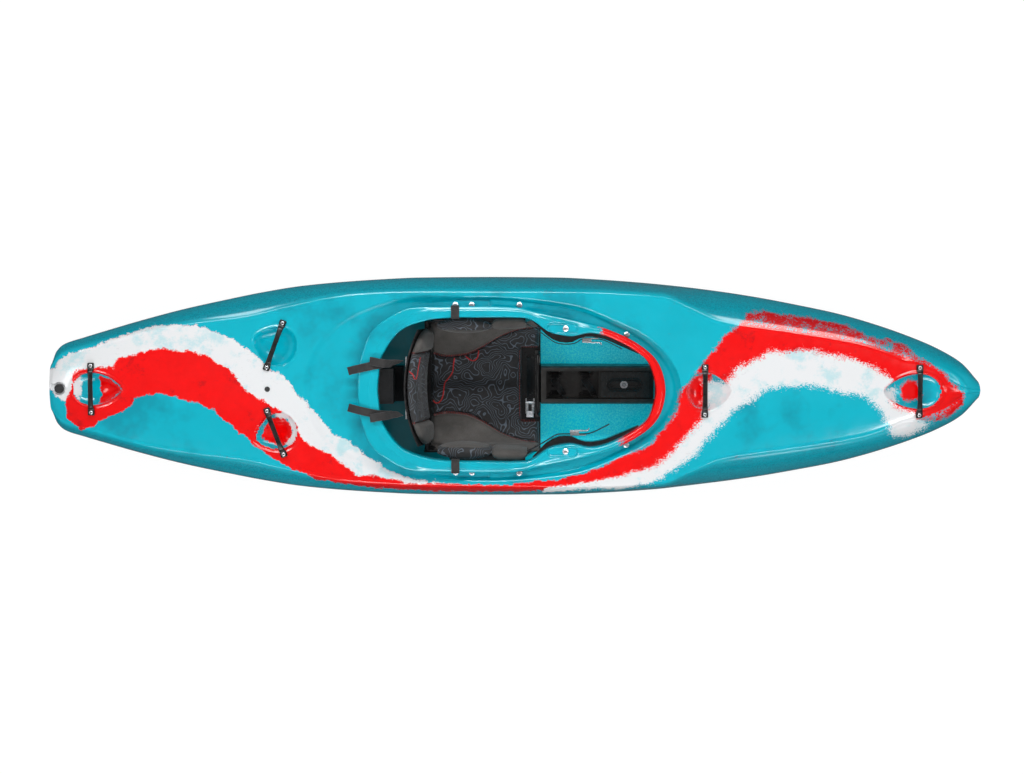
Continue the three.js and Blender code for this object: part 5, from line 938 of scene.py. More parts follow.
def crease_flecks(n):
    """Mask of small dark flecks, most of them near the creases."""
    drawn = n.add("ShaderNodeMapping", {"Vector": n.place(), "Scale": (0.3, 1.0, 1.0)})
    specks = n.spread(n.noise(drawn.outputs[0], 150.0, 5.0, 0.8), 0.58, 0.68)
    patches = n.spread(n.noise(n.place(), 7.0, 3.0, 0.6), 0.5, 0.62)
    near = n.maths("ADD", n.maths("MULTIPLY", n.value_of("crease_near"), 0.8), 0.22)
    return n.maths("MULTIPLY", n.maths("MULTIPLY", specks, patches), near, clamp=True)


def poured_colour(n):
    """Turquoise plastic with the red and white bands that were poured beside it."""
    red = poured_edge(n, "red_inside", 13.0, 1.2, 10.0, 46.0)
    red_blot_and_shade = n.spread(n.noise(n.place(), 16.0, 5.0, 0.7), 0.55, 0.7, 0.0, 0.5)
    # Painted shade: the red turns deep red outboard of the crease and low on the hull
    red_blot_and_shade = n.maths("MAXIMUM", red_blot_and_shade, n.maths("MULTIPLY", n.value_of("side_shade"), 0.75))
    red_tone = n.mix(red_blot_and_shade, toned(n, BAND_RED, 30.0, 0.25), DEEP_RED_AND_SHADE)
    colour = n.mix(red, shell_base(n), red_tone)
    white = poured_edge(n, "white_inside", 15.0, 1.8, 14.0, 85.0)
    clouds = n.spread(n.noise(n.place(), 13.0, 7.0, 0.72), 0.34, 0.5, 0.2, 1.0)
    colour = n.mix(white, colour, n.mix(clouds, MILKY, BAND_WHITE))
    return n.mix(crease_flecks(n), colour, FLECK)


def paint_lining_light(n):
    """Painted light: a glow on the inside of the hull, strongest just ahead of the middle and faint
    towards the stern, for daylight through the thin shell.
    """
    cloud = n.spread(n.noise(n.place(), 3.0, 3.0, 0.6), 0.3, 0.7, 0.7, 1.0)
    aft = n.spread(n.ahead(), -0.3, 0.04, 0.1, 1.0)
    fore = n.spread(n.ahead(), 0.16, 0.46, 1.0, 0.5)
    share = n.maths("MULTIPLY", cloud, n.maths("MULTIPLY", aft, fore))
    share = n.maths("MULTIPLY", n.value_of("lining"), share)
    return n.mix(share, (0, 0, 0, 1), LINING_PAINTED_LIGHT)


def grain(scale):
    return lambda n: n.effect(MOULDED_GRAIN, {"Vector": n.place(), "Scale": scale})


def satin(low, high, scale=40.0):
    """Roughness that wanders between two levels."""
    return lambda n: n.spread(n.noise(n.place(), scale, 4.0, 0.6), 0.3, 0.7, low, high)


def worn(colour, edge_colour, amount, scale=25.0, change=0.25):
    """One colour with a slow change of tone and paler worn edges."""
    def build(n):
        wear = n.effect(EDGE_WEAR, {"Vector": n.place(), "Amount": amount})
        return n.mix(wear, toned(n, paint(*colour), scale, change), paint(*edge_colour))
    return build


def printed_cloth(n):
    """Black cloth with thin grey level lines."""
    line = n.effect(FLOW_PRINT, {"Vector": n.place(), "Scale": 10.5, "Lines": 26.0})
    base = toned(n, paint(26, 25, 27), 60.0, 0.4)
    return n.mix(n.maths("MULTIPLY", line, 0.85), base, paint(92, 102, 114))


def cloth_relief(threads):
    return lambda n: n.effect(WEAVE, {"Vector": n.place(), "Threads": threads}, "Height")


def pitted(colour, scale, amount, cells, depth, dark):
    """Colour with a change of tone and small pits darkened as painted shade."""
    def build(n):
        # Painted shade: the middles of the cells, where the relief dips, go dark
        pits = n.spread(n.cells(cells), depth, depth - 0.2, 0.0, 0.6)
        return n.mix(pits, toned(n, paint(*colour), scale, amount), paint(*dark))
    return build


def strap_threads(n, pick_share):
    """Waves of the threads along a strap and across it, added up."""
    rib = n.maths("SINE", n.maths("MULTIPLY", n.value_of("across"), 2.6))
    pick = n.maths("SINE", n.maths("MULTIPLY", n.value_of("along"), 3.6))
    return n.maths("ADD", rib, n.maths("MULTIPLY", pick, pick_share))


def webbing_colour(n):
    """Dark woven strap: ribs along it, a paler edge thread."""
    tone = n.spread(strap_threads(n, 1.0), -1.6, 1.6)
    base = n.mix(tone, paint(9, 8, 9), paint(38, 36, 37))
    edge = n.spread(n.value_of("edge"), 0.8, 0.95, 0.0, 0.5)
    return n.mix(edge, base, paint(74, 74, 78))


def webbing_relief(n):
    return strap_threads(n, 0.8)


def brushed_roughness(n):
    """Fine scratches along one way, as roughness."""
    stretched = n.add("ShaderNodeMapping", {"Vector": n.place(), "Scale": (40.0, 900.0, 900.0)})
    return n.spread(n.noise(stretched.outputs[0], 1.0, 3.0, 0.6), 0.3, 0.7, 0.2, 0.42)


def moulded(name, colour, edge_colour, wear, shine, pebbles, strength, **plain):
    """Plastic of one colour with a pebbled skin and worn edges."""
    colour = worn(colour, edge_colour, wear)
    height = grain(pebbles)
    return new_material(name, colour, satin(*shine), height=height, strength=strength, **plain)


def sewing_thread(name, colour, edge_colour):
    return new_material(
        name, worn(colour, edge_colour, 0.6, 300.0, 0.5), satin(0.5, 0.7),
        height=cloth_relief(2500.0), strength=0.4, distance=0.0002,
    )


# Its glow is painted light on the inside of the hull
POURED_PLASTIC = new_material(
    "poured_plastic", poured_colour, satin(0.12, 0.22), height=grain(900.0), strength=0.07,
    glow=paint_lining_light, Specular_IOR_Level=0.34, Coat_Weight=0.35, Coat_Roughness=0.06,
)
BLACK_PLASTIC = moulded(
    "black_plastic", (17, 16, 17), (78, 76, 76), 0.4, (0.24, 0.42), 1500.0, 0.25,
)
TRAY_PLASTIC = moulded(
    "tray_plastic", (50, 47, 45), (104, 98, 94), 0.45, (0.28, 0.46), 1300.0, 0.25,
)
CAP_PLASTIC = moulded(
    "cap_plastic", (36, 35, 35), (96, 94, 92), 0.4, (0.18, 0.36), 1100.0, 0.3,
)
BRACE_PLASTIC = moulded(
    "brace_plastic", (17, 17, 19), (70, 70, 74), 0.35, (0.1, 0.24, 25.0), 700.0, 0.06,
    Coat_Weight=0.4,
)
RUBBER = moulded(
    "plug_rubber", (30, 30, 32), (70, 70, 72), 0.4, (0.55, 0.75), 1800.0, 0.3,
)
FOAM = new_material(
    "pillar_foam", pitted((44, 44, 46), 90.0, 0.5, 380.0, 0.32, (16, 16, 17)), satin(0.85, 0.97),
    height=lambda n: n.cells(380.0), strength=0.4, distance=0.001,
)
PRINTED_CLOTH = new_material(
    "printed_cloth", printed_cloth, satin(0.7, 0.85), height=cloth_relief(900.0), strength=0.3,
    distance=0.0004, Sheen_Weight=0.12,
)
MESH_CLOTH = new_material(
    "mesh_cloth", pitted((76, 72, 69), 13.0, 1.7, 420.0, 0.35, (26, 24, 23)), satin(0.75, 0.9),
    height=lambda n: n.spread(n.cells(420.0), 0.1, 0.5), strength=0.5, distance=0.0006,
    Sheen_Weight=0.2,
)
PIPING = new_material(
    "seam_piping", worn((46, 22, 21), (80, 40, 38), 0.3), satin(0.45, 0.6),
    height=cloth_relief(1400.0), strength=0.3,
)
SEAM_THREAD = sewing_thread("seam_thread", (132, 26, 26), (180, 70, 64))
RED_THREAD = sewing_thread("red_thread", (178, 22, 26), (225, 90, 84))
WEBBING = new_material(
    "woven_webbing", webbing_colour, satin(0.65, 0.85), height=webbing_relief, strength=0.5,
    distance=0.0005, Sheen_Weight=0.1,
)
BRIGHT_METAL = new_material(
    "bright_metal", worn((206, 208, 212), (240, 240, 242), 0.6, 60.0, 0.15),
    brushed_roughness, 1.0, height=grain(600.0), strength=0.05, distance=0.0002,
)
RAIL_ALUMINIUM = new_material(
    "rail_aluminium", worn((150, 153, 158), (215, 216, 220), 0.6, 30.0, 0.2),
    brushed_roughness, 0.9, height=grain(500.0), strength=0.08, distance=0.0002,
)
LADDER_PLASTIC = new_material(
    "ladder_plastic", webbing_colour, satin(0.25, 0.4),
    height=webbing_relief, strength=0.6, distance=0.0006,
)


# Camera
CAMERA_TILT = math.radians(4.4)
CAMERA_REACH = 6.0
CAMERA_AIM = Vector((0.0015, 0.0099, 0.33))
CAMERA_LENS = 72.7
SENSOR_WIDTH = 36


def place_camera():
    back = Vector((0, math.sin(CAMERA_TILT), math.cos(CAMERA_TILT)))
    up = Vector((0, math.cos(CAMERA_TILT), -math.sin(CAMERA_TILT)))
    camera = linked("camera", bpy.data.cameras.new("camera"))
    camera.data.lens = CAMERA_LENS
    camera.data.sensor_width = SENSOR_WIDTH
    camera.data.clip_end = 50
    turn = Matrix((Vector((1, 0, 0)), up, back)).transposed().to_4x4()
    camera.matrix_world = Matrix.Translation(CAMERA_AIM + CAMERA_REACH * back) @ turn
    bpy.context.scene.camera = camera


# Straps
RIBBON_UPPER_EDGE = [(1, 0.35), (0.97, 0.8), (0.9, 1), (0.5, 1), (0, 1)]
RIBBON_EDGE = np.array(
    [(-a, -n) for a, n in RIBBON_UPPER_EDGE] + [(a, -n) for a, n in RIBBON_UPPER_EDGE[-2::-1]]
    + RIBBON_UPPER_EDGE + [(-a, n) for a, n in RIBBON_UPPER_EDGE[-2::-1]]
)


def ribbon_rings(path, sides, width, thick):
    """Rings of a flat strap along a path; each point has the direction of the strap's width."""
    tangent = unit(np.gradient(path, axis=0))
    across = unit(sides - (sides * tangent).sum(1)[:, None] * tangent)
    normal = np.cross(tangent, across)
    rings = [path + across * (a * width / 2) + normal * (n * thick / 2) for a, n in RIBBON_EDGE]
    return np.stack(rings, 1)


def strap_piece(name, points, sides, width, thick, material, steps=16, spacing=3.0):
    """Flat strap with the values its weave reads; gives the piece and its centreline."""
    both = curve_points(np.hstack([points, sides]), steps)
    count = max(8, int(path_length(both[:, :3]) / spacing))
    both = evenly_along(both, count)
    rings = ribbon_rings(both[:, :3], both[:, 3:], width, thick)
    piece = lofted(name, rings, material, 60)
    run = run_along(both[:, :3])
    across = RIBBON_EDGE[:, 0]
    if len(piece.data.vertices) == rings.shape[0] * rings.shape[1]:
        add_values(piece, "along", np.repeat(run, len(across)))
        add_values(piece, "across", np.tile(across * width / 2, len(run)))
        add_values(piece, "edge", np.tile(np.abs(across), len(run)))
    return piece, both[:, :3]


def lay_strap(name, points, sides=(1, 0, 0), nodes=(), width=STRAP_WIDTH, material=WEBBING):
    """Strap that stays still on the boat."""
    sides = np.broadcast_to(np.asarray(sides, float), (len(points), 3))
    piece, _ = strap_piece(name, points, sides, width, STRAP_THICK, material, spacing=2.0)
    return carried(piece, "boat", "webbing", *nodes)


def lay_cord(name, points, sides, width, material):
    """Strap along points, with the way of its width at each point, carried by no body."""
    piece, path = strap_piece(name, points, sides, width, STRAP_THICK, material)
    return piece


def follow(piece, strap):
    """A strap stands for its solid, its place baked into its points."""
    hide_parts(strap)
    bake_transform(piece)


brace_bulge = curve_through([
    (0, 0.1), (0.12, 0.55), (0.25, 0.92), (0.35, 0.85), (0.45, 0.5), (0.78, 0.5), (0.9, 0.38),
    (1, 0.12),
])


def brace_inner(x):
    share = (np.asarray(x, float) - BRACE_REAR) / (BRACE_FRONT - BRACE_REAR)
    return opening_half(x) - BRACE_IN * brace_bulge(share)


def brace_top(x):
    return moat_floor(x) - WALL - 2 * CLEAR


def ratchet_reach(x):
    """Least half width of the brace's lip along a ratchet."""
    half = RATCHET_LENGTH / 2
    return float(np.min(brace_inner(np.linspace(x - half, x + half, 9))))


def ratchet_level(x):
    """Height of a ratchet's middle on the brace's lip."""
    return float(brace_top(x)) - BRACE_LIP / 2 - BRACE_LIP_THICK / 4


def behind_brace(x):
    """Half width that clears the brace's lip at a place along it."""
    return float(np.min(brace_inner(np.array([x, x + WALL, x - WALL])))) - 2 * STRAP_THICK


def ladder_route(side):
    ratchet = RATCHET_XS[side]
    through = ratchet_reach(ratchet) - CLEAR - RATCHET_SHEET - STRAP_THICK / 2 - 2 * CLEAR
    level = ratchet_level(ratchet)
    lane = SEAT_CHEEK_HALF - HIP_CHANNEL + 2 * CLEAR + STRAP_THICK / 2
    beside = EYE_OUTER + CLEAR + STRAP_THICK / 2
    high = PIVOT_Z + 2 * EYE_RADIUS
    under, past = BRACE_REAR + STRAP_WIDTH, BRACE_REAR + 3 * STRAP_WIDTH
    before = ratchet - RATCHET_LENGTH
    points = [
        (PIVOT_X - EYE_RADIUS, beside, high + 3 * WALL),
        (PIVOT_X + 3.5 * EYE_RADIUS, beside, high + 3.5 * WALL),
        (HIP_REAR + 2 * STRAP_WIDTH, lane, HIP_LOW + WALL),
        (HIP_FRONT, lane, HIP_LOW + STRAP_WIDTH),
        (BRACE_REAR - STRAP_WIDTH, lane, (HIP_LOW + HIP_HIGH) / 2 + STRAP_WIDTH / 2),
        (under, min(lane, behind_brace(under)), level - STRAP_WIDTH),
        (past, behind_brace(past), level - STRAP_THICK),
        (before, min(behind_brace(before), through), level),
        (ratchet - RATCHET_LENGTH / 2, through, level),
        (ratchet, through, level),
        (ratchet + RATCHET_LENGTH / 2, through, level),
        (ratchet + RATCHET_LENGTH * 0.6, through - CLEAR, level),
        (ratchet + RATCHET_LENGTH, through - STRAP_WIDTH / 4, level),
        (ratchet + 2 * RATCHET_LENGTH, through - 1.2 * STRAP_WIDTH, level),
    ]
    return [(x, side * y, z) for x, y, z in points]


def make_ladder_strap(side, word):
    """Strap from beside the backband through the brace's ratchet, its teeth inwards."""
    points = ladder_route(side)
    piece = lay_cord(
        f"ladder_webbing_{word}", points, [(0, 0, 1)] * len(points), LIFT_STRAP_WIDTH,
        LADDER_PLASTIC,
    )
    follow(piece, f"ladder_strap_{word}")


def band_x(y, up):
    return BAND_LOW_X - BAND_LEAN * up + BAND_WRAP * (np.asarray(y, float) / BAND_HALF) ** 2


def band_z(up):
    return BAND_LOW + (BAND_HIGH - BAND_LOW) * up


def rear_strap_route(side):
    top = float(rim_top(OPENING_REAR)) + STRAP_THICK
    start = float(band_x(0, 1)) - 3 * STRAP_THICK
    points = [
        (start - 2 * STRAP_THICK, side * 76, band_z(0.9)),
        (OPENING_REAR + 40, side * 76, band_z(1) + 18),
        (OPENING_REAR + 8, side * 73, top),
        (OPENING_REAR - 12, side * 70, top + STRAP_THICK),
        (RIM_REAR + 8, side * 62, top + STRAP_THICK),
        (RIM_REAR - 28, side * 53, top - 3 * STRAP_THICK),
    ]
    sides = [
        (0.2, side * 0.35, 1), (0.2, side * 0.8, 0.6), (0, side, 0.1), (0, side, 0), (0, side, 0),
        (0, side, 0.1),
    ]
    return points, sides


def make_rear_strap(side, word):
    """Strap that draws the backband up to the coaming, its tail lying over the rim."""
    points, sides = rear_strap_route(side)
    piece = lay_cord(
        f"rear_webbing_{word}", points, sides, STRAP_WIDTH, WEBBING,
    )
    follow(piece, f"rear_strap_{word}")


def make_rim_strap(side, word):
    """Strap that holds the seat's flange up, over the coaming's rim."""
    x = SEAT_FLANGE_REAR + 18
    inner = float(opening_half(x)) - STRAP_THICK
    outer = RIM_WIDTH / 2 + STRAP_THICK
    top = float(rim_top(x)) + STRAP_THICK
    low = float(moat_floor(x)) - WALL + 2 * CLEAR
    route = [
        (inner, low), (inner, top - WALL), (inner + STRAP_THICK, top),
        (outer - 2 * STRAP_THICK, top), (outer, top - STRAP_THICK), (outer, top - 2 * RIM_THICK),
    ]
    points = [(x, side * y, z) for y, z in route]
    lay_strap(f"rim_webbing_{word}", points, nodes=[f"rim_strap_{word}"])


def make_tray_strap(x, word):
    high = TRAY_WELL_FLOOR + 3 * STRAP_THICK
    low = TRAY_WELL_FLOOR - RECESS_DEPTH + 2 * CLEAR
    reach = TRAY_WELL_HALF - RECESS_WIDTH / 2 - CLEAR
    shelf = reach - RECESS_WIDTH / 2 - STRAP_THICK
    route = [(reach, low), (reach - STRAP_THICK, TRAY_WELL_FLOOR), (shelf, high)]
    port = [(x, y, z) for y, z in route]
    points = port + [(x, 0, high + STRAP_THICK)] + [(x, -y, z) for _, y, z in port[::-1]]
    lay_strap(f"tray_webbing_{word}", points, nodes=[f"tray_strap_{word}"])


def make_tray_tail(x, word):
    """Loose end of a tray strap, twisted over from its buckle to the tray's side."""
    high = TRAY_WELL_FLOOR + 9 * STRAP_THICK
    points = [
        (x - 6, 16, high - 2), (x, 6, high + 4), (x + 10, -8, high + 8), (x + 20, -22, high + 5),
        (x + 24, -33, high - 8),
    ]
    sides = [(1, 0, 0), (1, 0.1, 0.2), (0.9, 0.5, 0.5), (0.8, 0.5, -0.3), (1, 0.2, 0)]
    lay_strap(f"tray_tail_{word}", points, sides, width=STRAP_WIDTH - 4)


def make_strap_fold(side, word):
    """Folded back layer of a rear strap where it crosses the coaming."""
    top = float(rim_top(OPENING_REAR)) + 4 * STRAP_THICK
    route = [(44, 74, band_z(1) + 27), (22, 77, top + 3), (0, 80, top + 3), (-14, 83, top + 1),
             (-22, 84, top)]
    points = [(OPENING_REAR + x, side * y, z) for x, y, z in route]
    sides = [(0.2, side * 0.8, 0.5), (0.1, side, 0.1)] + [(-0.1, side, 0)] * 3
    lay_strap(f"rear_fold_{word}", points, sides)


def make_lift_strap():
    level = SEAT_TOP + CLEAR + RATCHET_SHEET + STRAP_THICK / 2 + CLEAR
    x = LIFT_RATCHET_X
    near = LIFT_RATCHET_Y + RATCHET_LENGTH / 2
    points = [
        (x, LIFT_STRAP_END, level), (x, (LIFT_STRAP_END + near) / 2, level + STRAP_THICK),
        (x, near, level), (x, LIFT_RATCHET_Y - RATCHET_LENGTH * 0.62, level),
    ]
    lay_strap(
        "lift_ladder", points, nodes=["leg_lift_strap"], width=LIFT_STRAP_WIDTH,
        material=LADDER_PLASTIC,
    )


# Beads and rolled edges
def beaded_rings(path, out, wide, high, sides):
    """Oval rings round a path that lies level, given the way out of it."""
    turn = whole_turn(sides)[None, :, None]
    return path[:, None] + wide * out[:, None] * np.cos(turn) + high * UPWARDS * np.sin(turn)


def closed_tube(name, path, radius, material, sides=12):
    """Round bead along a closed path that lies level."""
    ahead = unit(np.roll(path, -1, 0) - np.roll(path, 1, 0))
    rings = beaded_rings(path, np.cross(ahead, UPWARDS), radius, radius, sides)
    points = np.concatenate([rings, rings[:1]]).reshape(-1, 3)
    return new_piece(name, points, grid_faces(len(path) + 1, sides).tolist(), material, 60)


def make_slot_frame():
    """Raised rim round the slot of the tray's cap, and a second one nearer its middle."""
    middle = TRAY_WELL_FRONT + WALL + SLOT_START + SLOT_LENGTH / 2
    turn = whole_turn(72)
    pieces = []
    for name, half_long, half_wide, radius in (("outer", 52, 18.5, 2.2), ("inner", 44, 12, 1.4)):
        straight = half_long - half_wide
        x = middle + np.sign(np.cos(turn)) * straight + half_wide * np.cos(turn)
        ring = np.stack([x, half_wide * np.sin(turn), np.full(len(turn), CAP_TOP)], 1)
        pieces.append(closed_tube(name, ring, radius, CAP_PLASTIC))
    carried(joined("cap_slot_frame", pieces), "boat", "black_plastic")


def make_tray_sockets():
    """Low oval rims round the slots that the tray's straps go through."""
    turn = whole_turn(48)
    level = np.full(len(turn), TRAY_WELL_FLOOR + 0.6)
    pieces = []
    for x in TRAY_STRAP_XS:
        for side, word in SIDES:
            middle = side * (TRAY_WELL_HALF - RECESS_WIDTH / 2 - CLEAR)
            ring = [x + 20 * raised(np.cos(turn), 0.6), middle + 5.5 * np.sin(turn), level]
            pieces.append(closed_tube(f"socket_{word}", np.stack(ring, 1), 1.3, TRAY_PLASTIC))
    carried(joined("tray_sockets", pieces), "boat", "black_plastic")


def make_seat_lip():
    """Glossy rolled front edge of the seat between the ears of its cushion."""
    x, half, high = SEAT_FRONT - 6, PAD_NOTCH_HALF - 6, SEAT_TOP + 13
    bend = [(x - 2, half, high - 9), (x, half - 5, high - 3), (x, half - 14, high), (x, 20, high)]
    path = curve_points(bend + [(a, -b, c) for a, b, c in bend[::-1]], 8)
    path = evenly_along(path, 60)
    out = np.cross(unit(np.gradient(path, axis=0)), UPWARDS)
    rings = beaded_rings(path, out, 6.5, 5.5, 20)
    carried(lofted("seat_lip", rings, BRACE_PLASTIC, 60), "boat", "black_plastic")


# Shell and coaming
OUTER_SPACING = 4.0
INNER_SPACING = 9.0
OUTER_STEPS = (22, 24, 80)
INNER_STEPS = (12, 12, 36)
OUTER_BULGE = 3.0
INNER_BULGE = 2.0
END_SHARES = (0.985, 0.94, 0.85, 0.7, 0.5, 0.25, 0.02)
OPENING_GROWTH = 3
UNPAINTED = -99


def rounded_end(ring, bulge):
    """Shrinking rings that round over one end of a skin."""
    centre = ring.mean(0)
    caps = []
    for share in END_SHARES:
        cap = centre + (ring - centre) * share
        cap[:, 0] = ring[:, 0] + bulge * math.sqrt(1 - share**2)
        caps.append(cap)
    return np.array(caps)


def capped_skin(name, rings, bulge):
    """Closed skin from rings, its ends rounded over."""
    stern, bow = rounded_end(rings[0], -bulge), rounded_end(rings[-1], bulge)
    return lofted(name, np.concatenate([stern[::-1], rings, bow]), POURED_PLASTIC)


def outer_skin():
    """Outside of the hull and the deck, with every pressed form."""
    fine = np.arange(-LENGTH / 2 + 40, LENGTH / 2 - 40, OUTER_SPACING)
    stern = -LENGTH / 2 + OUTER_BULGE + 37 * np.linspace(0, 1, 16)[:-1] ** 1.6
    bow = LENGTH / 2 - OUTER_BULGE - 37 * np.linspace(1, 0, 16) ** 1.6
    station = station_at(np.concatenate([stern, fine, bow]))
    rings, lower = section_rings(station, 0, *OUTER_STEPS)
    upper = slice(lower, rings.shape[1] - lower + 1)
    rings[:, upper, 2] = carved_deck(*(rings[:, upper, k].copy() for k in range(3)))
    return capped_skin("moulded_shell", rings, OUTER_BULGE)


def inner_skin():
    """Hollow of the boat, a wall's thickness inside the outer skin."""
    station = station_at(np.arange(-LENGTH / 2 + 30, LENGTH / 2 - 34, INNER_SPACING))
    rings, lower = section_rings(station, WALL, *INNER_STEPS)
    upper = slice(lower, rings.shape[1] - lower + 1)
    x, y, z = (rings[:, upper, k].copy() for k in range(3))
    under = carved_deck(x, y, deck_height(x, y)) - WALL
    waist = section_at(station, WALL)["waist"][:, None]
    rings[:, upper, 2] = np.maximum(np.minimum(z, under), waist)
    return capped_skin("cavity", rings, INNER_BULGE)


def opening_prism():
    """Upright prism that cuts the cockpit's opening, just inside the coaming's wall."""
    edge = whole_outline(evenly_along(opening_side, 181))
    ahead = unit(edge - np.roll(edge, 1, 0) + np.roll(edge, -1, 0) - edge)
    grown = edge + OPENING_GROWTH * np.stack([-ahead[:, 1], ahead[:, 0]], 1)
    heights = (DEPTH / 2, DEPTH + 60)
    rings = [np.hstack([grown, np.full((len(grown), 1), height)]) for height in heights]
    return lofted("opening", rings, POURED_PLASTIC)


def cut_away(piece, tools):
    """Tools are cut out of a piece and removed."""
    for tool in tools:
        cut = piece.modifiers.new("cut", "BOOLEAN")
        cut.operation = "DIFFERENCE"
        cut.solver = "MANIFOLD"
        cut.object = tool
    bpy.context.view_layer.update()
    seen = piece.evaluated_get(bpy.context.evaluated_depsgraph_get())
    ready = bpy.data.meshes.new_from_object(seen)
    piece.modifiers.clear()
    piece.data = ready
    for tool in tools:
        bpy.data.objects.remove(tool)


def make_shell():
    """Hull and deck in one moulded skin, hollow and open at the cockpit."""
    outer = outer_skin()
    cut_away(outer, [inner_skin(), opening_prism()])
    finish_surface(outer, POURED_PLASTIC, 38)
    add_band_values(outer)
    nodes = ("hull_shell", "stern_deck", "cockpit_deck", "bow_deck")
    carried(outer, "boat", "shell_plastic", *nodes)


def band_distances(x, y):
    """Distance inside the red and the white bands in plan, with the finger bowls' own colours."""
    white = np.max([-outline_gap(band, x, y) for band in WHITE_BANDS], 0)
    red = -outline_gap(RED_BAND, x, y)
    stern, bow, centre, _, rear = [bowl_place(x, y, bowl) for bowl in BOWLS]
    colours = (
        (stern, np.minimum(stern[0] - 4, 50 * (0.86 - stern[2])), -stern[0] - 52),
        (bow, 29 - np.hypot(bow[0] + 3, bow[1]), np.minimum(-bow[0] - 50, 8 - bow[1])),
        (centre, np.minimum(6 - centre[0], 50 * (0.9 - centre[2])),
         np.minimum(centre[0] + 6, 22 - centre[1])),
        (rear, 50 * (0.74 - rear[2]), np.minimum(50 * (rear[2] - 0.78), rear[0] - 18)),
    )
    for (*_, share), red_here, white_here in colours:
        red = np.where(share < 0.97, red_here, red)
        white = np.where(share < 0.97, white_here, white)
    return red, white


def add_band_values(shell):
    """What the shell's colours depend on, for every point: bands, lining, painted shade on the
    sides and the lower hull, and creases.
    """
    x, y, z = points_of(shell).T
    red, white = band_distances(x, y)
    s = section_at(station_at(x), 0)
    past = np.abs(y) - s["shoulder"]
    red = np.where((past > 3) & (x > 250), np.minimum(red, 3), red)
    normals = np.array([vert.normal for vert in shell.data.vertices])
    inwards = normals[:, 1] * y + normals[:, 2] * (z - s["waist"]) < 0
    below = z < carved_deck(x, y, deck_height(x, y)) - 3
    lining = inwards & (np.abs(y) < s["half"] - 1) & below
    off_moat = outline_gap(whole_outline(moat_side)[::3], x, y) - 2
    limit = np.minimum(off_moat, z - s["waist"] + 25)
    for name, inside in (("white_inside", white), ("red_inside", red)):
        add_values(shell, name, np.where(lining, UNPAINTED, np.minimum(inside, limit)))
    add_values(shell, "lining", np.where(lining, 1, 0))
    # Painted shade: share of darker colour outboard of the crease and low on the hull
    outboard = ease(past, 2, 16) * ease(np.abs(y) / s["half"], 0.5, 0.9)
    side_shade = np.maximum(outboard, ease(-z, -150, -60))
    add_values(shell, "side_shade", np.where(lining, 0, side_shade))
    crease = np.exp(-(((past - 6) / 16) ** 2)) * (off_moat > 6)
    add_values(shell, "crease_near", np.where(lining, 0, crease))


def pocket_drop(x, y):
    """Depth of the brace pockets below the rim's top."""
    along = np.maximum(np.abs(x - POCKET_X) - (POCKET_LENGTH - POCKET_WIDTH) / 2, 0)
    gap = np.hypot(along, np.abs(y) - POCKET_Y) - POCKET_WIDTH / 2
    return POCKET_DEPTH * (1 - ease(gap, -3, 1.5)), gap


def rim_top_columns(x, width):
    """Inner flat of the rim, its crease and its outer band: reaches and heights below its top."""
    crease = 0.42 + 0.28 * ease(x, -330, -200)
    columns = []
    for t in np.linspace(0, 1, 22):
        dish = -1.6 * np.sin(np.pi * np.clip(t / crease, 0, 1)) ** 0.8
        ridge = 0.9 * np.exp(-(((t - crease) / 0.05) ** 2))
        slope = -3.4 * np.clip((t - crease) / (1 - crease), 0, 1) ** 1.3
        columns.append((4.5 + (width - 7.5) * t, dish * 0.8 + ridge + slope))
    return columns


def rim_columns(x, width):
    """Places round the rim's section: reach from the inner edge, height and what it is from."""
    base = moat_floor(x)
    sunk = 8 * ease(-x, 300, 400)
    lip = [(0.0, -12.0), (0.4, -6.0), (1.4, -2.8), (2.8, -0.9)]
    edge = [(1.6, -4.4), (0.4, -5.6), (0, -7.2), (0.5, -9.0), (2.0, -9.6), (3.6, -8.8), (5.0, -7.0)]
    under = [(10 + (width - 16) * t, -6.5) for t in (0.75, 0.5, 0.25)] + [(9.0, -7.0)]
    foot = [
        (6.0, base + 4), (7.5, base + 0.5), (10.0, base - 1.0), (9.0, base - 5 - sunk),
        (4.0, base - 8 - sunk),
    ]
    top = lip + rim_top_columns(x, width) + [(width - draw, height) for draw, height in edge]
    parts = (
        ("floor", [(0.0, base - 7 - sunk), (0.0, base + 2)]), ("top", top), ("under", under),
        ("top", [(6.6, -9.5), (6.0, -13.0)]), ("floor", foot),
    )
    return [(reach, height, kind) for kind, places in parts for reach, height in places]


def rim_rings():
    """Rings of points round the rim's section, one at each place along the cockpit's edge."""
    edge = evenly_along(rim_side, 361)
    share = (edge[:, 0] - RIM_REAR) / RIM_LENGTH
    opening_at = (opening_side[:, 0] - OPENING_REAR) / OPENING_LENGTH
    half = np.interp(share, opening_at, opening_side[:, 1])
    inner = whole_outline(np.stack([OPENING_REAR + share * OPENING_LENGTH, half], 1))
    out = whole_outline(edge) - inner
    width = np.linalg.norm(out, axis=1)
    rings = []
    for reach, height, kind in rim_columns(inner[:, 0], width):
        x, y = (inner + out / width[:, None] * np.broadcast_to(reach, width.shape)[:, None]).T
        drop, gap = pocket_drop(x, y)
        z = np.broadcast_to(np.asarray(height, float), x.shape)
        if kind == "top":
            z = z + rim_top(x) - drop * (z > -5)
        elif kind == "under":
            z = np.minimum(z, -POCKET_DEPTH - 3 + 40 * ease(gap, 2, 8)) + rim_top(x)
        rings.append(np.stack([x, y, z], 1))
    return np.stack(rings, 1)


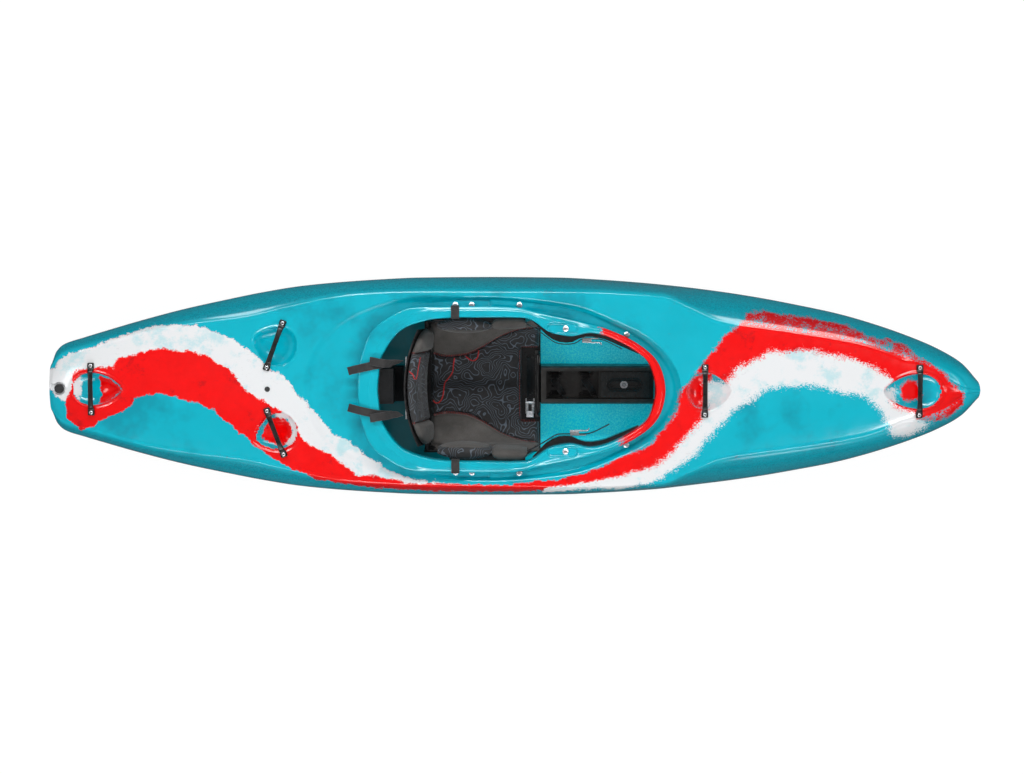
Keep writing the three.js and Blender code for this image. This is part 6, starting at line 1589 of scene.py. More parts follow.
def make_coaming():
    """Rim around the cockpit: wall, lip, inner flat, crease, outer band and underside."""
    rings = rim_rings()
    rows, count = rings.shape[:2]
    last = (rows - 1) * count
    k = np.arange(count)
    after = (k + 1) % count
    closing = np.stack([last + k, last + after, after, k], 1)
    faces = np.vstack([grid_faces(rows, count), closing]).tolist()
    piece = new_piece("coaming", rings.reshape(-1, 3), faces, POURED_PLASTIC, 50)
    x, y, z = points_of(piece).T
    red = (x - (RIM_RED_START - RIM_RED_LEAN * y)) * 0.28
    red = np.where(z > rim_top(x) - 13, red, red - 6)
    add_values(piece, "red_inside", red)
    add_values(piece, "white_inside", np.full(len(x), UNPAINTED))
    carried(piece, "boat", "shell_plastic")


# Handles and screws
HANDLE_ARCH_SHARES = [
    (-1, 0), (-0.8, 0.02), (-0.66, 0.75), (-0.35, 1), (0.35, 1), (0.66, 0.75), (0.8, 0.02), (1, 0),
]
HANDLE_WIDTH_SHARES = [
    (-1, 0.72), (-0.99, 0.9), (-0.97, 0.98), (-0.885, 1), (-0.8, 0.97), (-0.66, 0.8), (-0.35, 0.7),
    (0.35, 0.7), (0.66, 0.8), (0.8, 0.97), (0.885, 1), (0.97, 0.98), (0.99, 0.9), (1, 0.72),
]
HANDLE_ROUNDNESS = 2 / 3.4
SCREW_DOME_SHARES = [(1, 0), (1, 0.45), (0.9, 0.72), (0.72, 0.92), (0.5, 1)]


def lathe(name, profile, material, sides=32, sharp=35):
    """Round piece about Z from radius and height pairs."""
    turn = whole_turn(sides)
    circle = np.stack([np.cos(turn), np.sin(turn), np.zeros(sides)], 1)
    rings = [circle * radius + UPWARDS * height for radius, height in profile]
    return lofted(name, rings, material, sharp)


def make_screw(place):
    """Domed screw with a hexagon socket, a dark plug in it as painted shade, standing up from a
    point.
    """
    radius, height = SCREW_HEAD_RADIUS, SCREW_HEAD_HEIGHT
    socket = radius * 0.42
    profile = [(radius * out, height * up) for out, up in SCREW_DOME_SHARES]
    profile += [(socket, height), (socket * 0.98, height * 0.35), (0.01, height * 0.3)]
    # Painted shade: a dark rubber plug fills the socket's hole
    socket_shade = [(socket, height * 0.3), (socket, height * 0.7), (0.01, height * 0.6)]
    head = lathe("screw", profile, BRIGHT_METAL, 36)
    hollow = lathe("socket", socket_shade, RUBBER, 6)
    there = Matrix.Translation(Vector(place) * MM)
    return [moved(piece, there) for piece in (head, hollow)]


def foot_level(middle, reach, wide):
    """Highest place of the deck under one foot of a handle."""
    levels = []
    for out in (HANDLE_SCREW_PITCH - HANDLE_END_WIDTH, HANDLE_SCREW_PITCH, HANDLE_LENGTH):
        for over in (-1, 0, 1):
            at = middle + (out * reach + over * HANDLE_END_WIDTH * wide) / 2
            levels.append(float(deck_height(*at)))
    return max(levels)


def make_handle(node, x, y, turn, settle=0.0):
    """Grab handle: broad feet under screws, slimmer arched grip with a flattened underside."""
    middle = np.array([x, y])
    along = np.array([-math.sin(turn), math.cos(turn)])
    wide = np.array([along[1], -along[0]])
    low, high = [foot_level(middle, end * along, wide) + CLEAR - settle for end in (-1, 1)]
    at = np.sin(np.linspace(-1, 1, 97) * math.pi / 2)
    arch = curve_through(HANDLE_ARCH_SHARES)(at)
    half = curve_through(HANDLE_WIDTH_SHARES)(at) * HANDLE_FOOT_WIDTH / 2
    level = low + (high - low) * (at + 1) / 2 + arch * HANDLE_ARCH
    thick = HANDLE_FOOT_THICK + (HANDLE_MID_THICK - HANDLE_FOOT_THICK) * arch
    thick = thick * (1 - 0.5 * np.clip((np.abs(at) - 0.97) / 0.03, 0, 1) ** 2)
    turns = whole_turn(28)
    side, up = [raised(way(turns), HANDLE_ROUNDNESS) for way in (np.cos, np.sin)]
    across = half[:, None] * side * (1 - 0.1 * np.maximum(up, 0))
    rise = level[:, None] + thick[:, None] * (up + 1) / 2
    plan = middle + at[:, None, None] * HANDLE_LENGTH / 2 * along + across[:, :, None] * wide
    bar = lofted(f"{node}_grip", np.concatenate([plan, rise[:, :, None]], 2), BLACK_PLASTIC, 50)
    carried(bar, "boat", "black_plastic", node)
    screws = []
    for end in (-1, 1):
        place = middle + end * HANDLE_SCREW_PITCH / 2 * along
        height = low + (high - low) * (end * HANDLE_SCREW_PITCH / HANDLE_LENGTH + 1) / 2
        screws.extend(make_screw((*place, height + HANDLE_FOOT_THICK * 0.93)))
    carried(joined(f"{node}_screws", screws), "boat", "bright_metal")


# Seat cushion
seam_half = curve_through([
    (-258, 100), (-196, 85), (-139, 90), (-83, 115), (-23, 149), (38, 168), (86, 173),
])
pad_fullness = curve_through([
    (0, 0.55), (0.04, 0.85), (0.15, 1), (0.35, 0.95), (0.55, 1.1), (0.8, 1.35), (0.95, 1.2),
    (1, 0.9),
])


def pad_side(x):
    """Height of the pad's sides, low under the backband."""
    return PAD_SIDE_LOW + (PAD_SIDE_TOP - PAD_SIDE_LOW) * float(ease(x, -224, -190))


def pad_profile(x):
    """Top of the pad across its port half at a place along the seat."""
    thick = PAD_THICK * float(pad_fullness((x - PAD_REAR) / (PAD_FRONT - PAD_REAR)))
    under = SEAT_TOP + CLEAR
    return [
        (0, under + thick), (SEAT_FLOOR_HALF * 0.5, under + thick * 1.1),
        (SEAT_FLOOR_HALF * 0.86, under + thick * 1.05),
        (SEAT_CHEEK_HALF - PAD_THICK, SEAT_CORNER + thick * 0.35),
        (SEAT_CHEEK_HALF - PAD_THICK * 0.7, pad_side(x) - 5),
        (SEAT_CHEEK_HALF - PAD_THICK * 0.4, pad_side(x)),
    ]


def seat_bed(x):
    """The pan under the pad, across its port half."""
    return [
        (0, SEAT_TOP + CLEAR), (SEAT_FLOOR_HALF - CLEAR, SEAT_TOP + CLEAR),
        (SEAT_CHEEK_HALF - 8, SEAT_CORNER - 1.3), (SEAT_CHEEK_HALF - CLEAR, SEAT_CORNER + 5),
        (SEAT_CHEEK_HALF - CLEAR, pad_side(x)),
    ]


def pad_relief(x, half_y):
    """Puffing of the panels and the dips at the seams, along the surface's normal."""
    seam = seam_half(x)
    gap = half_y - seam
    dip = -5.5 * np.exp(-((gap / 3.2) ** 2))
    piping = 3.2 * np.exp(-(((gap - 4.5) / 2.4) ** 2))
    puff = 4.5 * np.clip(gap / 30, 0, 1) * np.clip((SEAT_CHEEK_HALF - half_y) / 20, 0, 1)
    crown = 3.0 * (1 - np.clip(half_y / np.maximum(seam, 1), 0, 1) ** 2)
    return dip + piping + puff + crown


def cushion_surfaces():
    """Places along the cushion, its top and its bed across, and the quads outside its notch."""
    before = np.linspace(PAD_REAR, PAD_NOTCH_REAR, 96)
    xs = np.concatenate([before, np.linspace(PAD_NOTCH_REAR, PAD_FRONT, 26)[1:]])
    tops, beds = [
        np.array([evenly_along(curve_points(profile(x), 20), 81) for x in xs])
        for profile in (pad_profile, seat_bed)
    ]
    half_y = tops[:, :, 0]
    end_gap = np.minimum(xs - PAD_REAR, PAD_FRONT - xs)[:, None]
    side_gap = (1 - np.linspace(0, 1, half_y.shape[1])) * 190
    notch_gap = np.hypot(
        np.clip(PAD_NOTCH_REAR - xs[:, None], 0, None), np.clip(half_y - PAD_NOTCH_HALF, 0, None),
    )
    gap = np.minimum(np.minimum(end_gap, side_gap), notch_gap)
    roundness = 0.16 + 0.84 * np.sqrt(1 - (1 - np.clip(gap / 13, 0, 1)) ** 2)
    relief = pad_relief(xs[:, None] + 0 * half_y, half_y)
    step_y, step_z = [np.gradient(tops[:, :, k], axis=1) for k in (0, 1)]
    normal = np.stack([-step_z, step_y], 2) / np.hypot(step_y, step_z)[:, :, None]
    top = beds + (tops + normal * relief[:, :, None] - beds) * roundness[:, :, None]
    near = (half_y[1:, 1:] < PAD_NOTCH_HALF) | (top[1:, 1:, 0] < PAD_NOTCH_HALF + 1)
    kept = ~(near & (xs[1:, None] > PAD_NOTCH_REAR + 0.5))
    return xs, top, beds, kept


QUAD_CORNERS = ((0, 0), (1, 0), (1, 1), (0, 1))
QUAD_EDGES = (
    ((-1, 0), (0, 0), (0, 1)), ((1, 0), (1, 0), (1, 1)),
    ((0, -1), (0, 0), (1, 0)), ((0, 1), (0, 1), (1, 1)),
)


def cushion_skin(xs, top, bed, kept):
    """Closed skin of the cushion: points and faces, port half mirrored to starboard."""
    rows, count = kept.shape
    points, faces, index = [], [], {}

    def point(layer, side, i, j):
        key = (layer, side if j else 1, i, j)
        if key not in index:
            y, z = (top if layer else bed)[i, j]
            index[key] = len(points)
            points.append((xs[i], side * y if j else 0, z))
        return index[key]

    def goes_on(i, j):
        return 0 <= i < rows and j < count and (j < 0 or kept[i, j])

    for side in (1, -1):
        for i, j in zip(*np.nonzero(kept)):
            for layer in (1, 0):
                faces.append([point(layer, side, i + a, j + b) for a, b in QUAD_CORNERS])
            for (di, dj), p, q in QUAD_EDGES:
                if not goes_on(i + di, j + dj):
                    wall = ((1, p), (1, q), (0, q), (0, p))
                    faces.append([point(layer, side, i + a, j + b) for layer, (a, b) in wall])
    return np.array(points), faces


def cover_sides(piece, is_side):
    """Open mesh cloth on the faces that a test picks by where their middle is in plan."""
    piece.data.materials.append(MESH_CLOTH)
    for face in piece.data.polygons:
        x, y, _ = face.center / MM
        if is_side(x, y):
            face.material_index = 1


def make_seat_cushion():
    """Seat cushion: crowned middle, sides up the cheeks, sewn channels between."""
    xs, top, bed, kept = cushion_surfaces()
    sew_seat(xs, top)
    points, faces = cushion_skin(xs, top, bed, kept)
    piece = new_piece("seat_cushion", points, faces, PRINTED_CLOTH, 60)
    cover_sides(piece, lambda x, y: abs(y) > float(seam_half(x)) + 2)
    carried(piece, "boat", "seat_fabric", "seat_pad")


# Seams and prints
STITCH_PITCH = 7.5
STITCH_LENGTH = 5.0
STITCH_RADIUS = 0.75
STITCH_SHARES = ((0, 0.3), (0.15, 1), (0.85, 1), (1, 0.3))
STITCH_SIDES = 6
RED_PRINT_LINES = [
    [(-172, 79), (-175, 58), (-178, 36), (-190, 18), (-201, 4), (-204, -12), (-206, -30),
     (-211, -46), (-220, -56), (-229, -57), (-237, -50)],
    [(-99, 102), (-100, 90), (-103, 80), (-109, 73), (-117, 71), (-127, 75), (-138, 84)],
]


def stitch_row(name, path, up, offset):
    """Row of separate thread stitches beside a path that lies on a surface."""
    both = evenly_along(np.hstack([path, up]), max(4, int(path_length(path) / 1.5)))
    line, lift = both[:, :3], both[:, 3:]
    across = unit(np.cross(lift, np.gradient(line, axis=0)))
    line = line + across * offset
    run = run_along(line)
    turn = whole_turn(STITCH_SIDES)[:, None]
    last = STITCH_SIDES * (len(STITCH_SHARES) - 1)
    points, faces, caps = [], [], []
    for start in np.arange(1.0, run[-1] - STITCH_LENGTH - 1, STITCH_PITCH):
        base = len(points)
        for share, size in STITCH_SHARES:
            at = start + share * STITCH_LENGTH
            centre, high, wide = [
                np.array([np.interp(at, run, field[:, k]) for k in range(3)])
                for field in (line, lift, across)
            ]
            ring = STITCH_RADIUS * size * (np.cos(turn) * wide + np.sin(turn) * high)
            points.extend(centre + ring)
        faces.extend((grid_faces(len(STITCH_SHARES), STITCH_SIDES) + base).tolist())
        caps.append(list(range(base, base + STITCH_SIDES))[::-1])
        caps.append(list(range(base + last, base + last + STITCH_SIDES)))
    return new_piece(name, points, faces + caps, SEAM_THREAD, 60)


def sewn_seam(name, path, up, body, width=7.0):
    """Piping along a seam with a row of stitches down each edge."""
    across = unit(np.cross(up, np.gradient(path, axis=0)))
    piping, _ = strap_piece(name + "_piping", path, across, width, 2.4, PIPING, steps=2)
    rows = [
        stitch_row(name + "_row", path + up * 1.3, up, side * width * 0.36) for side in (1, -1)
    ]
    carried(joined(name, [piping] + rows), body, "seat_fabric")


def red_line(name, path, up, body):
    """Line of the print that lies on a cushion."""
    across = unit(np.cross(up, np.gradient(path, axis=0)))
    piece, _ = strap_piece(name, path, across, 3.4, 0.8, RED_THREAD, steps=2)
    carried(piece, body, "seat_fabric")


def on_pad(xs, top, places):
    """Points on the seat cushion's top, and the way up there, for places in plan."""
    path, up = [], []
    for x, y in places:
        row = min(int(np.searchsorted(xs, x)), len(xs) - 1)
        side, reach = (1 if y >= 0 else -1), abs(y)
        across, height = top[row, :, 0], top[row, :, 1]
        k = int(np.clip(np.searchsorted(across, reach), 1, len(across) - 2))
        slope = (height[k + 1] - height[k - 1]) / max(across[k + 1] - across[k - 1], 0.1)
        normal = np.array([0, -side * slope, 1]) / math.hypot(1, slope)
        level = np.interp(reach, across[: k + 2], height[: k + 2])
        path.append(np.array([x, y, level]) + normal * 0.5)
        up.append(normal)
    return np.array(path), np.array(up)


def sew_seat(xs, top):
    """Seams between the cushion's panels, its notch's stitched edge and its print's red lines."""
    for side, word in SIDES:
        along = np.linspace(PAD_REAR + 9, PAD_FRONT - 7, 40)
        places = [(x, side * (float(seam_half(x)) + 2)) for x in along]
        sewn_seam(f"seat_seam_{word}", *on_pad(xs, top, places), "boat")
    half, rear, front = PAD_NOTCH_HALF + 7, PAD_NOTCH_REAR - 7, PAD_FRONT - 6
    corner = [
        (front, half), (front - 15, half), (rear + 18, half), (rear + 6, half - 2),
        (rear, half - 12), (rear, half - 30), (rear, 20),
    ]
    places = curve_points(corner + [(x, -y) for x, y in corner[::-1]], 8)
    sewn_seam("seat_notch_seam", *on_pad(xs, top, evenly_along(places, 60)), "boat", 5.0)
    for k, line in enumerate(RED_PRINT_LINES):
        places = evenly_along(curve_points(line, 8), 40)
        red_line(f"seat_red_line_{k}", *on_pad(xs, top, places), "boat")


# Backband's cushion
BAND_SEAM_Y = 103
BAND_RED_LINE = [
    (52, 0.8), (50, 0.62), (40, 0.45), (28, 0.36), (26, 0.3), (36, 0.24), (62, 0.2), (90, 0.18),
]


def band_section(y, turns):
    """Points round the cushion at a distance from the middle; turn 0 faces forward."""
    out = abs(y) / (BAND_HALF - 1)
    end = math.sqrt(max(0.05, 1 - out**8))
    thick = (BAND_PAD + (BAND_PAD_END - BAND_PAD) * out * out) * end
    seam = math.exp(-(((abs(y) - BAND_SEAM_Y) / 4) ** 2))
    roll = 8.0 * float(ease(abs(y), BAND_SEAM_Y, BAND_SEAM_Y + 14)) * end
    up = 0.5 + 0.5 * end * raised(np.sin(turns), 0.62)
    depth = 0.5 + 0.5 * raised(np.cos(turns), 0.62)
    ahead = depth > 0.5
    channel = 0.12 * np.exp(-(((up - 0.5) / 0.06) ** 2)) * ahead * (abs(y) < BAND_SEAM_Y)
    pinch = 1 - 0.3 * seam * ahead
    back = float(band_x(y, 0)) + BAND_SHEET + CLEAR
    x = back - BAND_LEAN * up + (thick * pinch + roll) * (depth - channel)
    return np.stack([x, np.full(len(x), y), band_z(up)], 1)


def on_band(places):
    """Points on the backband's cushion, and the way out there, for places across and turns."""
    path = np.array([band_section(y, np.array([turn * math.pi]))[0] for y, turn in places])
    middle = np.array([band_section(y, np.array([0.0, math.pi])).mean(0) for y, _ in places])
    out = unit(path - middle)
    return path + out * 0.4, out


def sew_backband():
    """Seams between the backband's panels, its piped rear edge and its print's red line."""
    for side, word in SIDES:
        places = [(side * BAND_SEAM_Y, turn) for turn in np.linspace(-0.42, 0.92, 30)]
        sewn_seam(f"backband_seam_{word}", *on_band(places), "backband", 6.0)
    places = [(y, 0.86) for y in np.linspace(-BAND_HALF + 12, BAND_HALF - 12, 60)]
    sewn_seam("backband_edge", *on_band(places), "backband", 6.0)
    places = evenly_along(curve_points(BAND_RED_LINE, 8), 40)
    red_line("backband_red_line", *on_band(places), "backband")


def make_backband_cushion():
    across = (BAND_HALF - 1) * np.sin(np.linspace(-1, 1, 160) * math.pi / 2)
    rings = [band_section(y, whole_turn(72)) for y in across]
    piece = lofted("backband_cushion", rings, PRINTED_CLOTH, 60)
    cover_sides(piece, lambda x, y: abs(y) > BAND_SEAM_Y)
    carried(piece, "backband", "seat_fabric", "backband_pad")
    sew_backband()


# Side pads and footrests
HIP_PRINT_FROM = 173


def ring_at(x, y, z):
    """Ring of points across the boat at one place along it."""
    return np.stack([np.full(len(y), x), y, z], 1)


def rolled_ring(x, side, low, reach, inner):
    """Section of a side pad: upright inside its channel, rolled outwards over the seat's flange."""
    flange = float(moat_floor(x)) - WALL - CLEAR
    outer = SEAT_CHEEK_HALF - HIP_CHANNEL - 0.6
    tip, shoulder = outer + reach, outer + 0.4 * reach
    face = [
        (outer, low + 4), (outer, flange - 30), (outer, flange - 6), (shoulder, flange + 1.5),
        (tip - 2, flange + 2), (tip, flange + 6), (tip - 4, flange + 11), (shoulder, flange + 13),
        (inner + 12, flange + 9), (inner + 4, flange - 2), (inner, flange - 24),
        (inner - 1, (flange + low) / 2), (inner + 1, low + 12), (inner + 7, low), (outer - 4, low),
    ]
    y, z = evenly_along(curve_points(face + face[:1], 8), 73)[:-1].T
    return ring_at(x, side * y, z)


def make_hip_pad(side, word):
    """Hip pad: mesh inside, a printed lens where it rolls out under the coaming."""
    rings = []
    for share in 0.5 - 0.5 * np.cos(np.linspace(0, 1, 80) * math.pi):
        x = HIP_REAR + share * (HIP_FRONT - HIP_REAR)
        full = math.sin(math.pi * min(max(share, 0.012), 0.988)) ** 0.55
        inner = SEAT_CHEEK_HALF - HIP_CHANNEL - HIP_THICK * (0.3 + 0.7 * full)
        rings.append(rolled_ring(x, side, HIP_LOW, 20 * full, inner))
    piece = lofted(f"hip_cushion_{word}", rings, PRINTED_CLOTH, 60)
    cover_sides(piece, lambda x, y: abs(y) < HIP_PRINT_FROM)
    carried(piece, "boat", "seat_fabric", f"hip_pad_{word}")


def make_side_bolster(side, word):
    """Mesh-covered side of the seat ahead of the hip pad, up the cheek and over its flange."""
    rings = []
    for share in np.linspace(0, 1, 60):
        x = BOLSTER_REAR + share * (BOLSTER_FRONT - BOLSTER_REAR)
        full = max(0.1, 1 - abs(2 * share - 1) ** 5) ** 0.5
        inner = SEAT_CHEEK_HALF - HIP_CHANNEL - 3 - 13 * full * (1 - 0.4 * share)
        rings.append(rolled_ring(x, side, PAD_SIDE_TOP + 1, 20 * full, inner))
    piece = lofted(f"side_bolster_{word}", rings, MESH_CLOTH, 60)
    carried(piece, "boat", "seat_fabric")


def make_foot_pad(side, word):
    """Foam face of a footrest, rounded all round, over the solid's own box."""
    low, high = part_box(f"foot_pad_{word}")
    (x0, y0, z0), (x1, y1, z1) = np.array(low) / MM, np.array(high) / MM
    turns = whole_turn(64)
    across, up = [raised(way(turns), 0.35) for way in (np.cos, np.sin)]
    inner = y0 if side > 0 else y1
    rings = []
    for share, draw in ((0, 4), (0.02, 1.2), (0.08, 0), (0.7, 0), (0.85, 1.5), (0.95, 4), (1, 8)):
        z = (z0 + z1) / 2 + up * ((z1 - z0) / 2 - draw)
        y = (y0 + y1) / 2 + across * ((y1 - y0) / 2 - draw)
        narrow = 1 - 0.3 * np.clip((z0 + 70 - z) / 70, 0, 1) ** 1.5
        rings.append(ring_at(x1 - share * (x1 - x0), inner + (y - inner) * narrow, z))
    piece = lofted(f"foot_cushion_{word}", rings, FOAM, 50)
    carried(piece, f"footrest_{word}", "pillar_foam", f"foot_pad_{word}")


# Ratchets, in their own frame: strap along X, width along Y, standing up along Z
def block(name, low, high, material=BRIGHT_METAL, bevel=0.6):
    """Box with rounded edges between two corners."""
    low, high = np.array(low), np.array(high)
    work = bmesh.new()
    bmesh.ops.create_cube(work, size=1)
    for vert in work.verts:
        vert.co = Vector((np.array(vert.co) * (high - low) + (low + high) / 2) * MM)
    bmesh.ops.bevel(
        work, geom=list(work.edges), offset=bevel * MM, segments=2, affect="EDGES", profile=0.5,
    )
    mesh = bpy.data.meshes.new(name)
    work.to_mesh(mesh)
    work.free()
    piece = linked(name, mesh)
    finish_surface(piece, material, 35)
    return piece


def rod(name, radius, start, end, sides=24):
    """Round metal bar with softened ends between two points."""
    start, end = Vector(start), Vector(end)
    reach, soft = (end - start).length, radius * 0.2
    profile = [(radius - soft, 0), (radius, soft), (radius, reach - soft), (radius - soft, reach)]
    turn = Vector((0, 0, 1)).rotation_difference(end - start).to_matrix().to_4x4()
    piece = lathe(name, profile, BRIGHT_METAL, sides)
    return moved(piece, Matrix.Translation(start * MM) @ turn)


def ratchet_base():
    """Plate with side walls, pin, pawl and rivets."""
    half, back = RATCHET_WIDTH / 2, -RATCHET_LENGTH / 2
    pin_x, pin_z = RATCHET_PIN
    pieces = [block("plate", (back, -half, 0), (-back, half, RATCHET_SHEET))]
    for y in (half - RATCHET_SHEET, -half):
        pieces.append(block("wall", (back, y, 0), (back + 26, y + RATCHET_SHEET, 14), bevel=0.9))
    pieces.append(rod("pin", 2.5, (pin_x, -half - 0.6, pin_z), (pin_x, half + 0.6, pin_z)))
    low, high = (back + 3, -half + 4, 5), (back + 9, half - 4, 8)
    pieces.append(block("pawl", low, high, BLACK_PLASTIC, 0.8))
    for x in (10, 18):
        rivet = lathe("rivet", [(2.6, 0), (2.6, 0.7), (1.6, 1.3), (0.01, 1.4)], BRIGHT_METAL, 20)
        pieces.append(moved(rivet, Matrix.Translation(Vector((x, 0, RATCHET_SHEET)) * MM)))
    return pieces


def ratchet_lever():
    """Sleeve on the pin, two sides with a window between, and a tip that curls up."""
    wide = RATCHET_WIDTH / 2 - RATCHET_SHEET - 0.8
    x, z = RATCHET_PIN
    top, pane = z + 5, wide - 5.5
    pieces = [rod("sleeve", 5, (x, -wide, z), (x, wide, z), 28)]
    for y0, y1 in ((-wide, -wide + 6), (wide - 6, wide)):
        pieces.append(block("side", (x, y0, top - 3), (x + 26, y1, top), bevel=0.8))
    low, high = (x, -pane, top - 3), (x + 26, pane, top - 1.6)
    pieces.append(block("window", low, high, BLACK_PLASTIC, 0.3))
    pieces.append(block("tip", (x + 25, -wide, top - 3), (x + 38, wide, top), bevel=1.2))
    curl = [(x + 34, top), (x + 38, top + 1.2), (x + 41, top + 3.6), (x + 42.5, top + 7)]
    for (xa, za), (xb, zb) in zip(curl, curl[1:]):
        for y in (-wide + 2, wide - 2):
            pieces.append(rod("rim", 1.3, (xa, y, za - 1.5), (xb, y, zb - 1.5), 12))
        low, high = (xa, -wide + 1, za - 2.2), (xb + 0.6, wide - 1, zb - 0.8)
        pieces.append(block("curl", low, high, bevel=0.5))
    for grip in (x + 28, x + 31, x + 34):
        pieces.append(rod("grip", 0.7, (grip, -wide + 2, top), (grip, wide - 2, top), 12))
    return pieces


def make_ratchet(matrix, *parts):
    """Ratchet at a place; its base and its lever have a name, a body and a node."""
    for pieces, (name, body, node) in zip([ratchet_base(), ratchet_lever()], parts):
        carried(moved(joined(name, pieces), matrix), body, "bright_metal", node)


def brace_ratchet_matrix(side):
    x = RATCHET_XS[side]
    place = Vector((x, side * (ratchet_reach(x) - CLEAR), ratchet_level(x)))
    along, out = Vector((1, 0, 0)), Vector((0, -side, 0))
    turn = Matrix((along, out.cross(along), out)).transposed().to_4x4()
    return Matrix.Translation(place * MM) @ turn


def lift_ratchet_matrix():
    place = Vector((LIFT_RATCHET_X, LIFT_RATCHET_Y, SEAT_TOP + CLEAR))
    turn = Matrix(((0, -1, 0), (1, 0, 0), (0, 0, 1))).transposed().to_4x4()
    return Matrix.Translation(place * MM) @ turn


# Nodes that keep their solids
def pair(name):
    return [f"{name}_{word}" for _, word in SIDES]


KEPT_NODES = (
    (BLACK_PLASTIC, 0.8, ["tray_buckle_rear", "tray_buckle_front", "backband_shell"]),
    (BLACK_PLASTIC, 1.2, ["seat_pan"]),
    (BLACK_PLASTIC, 1.5, pair("foot_plate")),
    (TRAY_PLASTIC, 2.0, ["tray_pillar"]),
    (CAP_PLASTIC, 1.5, ["pillar_cap"]),
    (BRACE_PLASTIC, 1.5, pair("thigh_brace")),
    (FOAM, 0, ["rear_pillar", "bow_pillar", "seat_base"]),
    (RUBBER, 1.2, ["drain_plug"]),
    (RUBBER, 0, ["deck_rivet"]),
    (BRIGHT_METAL, 0, ["pillar_screw"] + pair("seat_bolts") + pair("front_screw")),
    (BRIGHT_METAL, 0, pair("thigh_screw")),
    (BRIGHT_METAL, 0.6, pair("rear_buckle")),
    (RAIL_ALUMINIUM, 1.0, pair("foot_rail")),
)


def finish_kept_nodes():
    """New finishes and softened edges on the solids that stay in view."""
    for material, width, nodes in KEPT_NODES:
        for piece in [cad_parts[node] for node in nodes]:
            for slot in piece.material_slots:
                slot.material = material
            if width:
                bevel = piece.modifiers.new("soft_edges", "BEVEL")
                bevel.width = width * MM
                bevel.segments = 2
                bevel.limit_method = "ANGLE"
                bevel.angle_limit = math.radians(35)


# Floor, lamps and world
FLOOR_REACH = 9000
FLOOR_LEVEL = -0.6
LAMPS = (
    ("fill", (0, 0, 3.4), (0, 0, 0), (3.2, 1.6), 9),
    ("port_strip", (0, 2.5, 2.6), (-43.9, 0, 0), (4.4, 0.2), 68),
    ("starboard_strip", (0, -2.5, 2.6), (43.9, 0, 0), (4.4, 0.2), 60),
    ("port_gloss", (0, 2.75, 2.3), (-50, 0, 0), (4.4, 1.0), 120),
    ("starboard_gloss", (0, -2.75, 2.3), (50, 0, 0), (4.4, 1.0), 70),
    ("bow_card", (2.9, 0.4, 2.6), (0, 48, 0), (0.4, 1.2), 12),
    ("stern_card", (-2.9, 0.4, 2.6), (0, -48, 0), (0.4, 1.2), 12),
)


def blank_nodes(owner):
    """Empty nodes of a material or a world, its light paths and whether the camera sees it."""
    owner.use_nodes = True
    owner.node_tree.nodes.clear()
    n = Nodes(owner.node_tree)
    rays = n.add("ShaderNodeLightPath").outputs
    return n, rays, n.maths("MAXIMUM", rays["Is Camera Ray"], rays["Is Transmission Ray"])


def backdrop_material():
    """White to the camera, with a faint share of the light that falls on it."""
    material = bpy.data.materials.new("white_sweep")
    n, rays, seen = blank_nodes(material)
    tone = n.spread(n.noise(n.place(), 1.5, 2.0), 0.2, 0.8, 0.4, 0.42)
    tone = n.maths("MULTIPLY", tone, n.spread(rays["Is Glossy Ray"], 0.0, 1.0, 1.0, 0.3))
    colour = n.add("ShaderNodeCombineColor", {0: tone, 1: tone, 2: tone}).outputs[0]
    matt = n.add("ShaderNodeBsdfDiffuse", {"Color": colour})
    faint = n.add("ShaderNodeBsdfDiffuse", {"Color": (0.16, 0.16, 0.16, 1)})
    glow = n.add("ShaderNodeEmission", {"Color": (1, 1, 1, 1), "Strength": 0.9})
    both = n.add("ShaderNodeAddShader", {0: faint.outputs[0], 1: glow.outputs[0]})
    mixed = n.add("ShaderNodeMixShader", {0: seen, 1: matt.outputs[0], 2: both.outputs[0]})
    n.add("ShaderNodeOutputMaterial", {"Surface": mixed.outputs[0]})
    return material


def make_lamp(name, place, turn, size, power):
    data = bpy.data.lights.new(name, "AREA")
    data.shape = "RECTANGLE"
    data.size, data.size_y = size
    data.energy = power
    lamp = linked(name, data)
    lamp.location = place
    lamp.rotation_euler = [math.radians(angle) for angle in turn]
    lamp.visible_glossy = name != "fill"
    lamp.visible_diffuse = not name.endswith("gloss")


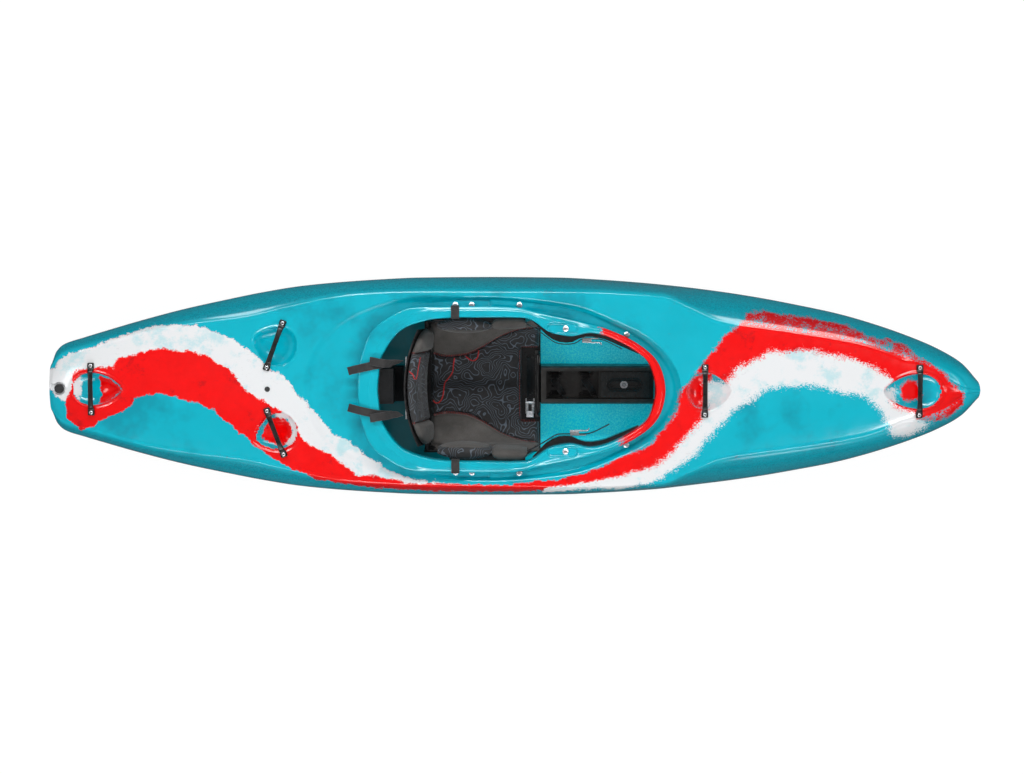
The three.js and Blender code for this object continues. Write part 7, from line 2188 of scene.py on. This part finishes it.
def make_studio():
    """White floor, lamps over both sides and a pale world round them."""
    corners = ((-1, -1), (1, -1), (1, 1), (-1, 1))
    points = [(x * FLOOR_REACH, y * FLOOR_REACH, FLOOR_LEVEL) for x, y in corners]
    floor = new_piece("floor", points, [(0, 1, 2, 3)], backdrop_material())
    for lamp in LAMPS:
        make_lamp(*lamp)
    world = bpy.data.worlds.new("studio")
    n, _, seen = blank_nodes(world)
    strength = n.maths("ADD", 0.26, n.maths("MULTIPLY", seen, 0.64))
    sky = n.add("ShaderNodeBackground", {"Color": (1, 1, 1, 1), "Strength": strength})
    n.add("ShaderNodeOutputWorld", {"Surface": sky.outputs[0]})
    bpy.context.scene.world = world
    bpy.context.scene.view_settings.view_transform = "Standard"


# The whole boat
HANDLES = (
    ("stern_handle", STERN_HANDLE_X, 0, 0, END_SETTLE),
    ("rear_handle_left", REAR_HANDLE_X, REAR_HANDLE_Y, -REAR_HANDLE_TURN),
    ("rear_handle_right", REAR_HANDLE_X, -REAR_HANDLE_Y, REAR_HANDLE_TURN),
    ("centre_handle", CENTRE_HANDLE_X, 0, 0),
    ("bow_handle", BOW_HANDLE_X, 0, 0, END_SETTLE),
)
TRAY_STRAPS = tuple(zip(TRAY_STRAP_XS, ("rear", "front")))

place_camera()
for side, word in SIDES:
    make_ladder_strap(side, word)
    make_rear_strap(side, word)
make_shell()
make_coaming()
for handle in HANDLES:
    make_handle(*handle)
make_seat_cushion()
make_backband_cushion()
make_lift_strap()
make_seat_lip()
for x, word in TRAY_STRAPS:
    make_tray_strap(x, word)
for x, word in TRAY_STRAPS:
    make_tray_tail(x, word)
make_slot_frame()
make_tray_sockets()
make_ratchet(
    lift_ratchet_matrix(), ("lift_ratchet", "boat", "leg_lift_base"),
    ("lift_lever", "leg_lift_lever", "leg_lift_lever"),
)
for side, word in SIDES:
    make_hip_pad(side, word)
    make_side_bolster(side, word)
    make_strap_fold(side, word)
    make_rim_strap(side, word)
    make_foot_pad(side, word)
    make_ratchet(
        brace_ratchet_matrix(side),
        (f"ratchet_{word}", f"thigh_brace_{word}", f"ratchet_base_{word}"),
        (f"ratchet_arm_{word}", f"ratchet_lever_{word}", f"ratchet_lever_{word}"),
    )
finish_kept_nodes()
make_studio()
